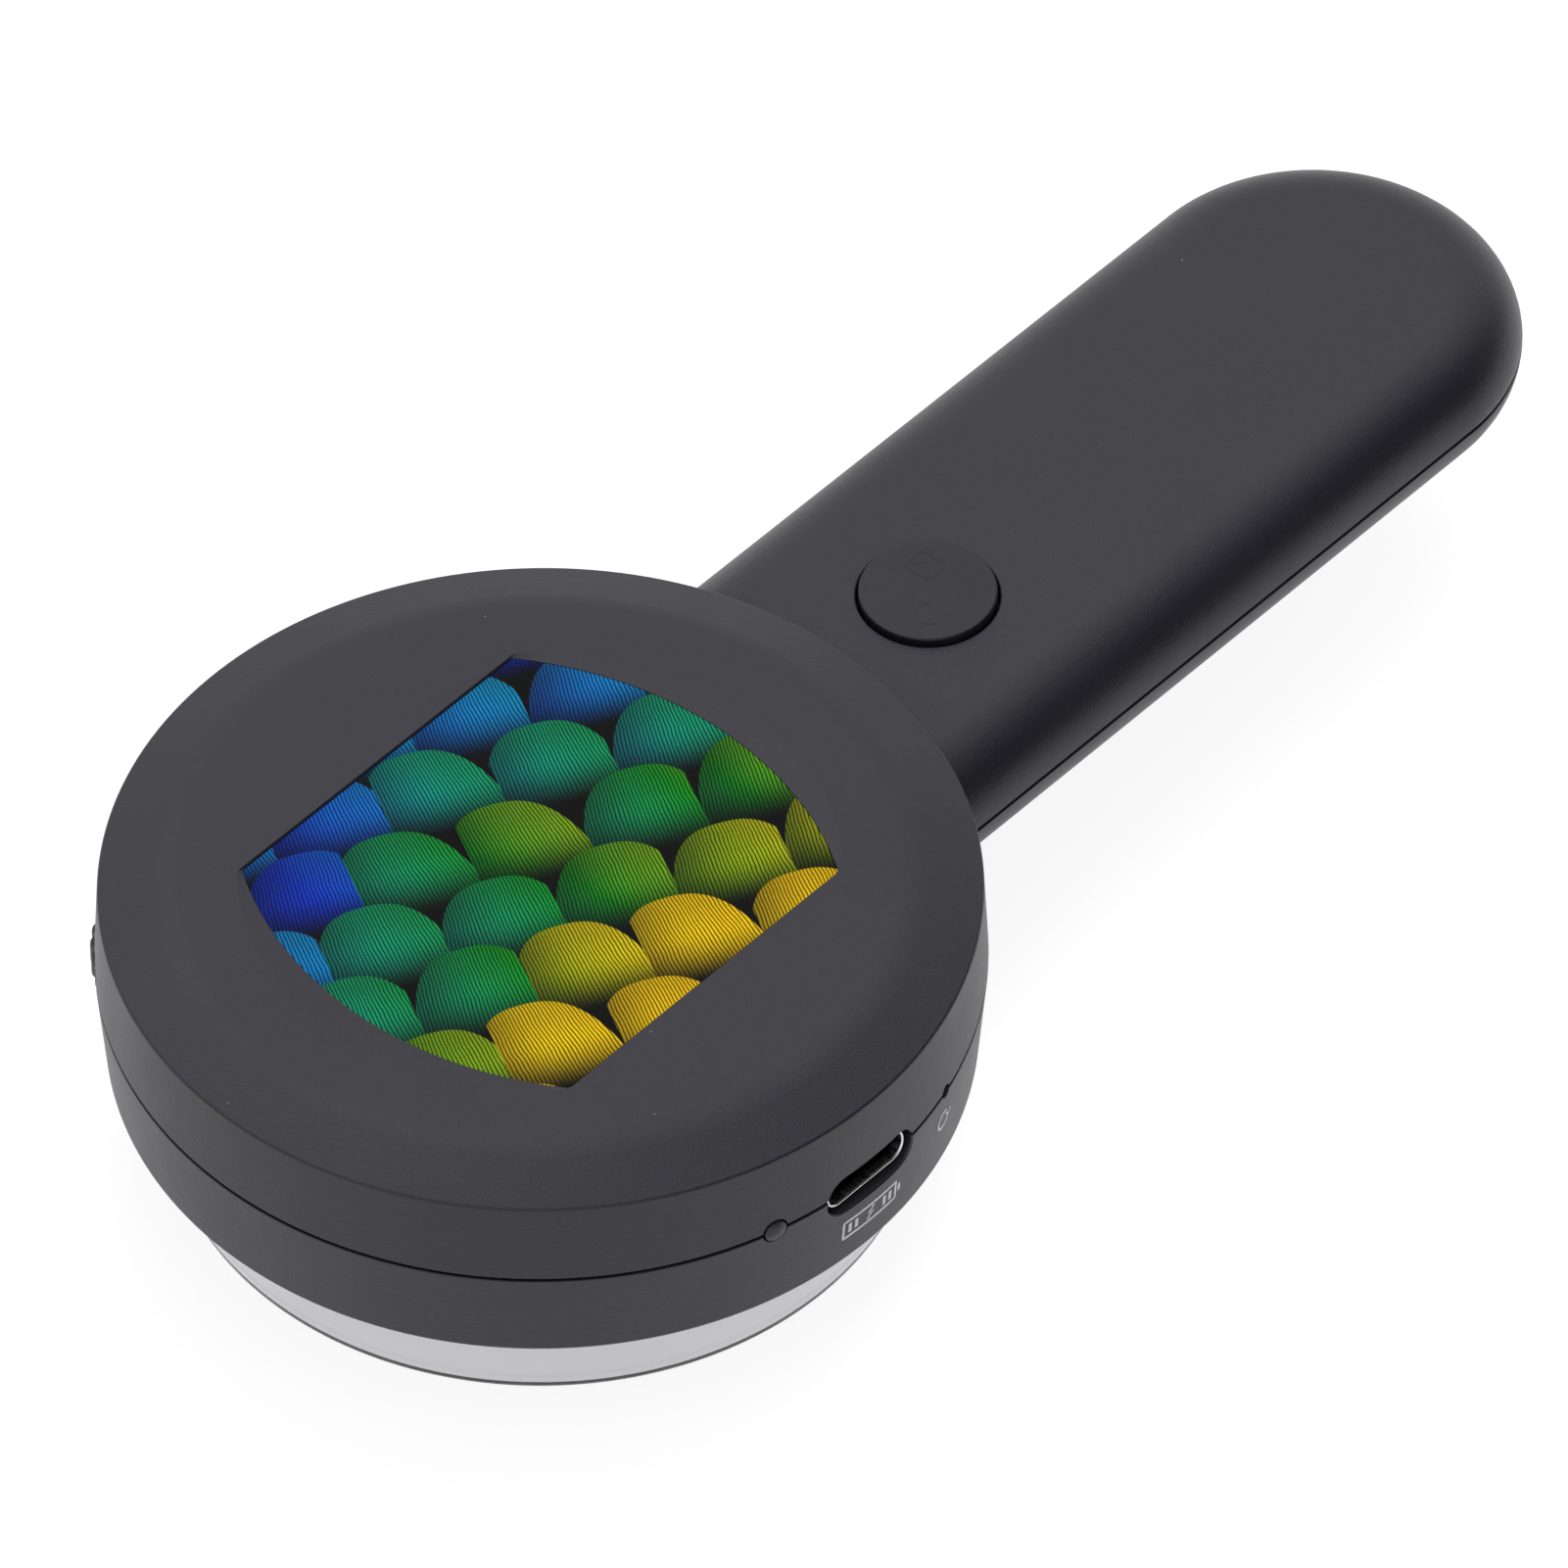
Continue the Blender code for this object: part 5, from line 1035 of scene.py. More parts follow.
def make_port_mark():
    """A printed sign below the port: a battery with a bolt in it."""
    place = on_head_wall(0, PORT_HEIGHT - BATTERY_SIGN_DROP)
    x, y = BATTERY_SIGN_HALF_SIZE
    case = chain((-x, -y), (x, -y), (x, y), (-x, y), (-x, -y))[:-1]
    x, y = BATTERY_TIP
    tip = chain((x, -y), (x, y))
    half = BATTERY_BAR_HALF_HEIGHT
    bars = [chain((x, -half), (x, half)) for x in BATTERY_BARS]
    form = together(
        stroke(case, BATTERY_SIGN_LINE, place, closed=True),
        stroke(tip, BATTERY_TIP_LINE, place),
        stroke(BATTERY_BOLT, BATTERY_BOLT_LINE, place),
        *[stroke(bar, BATTERY_BAR_LINE, place) for bar in bars],
    )
    return finished(piece("port_mark", form))


def make_reset_mark():
    """A printed sign below the reset hole: an arrow that goes round."""
    place = on_head_wall(RESET_ANGLE, SEAM_HEIGHT - RESET_SIGN_DROP)
    start, end = (math.radians(turn) for turn in RESET_SIGN_TURN)
    loop = arc((0, 0), RESET_SIGN_RADIUS, start, end, RESET_SIGN_STEPS)
    head = [
        (RESET_SIGN_RADIUS + RESET_ARROW_HALF_WIDTH, RESET_ARROW_ENDS),
        (RESET_SIGN_RADIUS, RESET_ARROW_POINT),
        (RESET_SIGN_RADIUS - RESET_ARROW_HALF_WIDTH, RESET_ARROW_ENDS),
    ]
    form = together(stroke(loop, RESET_SIGN_LINE, place), stroke(head, RESET_SIGN_LINE, place))
    return finished(piece("reset_mark", form))


# Port, light and lanyard pin


def make_port_sleeve():
    """The socket's metal sleeve, folded from sheet, open at the front and closed at the back."""
    back = PORT_FRONT - PORT_DEPTH
    edge = PORT_SHEET / 2
    lip = arc((edge, PORT_FRONT - edge), edge, math.pi, 0, CORNER_STEPS)
    path = [(0, back), *lip, (PORT_SHEET, back + PORT_SHEET)]

    def outline(inset):
        tall = PORT_TALL - 2 * inset
        return rounded_rectangle(PORT_WIDTH - 2 * inset, tall, tall / 2 - SIDE_GAP)

    return finished(piece("usb_port_shell_fine", laid_along_x(lofted(outline, path)), (0, 0, PORT_HEIGHT)))


def make_port_tongue():
    """The tongue in the socket, with its rounded front edge, and the root that holds it."""
    base = PORT_FRONT - PORT_DEPTH + PORT_SHEET + SEAT_GAP
    front = base + TONGUE_LENGTH
    edge = TONGUE_THICKNESS / 4
    rounding = arc((edge, front - edge), edge, math.pi, math.pi / 2, CORNER_STEPS)
    path = [(0, base + PORT_SHEET), *rounding]

    def blade(inset):
        tall = TONGUE_THICKNESS - 2 * inset
        return rounded_rectangle(TONGUE_WIDTH - 2 * inset, tall, tall / 4)

    tongue = piece("usb_port_tongue_fine", laid_along_x(lofted(blade, path)), (0, 0, PORT_HEIGHT))
    tall = PORT_TALL - 2 * PORT_SHEET - 2 * SIDE_GAP
    outline = rounded_rectangle(PORT_WIDTH - 2 * PORT_SHEET - 2 * SIDE_GAP, tall, tall / 2 - SIDE_GAP)
    root = laid_along_x(prism(outline, base, base + 2 * PORT_SHEET))
    join(tongue, piece("tongue root", root, (0, 0, PORT_HEIGHT)))
    return finished(tongue)


def make_contacts():
    """The gold contacts on both faces of the tongue."""
    front = PORT_FRONT - PORT_DEPTH + PORT_SHEET + SEAT_GAP + TONGUE_LENGTH - TONGUE_THICKNESS / 2
    outline = rounded_rectangle(CONTACT_LENGTH, CONTACT_WIDTH, CONTACT_WIDTH / 4, CONTACT_CORNER_STEPS)
    pads = []
    for side in (-1, 1):
        for number in range(CONTACT_COUNT):
            y = (number - (CONTACT_COUNT - 1) / 2) * CONTACT_PITCH
            root = side * TONGUE_THICKNESS / 2 * CONTACT_ROOT_SHARE
            face = side * (TONGUE_THICKNESS / 2 + MARK_RISE)
            pad = prism(outline, min(root, face), max(root, face))
            pads.append(moved(pad, front - CONTACT_LENGTH / 2, y))
    return finished(piece("usb_contacts", together(*pads), (0, 0, PORT_HEIGHT)))


def make_light_pipe():
    """The bead of the status light, as dark as the case, with a domed front."""
    outer = HEAD_RADIUS + LIGHT_PROUD
    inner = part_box("status_light_pipe")[0].x / MM
    dome = (LIGHT_RADIUS**2 + LIGHT_PROUD**2) / (2 * LIGHT_PROUD)
    spread = math.asin(LIGHT_RADIUS / dome)
    cap = arc((0, outer - dome), dome, math.pi / 2, math.pi / 2 - spread, CORNER_STEPS)
    start = inner / math.cos(math.radians(LIGHT_ANGLE))
    profile = [*cap, (LIGHT_RADIUS, start), (0, start)]
    profile[0] = (0, outer)
    form = laid_along_x(turned(profile, HOLE_STEPS))
    return finished(piece("status_light_pipe_fine", form, (0, 0, SEAM_HEIGHT), LIGHT_ANGLE))


def make_lanyard_pin():
    """The pin across the lanyard slot, with rounded ends in the shell's roots."""
    low = LANYARD_LOW - LANYARD_PIN_ROOT
    high = LANYARD_HIGH + LANYARD_PIN_ROOT
    corners = [
        (0, low, 0),
        (LANYARD_PIN_RADIUS, low, SEAM_EDGE),
        (LANYARD_PIN_RADIUS, high, SEAM_EDGE),
        (0, high, 0),
    ]
    return finished(piece("lanyard_pin_fine", turned(softened(corners), HOLE_STEPS), pin_place()))


def make_shell_screw(number, spot):
    """A pan-head screw seen from below: a domed head with a cross recess, and a thread."""
    tip = -SCREW_LENGTH
    corners = [
        (0, SCREW_HEAD_HEIGHT, 0),
        (SCREW_HEAD_RADIUS, SCREW_HEAD_HEIGHT, SCREW_HEAD_ROUND),
        (SCREW_HEAD_RADIUS, 0, 0),
    ]
    profile = softened(corners)
    turns = int((SCREW_LENGTH - SCREW_SHANK_RADIUS) / THREAD_PITCH)
    for turn in range(turns):
        top = -turn * THREAD_PITCH
        profile.append((SCREW_SHANK_RADIUS - THREAD_DEPTH, top - THREAD_PITCH * THREAD_ROOT_SHARE))
        profile.append((SCREW_SHANK_RADIUS, top - THREAD_PITCH / 2))
    profile += [(SCREW_SHANK_RADIUS - THREAD_DEPTH, tip + SCREW_SHANK_RADIUS / 2), (0, tip)]
    form = turned_over(turned(profile, HOLE_STEPS))
    screw = piece(f"shell_screw_{number}_fine", form, place_of(spot))
    path = [(CROSS_TAPER, SCREW_HEAD_HEIGHT - CROSS_DEPTH), (0, SCREW_HEAD_HEIGHT + SIDE_GAP)]
    recess = turned_over(lofted(cross_outline, path))
    cut(screw, piece(f"screw cross {number}", recess, place_of(spot)))
    return finished(screw)


def cross_outline(inset):
    """The screw's cross recess, whose arms taper as they go in."""
    near = CROSS_HALF_WIDTH - inset / 3
    far = CROSS_HALF_LENGTH - inset
    points = []
    for quarter in range(4):
        for x, y in ((near, near), (far, near), (far, -near)):
            x, y = Matrix.Rotation(math.pi / 2 * quarter, 2) @ Vector((x, -y))
            points.append((x, y))
    return points[1:] + points[:1]


def place_of(spot):
    """Where a shell screw's head ends and its shank begins."""
    return spot[0], spot[1], SCREW_LOW + SCREW_HEAD_HEIGHT


# Focus wheel and camera end


def gear_outline(teeth):
    """A gear's edge with its first tooth on +X."""
    module = 2 * WHEEL_ORBIT / (PINION_TEETH + RING_TEETH)
    pitch_radius = module * teeth / 2
    tip = pitch_radius + GEAR_TIP_RISE_SHARE * module
    root = pitch_radius - GEAR_ROOT_DROP_SHARE * module
    tip_half, tip_round = GEAR_TIP_SHARES
    root_half, root_round = GEAR_ROOT_SHARES
    tooth_corners = (
        (root, -root_half, root_round),
        (tip, -tip_half, tip_round),
        (tip, tip_half, tip_round),
        (root, root_half, root_round),
    )
    corners = []
    for tooth in range(teeth):
        for radius, share, rounding in tooth_corners:
            angle = (tooth + share) * 2 * math.pi / teeth
            corners.append((radius * math.cos(angle), radius * math.sin(angle), rounding * module))
    return softened(corners, closed=True)


def make_focus_wheel():
    """The thumbwheel with its rounded ridges, and the pinion under it."""
    def edge(inset):
        points = []
        count = WHEEL_RIDGES * RIDGE_STEPS
        for index in range(count):
            angle = 2 * math.pi * index / count
            dip = (0.5 - 0.5 * math.cos(WHEEL_RIDGES * angle)) ** 2
            radius = WHEEL_RADIUS - inset - WHEEL_RIDGE_DEPTH * dip
            points.append((radius * math.cos(angle), radius * math.sin(angle)))
        return points

    low = WHEEL_TOP - WHEEL_THICKNESS
    near = WHEEL_EDGE * WHEEL_EDGE_SHARE
    path = [(WHEEL_EDGE, low), (near, low + near), (0, low + WHEEL_EDGE)]
    path += [(0, WHEEL_TOP - WHEEL_EDGE), (near, WHEEL_TOP - near), (WHEEL_EDGE, WHEEL_TOP)]
    at = (*on_circle(WHEEL_ORBIT, WHEEL_ANGLE), 0)
    wheel = piece("focus_wheel_fine", lofted(edge, path), at, WHEEL_ANGLE)
    pinion = prism(gear_outline(PINION_TEETH), GEAR_BOTTOM, GEAR_BOTTOM + GEAR_THICKNESS)
    hub = column(HUB_RADIUS, GEAR_BOTTOM + HUB_TUCK, WHEEL_TOP - HUB_TUCK, steps=HOLE_STEPS)
    gap_turn = WHEEL_ANGLE + 180 + 180 / PINION_TEETH
    join(wheel, piece("pinion", pinion, at, gap_turn), piece("hub", hub, at))
    bore = column(AXLE_RADIUS + THREAD_GAP, GEAR_BOTTOM - OVERRUN, WHEEL_TOP + OVERRUN)
    cut(wheel, piece("wheel bore", bore, at))
    return finished(wheel)


def make_barrel():
    """The lens barrel: a tube with rounded ends, a stepped bore and a key groove each side."""
    front_seat = BARREL_BOTTOM + LENS_SINK + LENS_EDGE + SEAT_GAP
    rear_seat = BARREL_TOP - REAR_LENS_SINK - REAR_LENS_EDGE - SEAT_GAP
    front_bore = LENS_RADIUS + THREAD_GAP
    rear_bore = REAR_LENS_RADIUS + THREAD_GAP
    corners = [
        (BARREL_RADIUS, BARREL_TOP, BARREL_ROUND),
        (BARREL_RADIUS, BARREL_BOTTOM, BARREL_ROUND),
        (front_bore, BARREL_BOTTOM, BARREL_MOUTH_ROUND),
        (front_bore, front_seat, 0),
        (BARREL_BORE, front_seat, BARREL_STOP_ROUND),
        (BARREL_BORE, rear_seat, BARREL_STOP_ROUND),
        (rear_bore, rear_seat, 0),
        (rear_bore, BARREL_TOP, BARREL_MOUTH_ROUND),
    ]
    barrel = piece("lens_barrel_fine", turned(softened(corners, closed=True), RING_STEPS))
    half = KEY_WIDTH / 2
    for name, side in (("front groove", -1), ("rear groove", 1)):
        near, far = sorted((side * (BARREL_RADIUS - KEY_DEPTH), side * (BARREL_RADIUS + OVERRUN)))
        groove = block((-half, near, BARREL_BOTTOM - OVERRUN), (half, far, BARREL_TOP + OVERRUN))
        cut(barrel, piece(name, groove))
    return finished(barrel)


def make_front_lens():
    """The front lens with its two polished domes."""
    low = BARREL_BOTTOM + LENS_SINK
    sphere = (LENS_RADIUS**2 + LENS_BULGE**2) / (2 * LENS_BULGE)
    spread = math.asin(LENS_RADIUS / sphere)
    high = low + LENS_EDGE
    top = arc((0, high + LENS_BULGE - sphere), sphere, math.pi / 2, math.pi / 2 - spread, LENS_STEPS)
    top[0] = (0, high + LENS_BULGE)
    bottom = [(x, low + high - y) for x, y in reversed(top)]
    return finished(piece("front_lens_fine", turned(top + bottom, RING_STEPS)))


def make_diffuser():
    """The frosted ring in front of the lamps."""
    outer = POCKET_RADIUS - SEAT_GAP
    corners = [
        (outer, DIFFUSER_TOP, DIFFUSER_TOP_ROUND),
        (outer, DIFFUSER_BOTTOM, DIFFUSER_ROUND),
        (SPIGOT_RADIUS, DIFFUSER_BOTTOM, DIFFUSER_ROUND),
        (SPIGOT_RADIUS, DIFFUSER_TOP, DIFFUSER_TOP_ROUND),
    ]
    return finished(piece("light_diffuser_fine", turned(softened(corners, closed=True))))


def make_hood():
    """The clear skirt with its polished, rounded foot and the tongue in the shell's groove."""
    tongue = HOOD_TOP_RADIUS - HOOD_SHOULDER
    inner = tongue - HOOD_TONGUE_WALL
    foot_inner = HOOD_FOOT_RADIUS - HOOD_FOOT_WALL
    shoulder = HOOD_HIGH.z - HOOD_TONGUE_RISE
    corners = [
        (tongue, HOOD_HIGH.z, HOOD_TONGUE_ROUND),
        (tongue, shoulder, 0),
        (HOOD_TOP_RADIUS, shoulder, HOOD_SHOULDER_ROUND),
        (HOOD_FOOT_RADIUS, HOOD_LOW.z, HOOD_ROUND),
        (foot_inner, HOOD_LOW.z, HOOD_ROUND),
        (inner, shoulder, 0),
        (inner, HOOD_HIGH.z, HOOD_TONGUE_ROUND),
    ]
    return finished(piece("hood_fine", turned(softened(corners, closed=True))), FINE_SHARP_ANGLE)


# Shader building


def feed(tree, socket, value):
    """Links another node's output to a socket, or sets a plain value on it."""
    if isinstance(value, bpy.types.NodeSocket):
        tree.links.new(value, socket)
    else:
        socket.default_value = value


def node(tree, kind, inputs=None, **settings):
    """A shader node, with its settings made and its inputs set or linked."""
    made = tree.nodes.new(kind)
    for name, value in settings.items():
        setattr(made, name, value)
    for key, value in (inputs or {}).items():
        feed(tree, made.inputs[key], value)
    return made


def calc(tree, operation, *values):
    """The result of a Math node."""
    made = node(tree, "ShaderNodeMath", dict(enumerate(values)), operation=operation)
    return made.outputs[0]


def blend(tree, share, first, second, mode="MIX"):
    """The result of mixing two colours."""
    made = node(tree, "ShaderNodeMix", data_type="RGBA", blend_type=mode)
    for index, value in ((0, share), (6, first), (7, second)):
        feed(tree, made.inputs[index], value)
    return made.outputs[2]


def spread(tree, value, low, high, to_low=0.0, to_high=1.0):
    """A value carried smoothly from one range to another, and held inside it."""
    made = node(
        tree,
        "ShaderNodeMapRange",
        {"Value": value, "From Min": low, "From Max": high, "To Min": to_low, "To Max": to_high},
        interpolation_type="SMOOTHSTEP",
    )
    return made.outputs[0]


def ramp(tree, value, stops):
    """A colour read from a ramp of (place, colour) stops."""
    made = node(tree, "ShaderNodeValToRGB", {"Fac": value})
    colours = made.color_ramp.elements
    while len(colours) < len(stops):
        colours.new(1)
    for stop, (place, colour) in zip(colours, stops):
        stop.position = place
        stop.color = (*colour, 1)
    return made.outputs["Color"]


def group(name, inputs, outputs):
    """A shader node group with named sockets: (name, type, default) in and (name, type) out."""
    tree = bpy.data.node_groups.new(name, "ShaderNodeTree")
    for socket, kind, default in inputs:
        made = tree.interface.new_socket(socket, in_out="INPUT", socket_type=kind)
        if default is not None:
            made.default_value = default
    for socket, kind in outputs:
        tree.interface.new_socket(socket, in_out="OUTPUT", socket_type=kind)
    return tree, tree.nodes.new("NodeGroupInput").outputs, tree.nodes.new("NodeGroupOutput").inputs


def use(tree, effect, **inputs):
    """The outputs of an effect placed in a material, with its values. Underscores stand for spaces."""
    made = node(tree, "ShaderNodeGroup", node_tree=effect)
    for name, value in inputs.items():
        feed(tree, made.inputs[name.replace("_", " ")], value)
    return made.outputs


FLOAT = "NodeSocketFloat"
VECTOR = "NodeSocketVector"
BROAD_GRAIN_SHARE = 0.22
PIT_EDGE = (0.62, 0.74)
PATCH_EDGE = (0.35, 0.65)
STREAK_EDGE = (0.66, 0.74)


def build_grain():
    """Spark-eroded grain: small rounded pits and bumps of a size in metres."""
    tree, given, result = group(
        "moulded_grain",
        [("Place", VECTOR, None), ("Grain Size", FLOAT, 0.0002), ("Unevenness", FLOAT, 0.5)],
        [("Height", FLOAT), ("Pits", FLOAT)],
    )
    scale = calc(tree, "DIVIDE", 1.0, given["Grain Size"])
    fine = node(tree, "ShaderNodeTexNoise", {"Vector": given["Place"], "Scale": scale, "Detail": 2.0})
    wide = node(
        tree,
        "ShaderNodeTexNoise",
        {"Vector": given["Place"], "Scale": calc(tree, "MULTIPLY", scale, BROAD_GRAIN_SHARE), "Detail": 3.0},
    )
    mixed = calc(tree, "MULTIPLY_ADD", wide.outputs["Fac"], given["Unevenness"], fine.outputs["Fac"])
    tree.links.new(mixed, result["Height"])
    tree.links.new(spread(tree, fine.outputs["Fac"], *PIT_EDGE), result["Pits"])
    return tree


def build_handling():
    """Where hands have polished or dulled a surface: broad soft patches and a few faint streaks."""
    tree, given, result = group(
        "handling_marks",
        [("Place", VECTOR, None), ("Patch Size", FLOAT, 0.012), ("Streak Size", FLOAT, 0.003)],
        [("Patches", FLOAT), ("Streaks", FLOAT)],
    )
    scale = calc(tree, "DIVIDE", 1.0, given["Patch Size"])
    patches = node(tree, "ShaderNodeTexNoise", {"Vector": given["Place"], "Scale": scale, "Detail": 4.0})
    tree.links.new(spread(tree, patches.outputs["Fac"], *PATCH_EDGE), result["Patches"])
    stretched = node(
        tree,
        "ShaderNodeMapping",
        {"Vector": given["Place"], "Rotation": (0.2, 0.1, 0.7), "Scale": (1, 9, 1)},
    )
    scale = calc(tree, "DIVIDE", 1.0, given["Streak Size"])
    streaks = node(
        tree, "ShaderNodeTexNoise", {"Vector": stretched.outputs[0], "Scale": scale, "Detail": 2.0}
    )
    tree.links.new(spread(tree, streaks.outputs["Fac"], *STREAK_EDGE), result["Streaks"])
    return tree


def build_dust():
    """Sparse specks of dust: cells of a size in metres, few of which hold a speck."""
    tree, given, result = group(
        "dust_specks",
        [
            ("Place", VECTOR, None),
            ("Cell Size", FLOAT, 0.002),
            ("Speck Size", FLOAT, 0.04),
            ("Share", FLOAT, 0.12),
        ],
        [("Specks", FLOAT)],
    )
    scale = calc(tree, "DIVIDE", 1.0, given["Cell Size"])
    cells = node(tree, "ShaderNodeTexVoronoi", {"Vector": given["Place"], "Scale": scale})
    near = calc(tree, "LESS_THAN", cells.outputs["Distance"], given["Speck Size"])
    tint = node(tree, "ShaderNodeSeparateColor", {"Color": cells.outputs["Color"]})
    chosen = calc(tree, "LESS_THAN", tint.outputs[0], given["Share"])
    bright = calc(tree, "MULTIPLY", near, chosen)
    tree.links.new(calc(tree, "MULTIPLY", bright, tint.outputs[1]), result["Specks"])
    return tree


def build_brush():
    """Fine drawn lines along X, for plated sheet and foil."""
    tree, given, result = group(
        "drawn_lines",
        [("Place", VECTOR, None), ("Line Size", FLOAT, 0.0001)],
        [("Lines", FLOAT)],
    )
    stretched = node(tree, "ShaderNodeMapping", {"Vector": given["Place"], "Scale": (0.05, 1, 1)})
    scale = calc(tree, "DIVIDE", 1.0, given["Line Size"])
    lines = node(
        tree, "ShaderNodeTexNoise", {"Vector": stretched.outputs[0], "Scale": scale, "Detail": 3.0}
    )
    tree.links.new(lines.outputs["Fac"], result["Lines"])
    return tree


def build_wing_scale():
    """One row of round overlapping wing scales: where they are, their ribs, and a random value each."""
    tree, given, result = group(
        "wing_scale_row",
        [("Across", FLOAT, 0.0), ("Along", FLOAT, 0.0), ("Rows Up", FLOAT, 0.0)],
        [("Inside", FLOAT), ("Length", FLOAT), ("Side", FLOAT), ("Random", FLOAT), ("Ribs", FLOAT)],
    )
    row = calc(tree, "SUBTRACT", calc(tree, "FLOOR", given["Along"]), given["Rows Up"])
    odd = calc(tree, "MULTIPLY", calc(tree, "PINGPONG", row, 1.0), 0.5)
    shifted = calc(tree, "ADD", given["Across"], odd)
    column_number = calc(tree, "FLOOR", shifted)
    cell = node(tree, "ShaderNodeCombineXYZ", {"X": column_number, "Y": row, "Z": 3.0})
    random = node(tree, "ShaderNodeTexWhiteNoise", {"Vector": cell.outputs[0]}, noise_dimensions="3D")
    parts = node(tree, "ShaderNodeSeparateColor", {"Color": random.outputs["Color"]})
    off = calc(tree, "SUBTRACT", calc(tree, "SUBTRACT", shifted, column_number), 0.5)
    lean = calc(tree, "MULTIPLY", calc(tree, "SUBTRACT", parts.outputs[0], 0.5), SCALE_LEAN)
    down = calc(tree, "SUBTRACT", given["Along"], row)
    side = calc(tree, "MULTIPLY_ADD", lean, down, off)
    size = calc(tree, "MULTIPLY_ADD", parts.outputs[1], SCALE_REACH_SPREAD, SCALE_REACH)
    length = calc(tree, "DIVIDE", down, size)
    blunt = calc(tree, "POWER", length, SCALE_BLUNTNESS)
    aside = calc(tree, "ABSOLUTE", calc(tree, "DIVIDE", side, SCALE_HALF_WIDTH))
    wide = calc(tree, "POWER", aside, SCALE_SQUARENESS)
    rim = calc(tree, "SUBTRACT", 1.0, calc(tree, "ADD", blunt, wide))
    tree.links.new(spread(tree, rim, *SCALE_RIM_EDGE), result["Inside"])
    tree.links.new(length, result["Length"])
    tree.links.new(side, result["Side"])
    tree.links.new(random.outputs["Value"], result["Random"])
    fan = calc(tree, "DIVIDE", side, calc(tree, "MULTIPLY_ADD", length, -RIB_FAN, 1.0))
    spot = node(tree, "ShaderNodeCombineXYZ", {"X": given["Across"], "Y": given["Along"]}).outputs[0]
    wobble = node(tree, "ShaderNodeTexNoise", {"Vector": spot, "Scale": 3.0, "Detail": 2.0})
    bent = calc(tree, "MULTIPLY_ADD", wobble.outputs["Fac"], RIB_WOBBLE, fan)
    wave = calc(tree, "SINE", calc(tree, "MULTIPLY", bent, 2 * math.pi * RIBS_PER_SCALE))
    tree.links.new(spread(tree, wave, *RIB_EDGE), result["Ribs"])
    return tree


# Finishes


finishes = {}
SHEEN_TINT = (0.97, 0.94, 1.0, 1)
DUST_COLOUR = (0.42, 0.41, 0.4, 1)
PIT_PALENESS = 0.9
PATCH_PALENESS = 0.1
PATCH_DULLING = 0.015
PATCH_POLISH = 0.01
STREAK_POLISH = 0.05
SCRATCH_DEPTH = 0.00002
# Painted shade inside the port: how far inside its front the sleeve is fully dark, and from where it is
# unshaded, in metres
SLEEVE_SHADE = 0.0011
SLEEVE_LIP = 0.0002

# Moulded: colour, paler colour, roughness, the grain's size and depth in metres, and the share of dust
MOULDED_FINISHES = {
    "charcoal_plastic": ((0.0158, 0.0153, 0.0228), (0.023, 0.0225, 0.03), 0.43, 0.0002, 0.00003, 0.1),
    "button_plastic": ((0.0095, 0.0092, 0.0135), (0.016, 0.0155, 0.021), 0.43, 0.0002, 0.00002, 0.1),
    "black_plastic": ((0.012, 0.012, 0.013), (0.02, 0.02, 0.021), 0.42, 0.00015, 0.000006),
    "white_plastic": ((0.74, 0.74, 0.73), (0.8, 0.8, 0.79), 0.36, 0.00018, 0.000004),
    "screen_glass": ((0.01, 0.012, 0.016), (0.02, 0.03, 0.045), 0.12, 0.0005, 0.000001),
    "sensor_glass": ((0.05, 0.035, 0.09), (0.03, 0.09, 0.08), 0.1, 0.0003, 0.000001),
}
# Clear: colour, roughness, refraction, and how much scratches dull the polish
CLEAR_FINISHES = {
    # clear_plastic's grey is painted shade: the tint is darkened to stand for the shade inside the hood,
    # seen through its wall
    "clear_plastic": ((0.57, 0.56, 0.59), 0.03, 1.49, 0.1),
    "window_glass": ((0.97, 0.98, 0.98), 0.0, 1.15, 0.02),
    "lens_glass": ((0.86, 0.93, 0.96), 0.0, 1.52, 0.01),
}
# Metal: colour, duller colour, roughness, and the width of its drawn lines in metres
METAL_FINISHES = {
    "steel": ((0.68, 0.67, 0.65), (0.55, 0.54, 0.52), 0.26, 0.00012),
    "battery_foil": ((0.6, 0.61, 0.63), (0.5, 0.5, 0.52), 0.38, 0.0004),
    "gold": ((0.83, 0.6, 0.26), (0.7, 0.5, 0.2), 0.24, 0.0001),
}
# Soft: colour, the cells' size and depth in metres, and roughness
SOFT_FINISHES = {
    "black_foam": ((0.018, 0.018, 0.018), 0.0003, 0.00012, 0.9),
    "lamp_phosphor": ((0.82, 0.62, 0.12), 0.0002, 0.00001, 0.35),
    "red_wire": ((0.42, 0.02, 0.02), 0.0005, 0.00001, 0.45),
    "black_wire": ((0.018, 0.018, 0.018), 0.0005, 0.00001, 0.45),
    "printed_white": ((0.68, 0.68, 0.7), 0.0002, 0.000008, 0.5),
}

# Picture on the screen: its turn, the size of its scales, how they are shaped and ribbed, its colours
PICTURE_TILT = -62
PICTURE_STRENGTH = 1.15
SCALE_WIDTH = 9.4
SCALE_ROW = 7.2
SCALE_LEAN = 0.16
SCALE_REACH = 2.02
SCALE_REACH_SPREAD = 0.22
SCALE_HALF_WIDTH = 0.62
SCALE_BLUNTNESS = 3.6
SCALE_SQUARENESS = 2.6
RIBS_PER_SCALE = 25
RIB_FAN = 0.25
RIB_WOBBLE = 0.05
RIB_EDGE = (-1.0, 0.1)
RIB_FADE = (0.6, 1.0)
RIB_DEPTH = (0.94, 0.6)
FURROW_LIGHT = 0.06
SCALE_RIM_EDGE = (0.0, 0.03)
SCALE_LIT_EDGE = (0.4, 0.74)
SCALE_FLANK_EDGE = (-0.6, 0.1)
SCALE_FLANK_LIGHT = 0.3
HUE_DRIFT = 0.1
HUE_SPREAD = 0.3
SPECKLE_SCALE = 6500.0
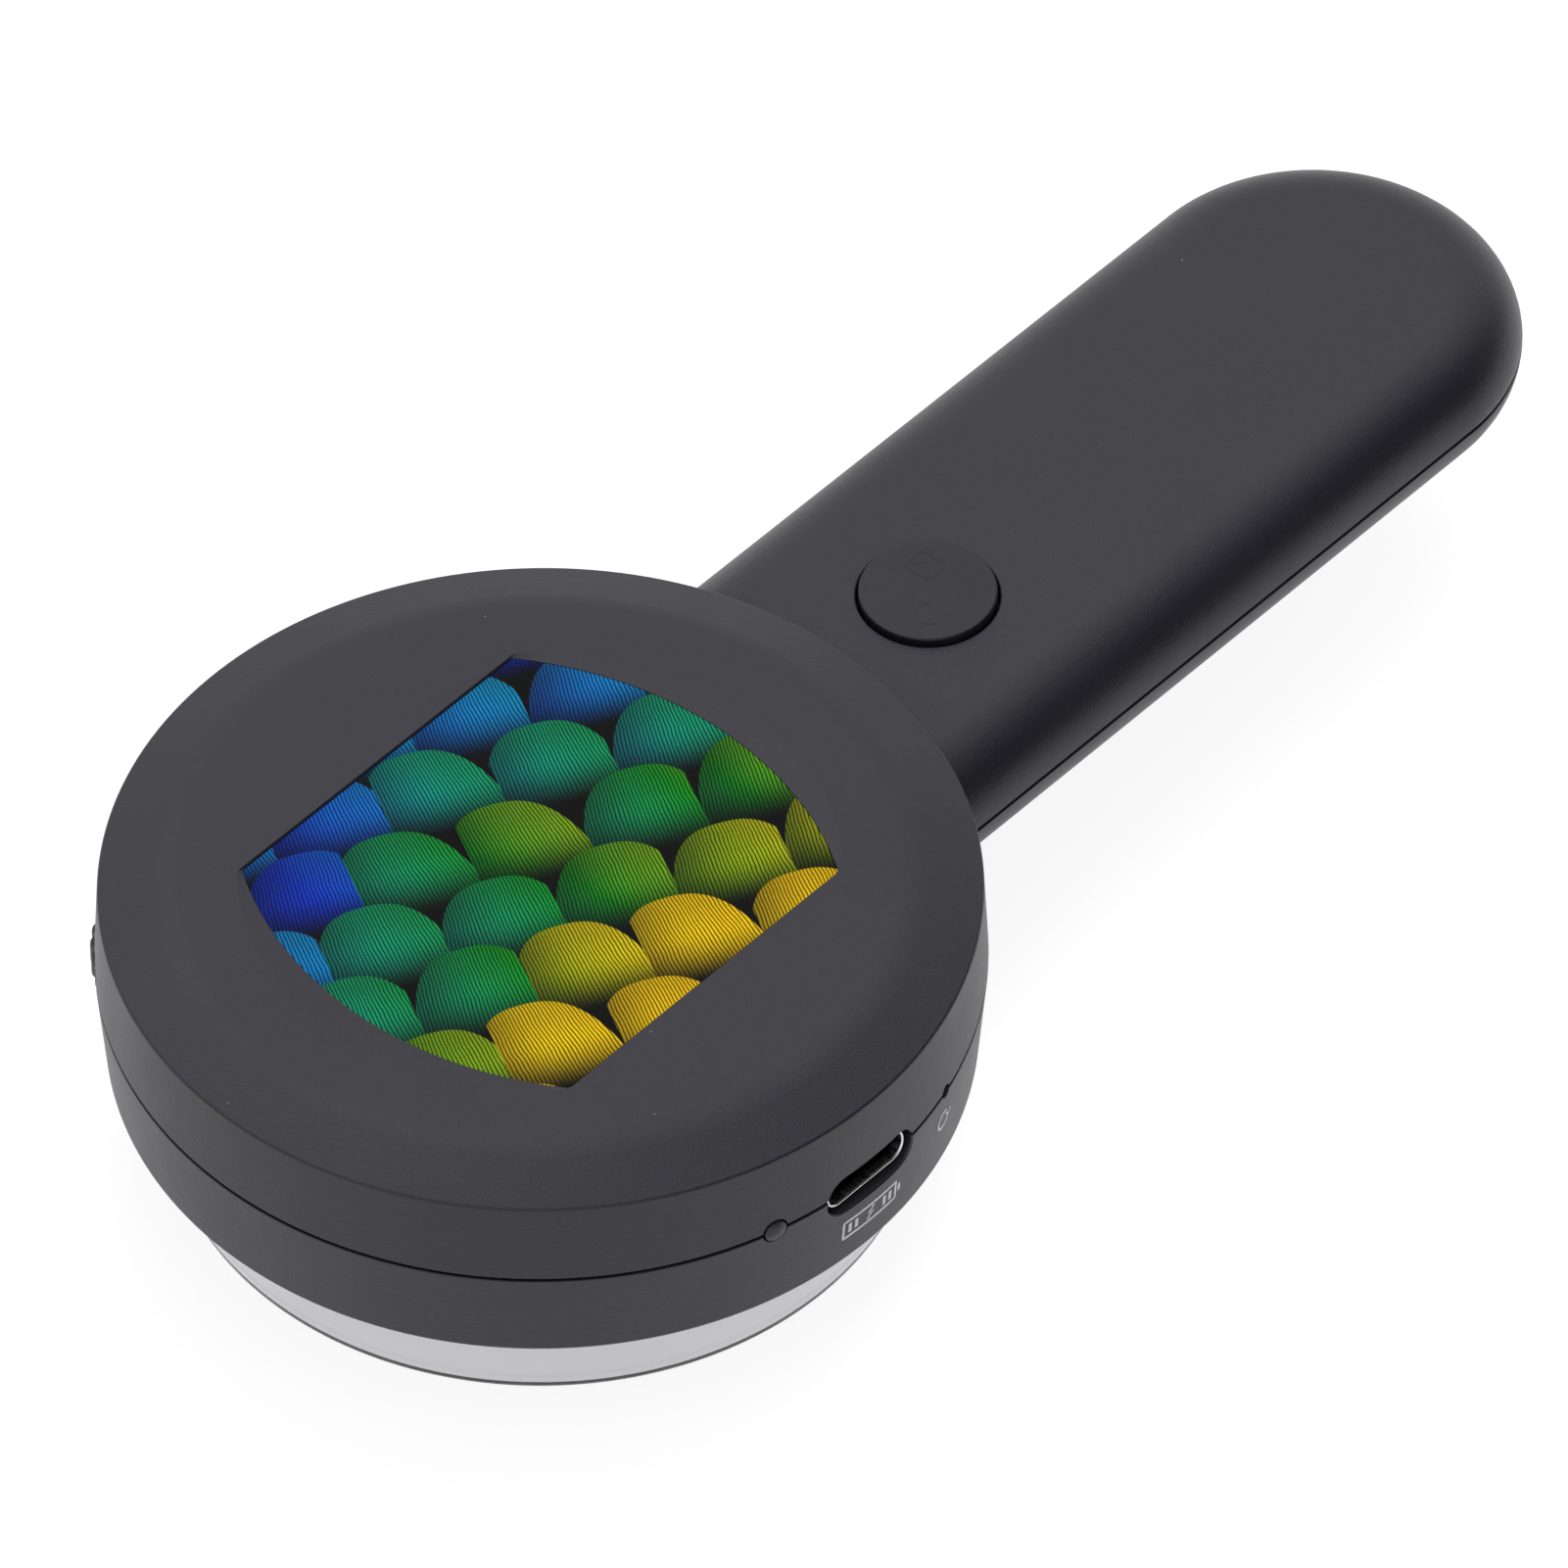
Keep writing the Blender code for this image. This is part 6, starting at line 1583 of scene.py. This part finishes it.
SPECKLE_STOPS = ((0.3, (0.72, 0.72, 0.72)), (0.6, (1.0, 1.0, 1.0)))
HUE_STOPS = (
    (0.0, (0.004, 0.012, 0.4)),
    (0.18, (0.002, 0.04, 0.62)),
    (0.34, (0.0, 0.24, 0.55)),
    (0.46, (0.0, 0.32, 0.2)),
    (0.58, (0.0, 0.3, 0.01)),
    (0.72, (0.3, 0.42, 0.0)),
    (0.84, (0.85, 0.6, 0.0)),
    (1.0, (0.95, 0.58, 0.0)),
)


def new_finish(name):
    """A material with its Principled BSDF and its object-space places."""
    material = bpy.data.materials.new(name)
    material.use_nodes = True
    tree = material.node_tree
    shader = tree.nodes["Principled BSDF"]
    place = node(tree, "ShaderNodeTexCoord").outputs["Object"]
    return material, tree, shader, place


def connect(tree, shader, **inputs):
    """Sets or links the shader's own sockets. Underscores stand for spaces."""
    for name, value in inputs.items():
        feed(tree, shader.inputs[name.replace("_", " ")], value)


def bump(tree, height, depth):
    """A normal tilted by a height that changes over the surface, with its depth in metres."""
    made = node(tree, "ShaderNodeBump", {"Height": height, "Distance": depth, "Strength": 1.0})
    return made.outputs[0]


def moulded_plastic(name, colour, pale, roughness, grain_size, depth, dust=0.0):
    """Matte moulded plastic: grain, patches that hands have polished, and a little dust."""
    material, tree, shader, place = new_finish(name)
    grain = use(tree, groups["grain"], Place=place, Grain_Size=grain_size, Unevenness=0.6)
    marks = use(tree, groups["handling"], Place=place)
    specks = use(tree, groups["dust"], Place=place, Share=dust)
    pits = calc(tree, "MULTIPLY", grain["Pits"], PIT_PALENESS)
    mottled = blend(tree, pits, (*colour, 1), (*pale, 1))
    patches = calc(tree, "MULTIPLY", marks["Patches"], PATCH_PALENESS)
    mottled = blend(tree, patches, mottled, (*pale, 1))
    dusty = blend(tree, specks["Specks"], mottled, DUST_COLOUR)
    dull, polished = roughness + PATCH_DULLING, roughness - PATCH_POLISH
    rough = spread(tree, marks["Patches"], 0.0, 1.0, dull, polished)
    rough = calc(tree, "MULTIPLY_ADD", marks["Streaks"], -STREAK_POLISH, rough)
    connect(
        tree, shader, Base_Color=dusty, Roughness=rough, Specular_Tint=SHEEN_TINT,
        Normal=bump(tree, grain["Height"], depth),
    )
    return material


def clear_finish(name, colour, roughness, ior, scratches):
    """Clear polished plastic or glass, with faint scratches in its polish."""
    material, tree, shader, place = new_finish(name)
    marks = use(tree, groups["handling"], Place=place, Patch_Size=0.008, Streak_Size=0.0009)
    rough = calc(tree, "MULTIPLY_ADD", marks["Streaks"], scratches, roughness)
    tint = blend(tree, marks["Patches"], (*colour, 1), (*[part * 0.97 for part in colour], 1))
    connect(
        tree, shader, Base_Color=tint, Roughness=rough, Transmission_Weight=1.0, IOR=ior,
        Normal=bump(tree, marks["Streaks"], -scratches * SCRATCH_DEPTH),
    )
    return material


def frosted_finish():
    """Milky plastic that spreads the lamps' light."""
    material, tree, shader, place = new_finish("frosted_plastic")
    grain = use(tree, groups["grain"], Place=place, Grain_Size=0.00012, Unevenness=0.3)
    tint = blend(tree, grain["Pits"], (0.86, 0.87, 0.87, 1), (0.78, 0.79, 0.8, 1))
    connect(
        tree, shader, Base_Color=tint, Roughness=spread(tree, grain["Height"], 0.3, 1.1, 0.42, 0.6),
        Transmission_Weight=0.45, IOR=1.49, Normal=bump(tree, grain["Height"], 0.00001),
    )
    return material


def metal_finish(name, colour, dull, roughness, line_size):
    """Plated or foiled metal with drawn lines and dull patches."""
    material, tree, shader, place = new_finish(name)
    lines = use(tree, groups["brush"], Place=place, Line_Size=line_size)
    marks = use(tree, groups["handling"], Place=place, Patch_Size=0.004)
    tint = blend(tree, marks["Patches"], (*colour, 1), (*dull, 1))
    rough = spread(tree, lines["Lines"], 0.3, 0.7, roughness - 0.06, roughness + 0.1)
    connect(
        tree, shader, Base_Color=tint, Metallic=1.0, Roughness=rough,
        Normal=bump(tree, lines["Lines"], 0.000004),
    )
    return material


def circuit_finish():
    """Green solder resist over copper tracks, with rows of gold pads."""
    material, tree, shader, place = new_finish("circuit_board")
    tracks = node(
        tree,
        "ShaderNodeTexBrick",
        {
            "Vector": place,
            "Scale": 420.0,
            "Mortar Size": 0.035,
            "Mortar Smooth": 0.2,
            "Brick Width": 1.9,
            "Row Height": 0.42,
            "Color1": (0.008, 0.11, 0.045, 1),
            "Color2": (0.012, 0.15, 0.06, 1),
            "Mortar": (0.03, 0.28, 0.11, 1),
        },
    )
    pads = node(tree, "ShaderNodeTexVoronoi", {"Vector": place, "Scale": 480.0, "Randomness": 0.25})
    pad = spread(tree, pads.outputs["Distance"], 0.17, 0.15)
    grain = use(tree, groups["grain"], Place=place, Grain_Size=0.00015, Unevenness=0.4)
    pits = calc(tree, "MULTIPLY", grain["Pits"], 0.3)
    tint = blend(tree, pits, tracks.outputs["Color"], (0.02, 0.2, 0.08, 1))
    connect(
        tree, shader, Base_Color=blend(tree, pad, tint, (0.75, 0.55, 0.22, 1)), Metallic=pad,
        Roughness=spread(tree, pad, 0.0, 1.0, 0.38, 0.25),
        Normal=bump(tree, calc(tree, "ADD", tracks.outputs["Fac"], pad), 0.00003),
    )
    return material


def ribbon_finish():
    """Amber polyimide film over parallel copper lines."""
    material, tree, shader, place = new_finish("ribbon")
    lines = node(
        tree, "ShaderNodeTexWave", {"Vector": place, "Scale": 330.0, "Distortion": 0.0}, bands_direction="X"
    )
    line = spread(tree, lines.outputs["Fac"], 0.35, 0.55)
    marks = use(tree, groups["handling"], Place=place, Patch_Size=0.005)
    tint = blend(tree, line, (0.32, 0.12, 0.02, 1), (0.62, 0.3, 0.07, 1))
    connect(
        tree, shader, Base_Color=tint, Roughness=spread(tree, marks["Patches"], 0.0, 1.0, 0.3, 0.42),
        Normal=bump(tree, line, 0.00002),
    )
    return material


def soft_finish(name, colour, cell_size, depth, roughness):
    """Foam, rubber, ink or phosphor: open cells or a fine matte skin."""
    material, tree, shader, place = new_finish(name)
    cells = node(tree, "ShaderNodeTexVoronoi", {"Vector": place, "Scale": 1 / cell_size})
    grain = use(tree, groups["grain"], Place=place, Grain_Size=cell_size / 2, Unevenness=0.5)
    lift = calc(tree, "ADD", cells.outputs["Distance"], grain["Height"])
    pale = [part * 1.8 for part in colour]
    tint = blend(tree, cells.outputs["Distance"], (*colour, 1), (*pale, 1))
    connect(tree, shader, Base_Color=tint, Roughness=roughness, Normal=bump(tree, lift, depth))
    return material


def glowing_film():
    """The lit picture: rows of round, ribbed wing scales, blue in one corner, green, then yellow."""
    material, tree, shader, place = new_finish("lit_picture")
    turned_place = node(
        tree, "ShaderNodeMapping", {"Vector": place, "Rotation": (0, 0, math.radians(PICTURE_TILT))}
    ).outputs[0]
    ways = node(tree, "ShaderNodeSeparateXYZ", {"Vector": turned_place})
    across = calc(tree, "DIVIDE", ways.outputs["X"], SCALE_WIDTH * MM)
    along = calc(tree, "DIVIDE", ways.outputs["Y"], SCALE_ROW * MM)
    colour = None
    for rows_up in (0.0, 1.0, 2.0):
        row = use(tree, groups["wing_scale"], Across=across, Along=along, Rows_Up=rows_up)
        painted = scale_colour(tree, row, across, along)
        colour = painted if colour is None else blend(tree, row["Inside"], colour, painted)
    speckle = node(tree, "ShaderNodeTexNoise", {"Vector": place, "Scale": SPECKLE_SCALE, "Detail": 1.0})
    lively = blend(tree, 1.0, colour, ramp(tree, speckle.outputs["Fac"], SPECKLE_STOPS), "MULTIPLY")
    connect(
        tree, shader, Base_Color=(0.004, 0.004, 0.004, 1), Roughness=0.6, Specular_IOR_Level=0.08,
        Emission_Color=lively, Emission_Strength=PICTURE_STRENGTH,
    )
    return material


def scale_colour(tree, row, across, along):
    """One scale's paint: its hue from its place, darker in its furrows and under the row above it."""
    broad = calc(tree, "MULTIPLY_ADD", along, -HUE_DRIFT, 0.5)
    broad = calc(tree, "MULTIPLY_ADD", across, HUE_DRIFT, broad)
    middle = calc(tree, "SUBTRACT", broad, HUE_SPREAD / 2)
    varied = calc(tree, "MULTIPLY_ADD", row["Random"], HUE_SPREAD, middle)
    middle = calc(tree, "SUBTRACT", varied, HUE_SPREAD / 2)
    hue = ramp(tree, calc(tree, "MULTIPLY_ADD", row["Length"], HUE_SPREAD, middle), HUE_STOPS)
    lit = spread(tree, row["Length"], *SCALE_LIT_EDGE)
    flank = spread(tree, row["Side"], *SCALE_FLANK_EDGE, SCALE_FLANK_LIGHT)
    depth = spread(tree, row["Length"], *RIB_FADE, *RIB_DEPTH)
    furrow = calc(tree, "MINIMUM", calc(tree, "MULTIPLY_ADD", row["Ribs"], depth, FURROW_LIGHT), 1.0)
    light = calc(tree, "MULTIPLY", calc(tree, "MULTIPLY", lit, flank), furrow)
    grey = node(tree, "ShaderNodeCombineColor", {0: light, 1: light, 2: light})
    return blend(tree, 1.0, hue, grey.outputs[0], "MULTIPLY")


def sleeve_finish(front):
    """Plated steel with painted shade, darker the further it is inside the socket's mouth."""
    material, tree, shader, place = new_finish("sleeve_steel")
    lines = use(tree, groups["brush"], Place=place, Line_Size=0.00012)
    ways = node(tree, "ShaderNodeSeparateXYZ", {"Vector": place})
    unshaded_share = spread(tree, ways.outputs["X"], front - SLEEVE_SHADE, front - SLEEVE_LIP)
    # The nearly black colour is the painted shade deep in the socket
    tint = blend(tree, unshaded_share, (0.03, 0.03, 0.032, 1), (*METAL_FINISHES["steel"][0], 1))
    rough = spread(tree, lines["Lines"], 0.3, 0.7, 0.2, 0.36)
    connect(
        tree, shader, Base_Color=tint, Metallic=1.0, Roughness=rough,
        Normal=bump(tree, lines["Lines"], 0.000003),
    )
    return material


def build_finishes():
    """Every slot of the record, and the finishes of the pieces that only the scene has."""
    kinds = (
        (moulded_plastic, MOULDED_FINISHES),
        (clear_finish, CLEAR_FINISHES),
        (metal_finish, METAL_FINISHES),
        (soft_finish, SOFT_FINISHES),
    )
    for make, table in kinds:
        for name, values in table.items():
            finishes[name] = make(name, *values)
    finishes["frosted_plastic"] = frosted_finish()
    finishes["circuit_board"] = circuit_finish()
    finishes["ribbon"] = ribbon_finish()
    finishes["sleeve_steel"] = sleeve_finish(PORT_FRONT * MM)
    finishes["lit_picture"] = glowing_film()


# Stage


FLOOR_DROP = 0.2
FLOOR_HALF_SIZE = 6000
FLOOR_TONE = 0.28
FLOOR_LIFT = 0.86
FLOOR_THROUGH_SHARE = 0.5
SKY_DIFFUSE = 0.62
SKY_LEVEL = 0.86
SKY_BRIGHTEST = 2.1
BRIGHT_SIDE = (-0.47, 0.15, 0.87)
BRIGHT_EDGE = (0.94, 0.98)
DARK_SIDE = (0.80, 0.50, 0.22)
DARK_EDGE = (0.43, 0.88)
DARKEST = 0.97
LAMP_AZIMUTH = -150
LAMP_ELEVATION = 62
LAMP_DISTANCE = 1.3
LAMP_SIZE = 0.9
LAMP_POWER = 7.0
CAMERA_AZIMUTH = 42.078
CAMERA_ELEVATION = 46.15
CAMERA_DISTANCE = 1565.5
CAMERA_TARGET = (-9.64, 38.91, 0)
FRAME_PIXELS = 1601
FOCAL_PIXELS = 20000
SENSOR_WIDTH = 36


def back_towards(azimuth, elevation):
    """The direction from the object to a viewer: azimuth 0 stands in front, on -Y."""
    turn = math.radians(azimuth)
    lift = math.radians(elevation)
    return Vector((math.sin(turn) * math.cos(lift), -math.cos(turn) * math.cos(lift), math.sin(lift)))


def make_camera():
    """The camera at the photograph's angle, far off with a long lens."""
    data = bpy.data.cameras.new("camera")
    data.sensor_width = SENSOR_WIDTH
    data.lens = SENSOR_WIDTH * FOCAL_PIXELS / FRAME_PIXELS
    camera = bpy.data.objects.new("camera", data)
    bpy.context.scene.collection.objects.link(camera)
    back = back_towards(CAMERA_AZIMUTH, CAMERA_ELEVATION)
    x, y, z = CAMERA_TARGET
    camera.location = (Vector((x, y + HEAD_Y, z)) + back * CAMERA_DISTANCE) * MM
    camera.rotation_euler = (-back).to_track_quat("-Z", "Y").to_euler()
    data.clip_start = 0.01
    data.clip_end = 50
    bpy.context.scene.camera = camera


def make_floor():
    """A plain floor that shows white, keeps the object's shadow and is dimmer through clear plastic."""
    material, tree, shader, place = new_finish("paper_floor")
    grain = use(tree, groups["grain"], Place=place, Grain_Size=0.001, Unevenness=0.5)
    seen = node(tree, "ShaderNodeLightPath").outputs
    through = calc(tree, "MULTIPLY", seen["Is Transmission Ray"], FLOOR_THROUGH_SHARE)
    mirrored = calc(tree, "MAXIMUM", seen["Is Glossy Ray"], through)
    lift = calc(tree, "MAXIMUM", seen["Is Camera Ray"], mirrored)
    connect(
        tree, shader, Base_Color=(FLOOR_TONE, FLOOR_TONE, FLOOR_TONE, 1), Roughness=0.95,
        Normal=bump(tree, grain["Height"], 0.00002), Emission_Color=(1, 1, 1, 1),
    )
    tree.links.new(calc(tree, "MULTIPLY", lift, FLOOR_LIFT), shader.inputs["Emission Strength"])
    corners = [(x * FLOOR_HALF_SIZE, y * FLOOR_HALF_SIZE) for x, y in ((-1, -1), (1, -1), (1, 1), (-1, 1))]
    form = bmesh.new()
    form.faces.new([form.verts.new((x, y, -FLOOR_DROP)) for x, y in corners])
    floor = piece("floor", form)
    floor.data.materials.append(material)


def facing(tree, way, side):
    """How nearly a way points to a side of the sky, up to 1."""
    inputs = {0: way, 1: Vector(side).normalized()}
    return node(tree, "ShaderNodeVectorMath", inputs, operation="DOT_PRODUCT").outputs["Value"]


def make_sky():
    """Soft light from all round. Gloss mirrors a darker side and a bright spot in it."""
    world = bpy.data.worlds.new("studio")
    bpy.context.scene.world = world
    world.use_nodes = True
    tree = world.node_tree
    background = tree.nodes["Background"]
    way = node(tree, "ShaderNodeTexCoord").outputs["Generated"]
    shade = spread(tree, facing(tree, way, DARK_SIDE), *DARK_EDGE)
    bright = spread(tree, facing(tree, way, BRIGHT_SIDE), *BRIGHT_EDGE, SKY_LEVEL, SKY_BRIGHTEST)
    level = calc(tree, "MULTIPLY_ADD", shade, -DARKEST, bright)
    seen = node(tree, "ShaderNodeLightPath").outputs
    glossy = calc(tree, "MULTIPLY", seen["Is Glossy Ray"], level)
    plain = calc(tree, "MAXIMUM", seen["Is Camera Ray"], seen["Is Transmission Ray"])
    other = calc(tree, "SUBTRACT", 1.0, calc(tree, "MAXIMUM", seen["Is Glossy Ray"], plain))
    diffuse = calc(tree, "MULTIPLY", other, SKY_DIFFUSE)
    strength = calc(tree, "ADD", calc(tree, "ADD", glossy, plain), diffuse)
    tree.links.new(strength, background.inputs["Strength"])
    background.inputs["Color"].default_value = (1, 1, 1, 1)


def make_lamp():
    """One broad soft lamp above and behind, for the soft shadows."""
    data = bpy.data.lights.new("softbox", "AREA")
    data.shape = "RECTANGLE"
    data.size = LAMP_SIZE
    data.size_y = LAMP_SIZE
    data.energy = LAMP_POWER
    lamp = bpy.data.objects.new("softbox", data)
    bpy.context.scene.collection.objects.link(lamp)
    lamp.location = back_towards(LAMP_AZIMUTH, LAMP_ELEVATION) * LAMP_DISTANCE
    lamp.rotation_euler = lamp.location.to_track_quat("Z", "Y").to_euler()
    lamp.visible_glossy = False
    lamp.visible_camera = False
    lamp.visible_transmission = False


# The whole magnifier


def dress_cad_nodes():
    """Every CAD node gets its slot's finish, whether it shows or not."""
    slots = {row["node"]: row["material_slot"] for row in frame["record"]["subparts"]}
    for name, thing in frame["nodes"].items():
        coat(thing, slots[name])


def main():
    """Dresses every node, makes the fine pieces and sets the stage."""
    clear_defaults()
    build_finishes()
    dress_cad_nodes()
    openings = side_openings()
    made = [
        (make_upper_shell(openings), "case", "charcoal_plastic", ["upper_shell"]),
        (make_lower_shell(openings), "case", "charcoal_plastic", ["lower_shell"]),
        (make_cover(), "case", "window_glass", ["display_window"]),
        (make_button_cap(), "button", "charcoal_plastic", ["button_cap"]),
        (make_button_marks(), "button", "charcoal_plastic", []),
        (make_port_sleeve(), "case", "steel", ["usb_port_shell"]),
        (make_port_tongue(), "case", "black_plastic", ["usb_port_tongue"]),
        (make_light_pipe(), "case", "charcoal_plastic", ["status_light_pipe"]),
        (make_lanyard_pin(), "case", "steel", ["lanyard_pin"]),
        (make_focus_wheel(), "focus_wheel", "black_plastic", ["focus_wheel"]),
        (make_barrel(), "lens", "black_plastic", ["lens_barrel"]),
        (make_front_lens(), "lens", "lens_glass", ["front_lens"]),
        (make_diffuser(), "case", "frosted_plastic", ["light_diffuser"]),
        (make_hood(), "case", "clear_plastic", ["hood"]),
    ]
    for number, spot in enumerate(SCREW_PLACES, 1):
        made.append((make_shell_screw(number, spot), "case", "steel", [f"shell_screw_{number}"]))
    extra = [
        (make_film(), "case", "lit_picture"),
        (make_contacts(), "case", "gold"),
        (make_port_mark(), "case", "printed_white"),
        (make_reset_mark(), "case", "printed_white"),
    ]
    drop_cutters({thing for thing, *_ in made + extra})
    for thing, body, slot, nodes in made:
        stand_in(thing, body, slot, *nodes)
    for thing, body, finish in extra:
        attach(thing, body)
        coat(thing, finish)
    make_camera()
    make_floor()
    make_sky()
    make_lamp()
    bpy.context.scene.view_settings.view_transform = "Standard"


groups = {
    "grain": build_grain(),
    "handling": build_handling(),
    "dust": build_dust(),
    "brush": build_brush(),
    "wing_scale": build_wing_scale(),
}
main()
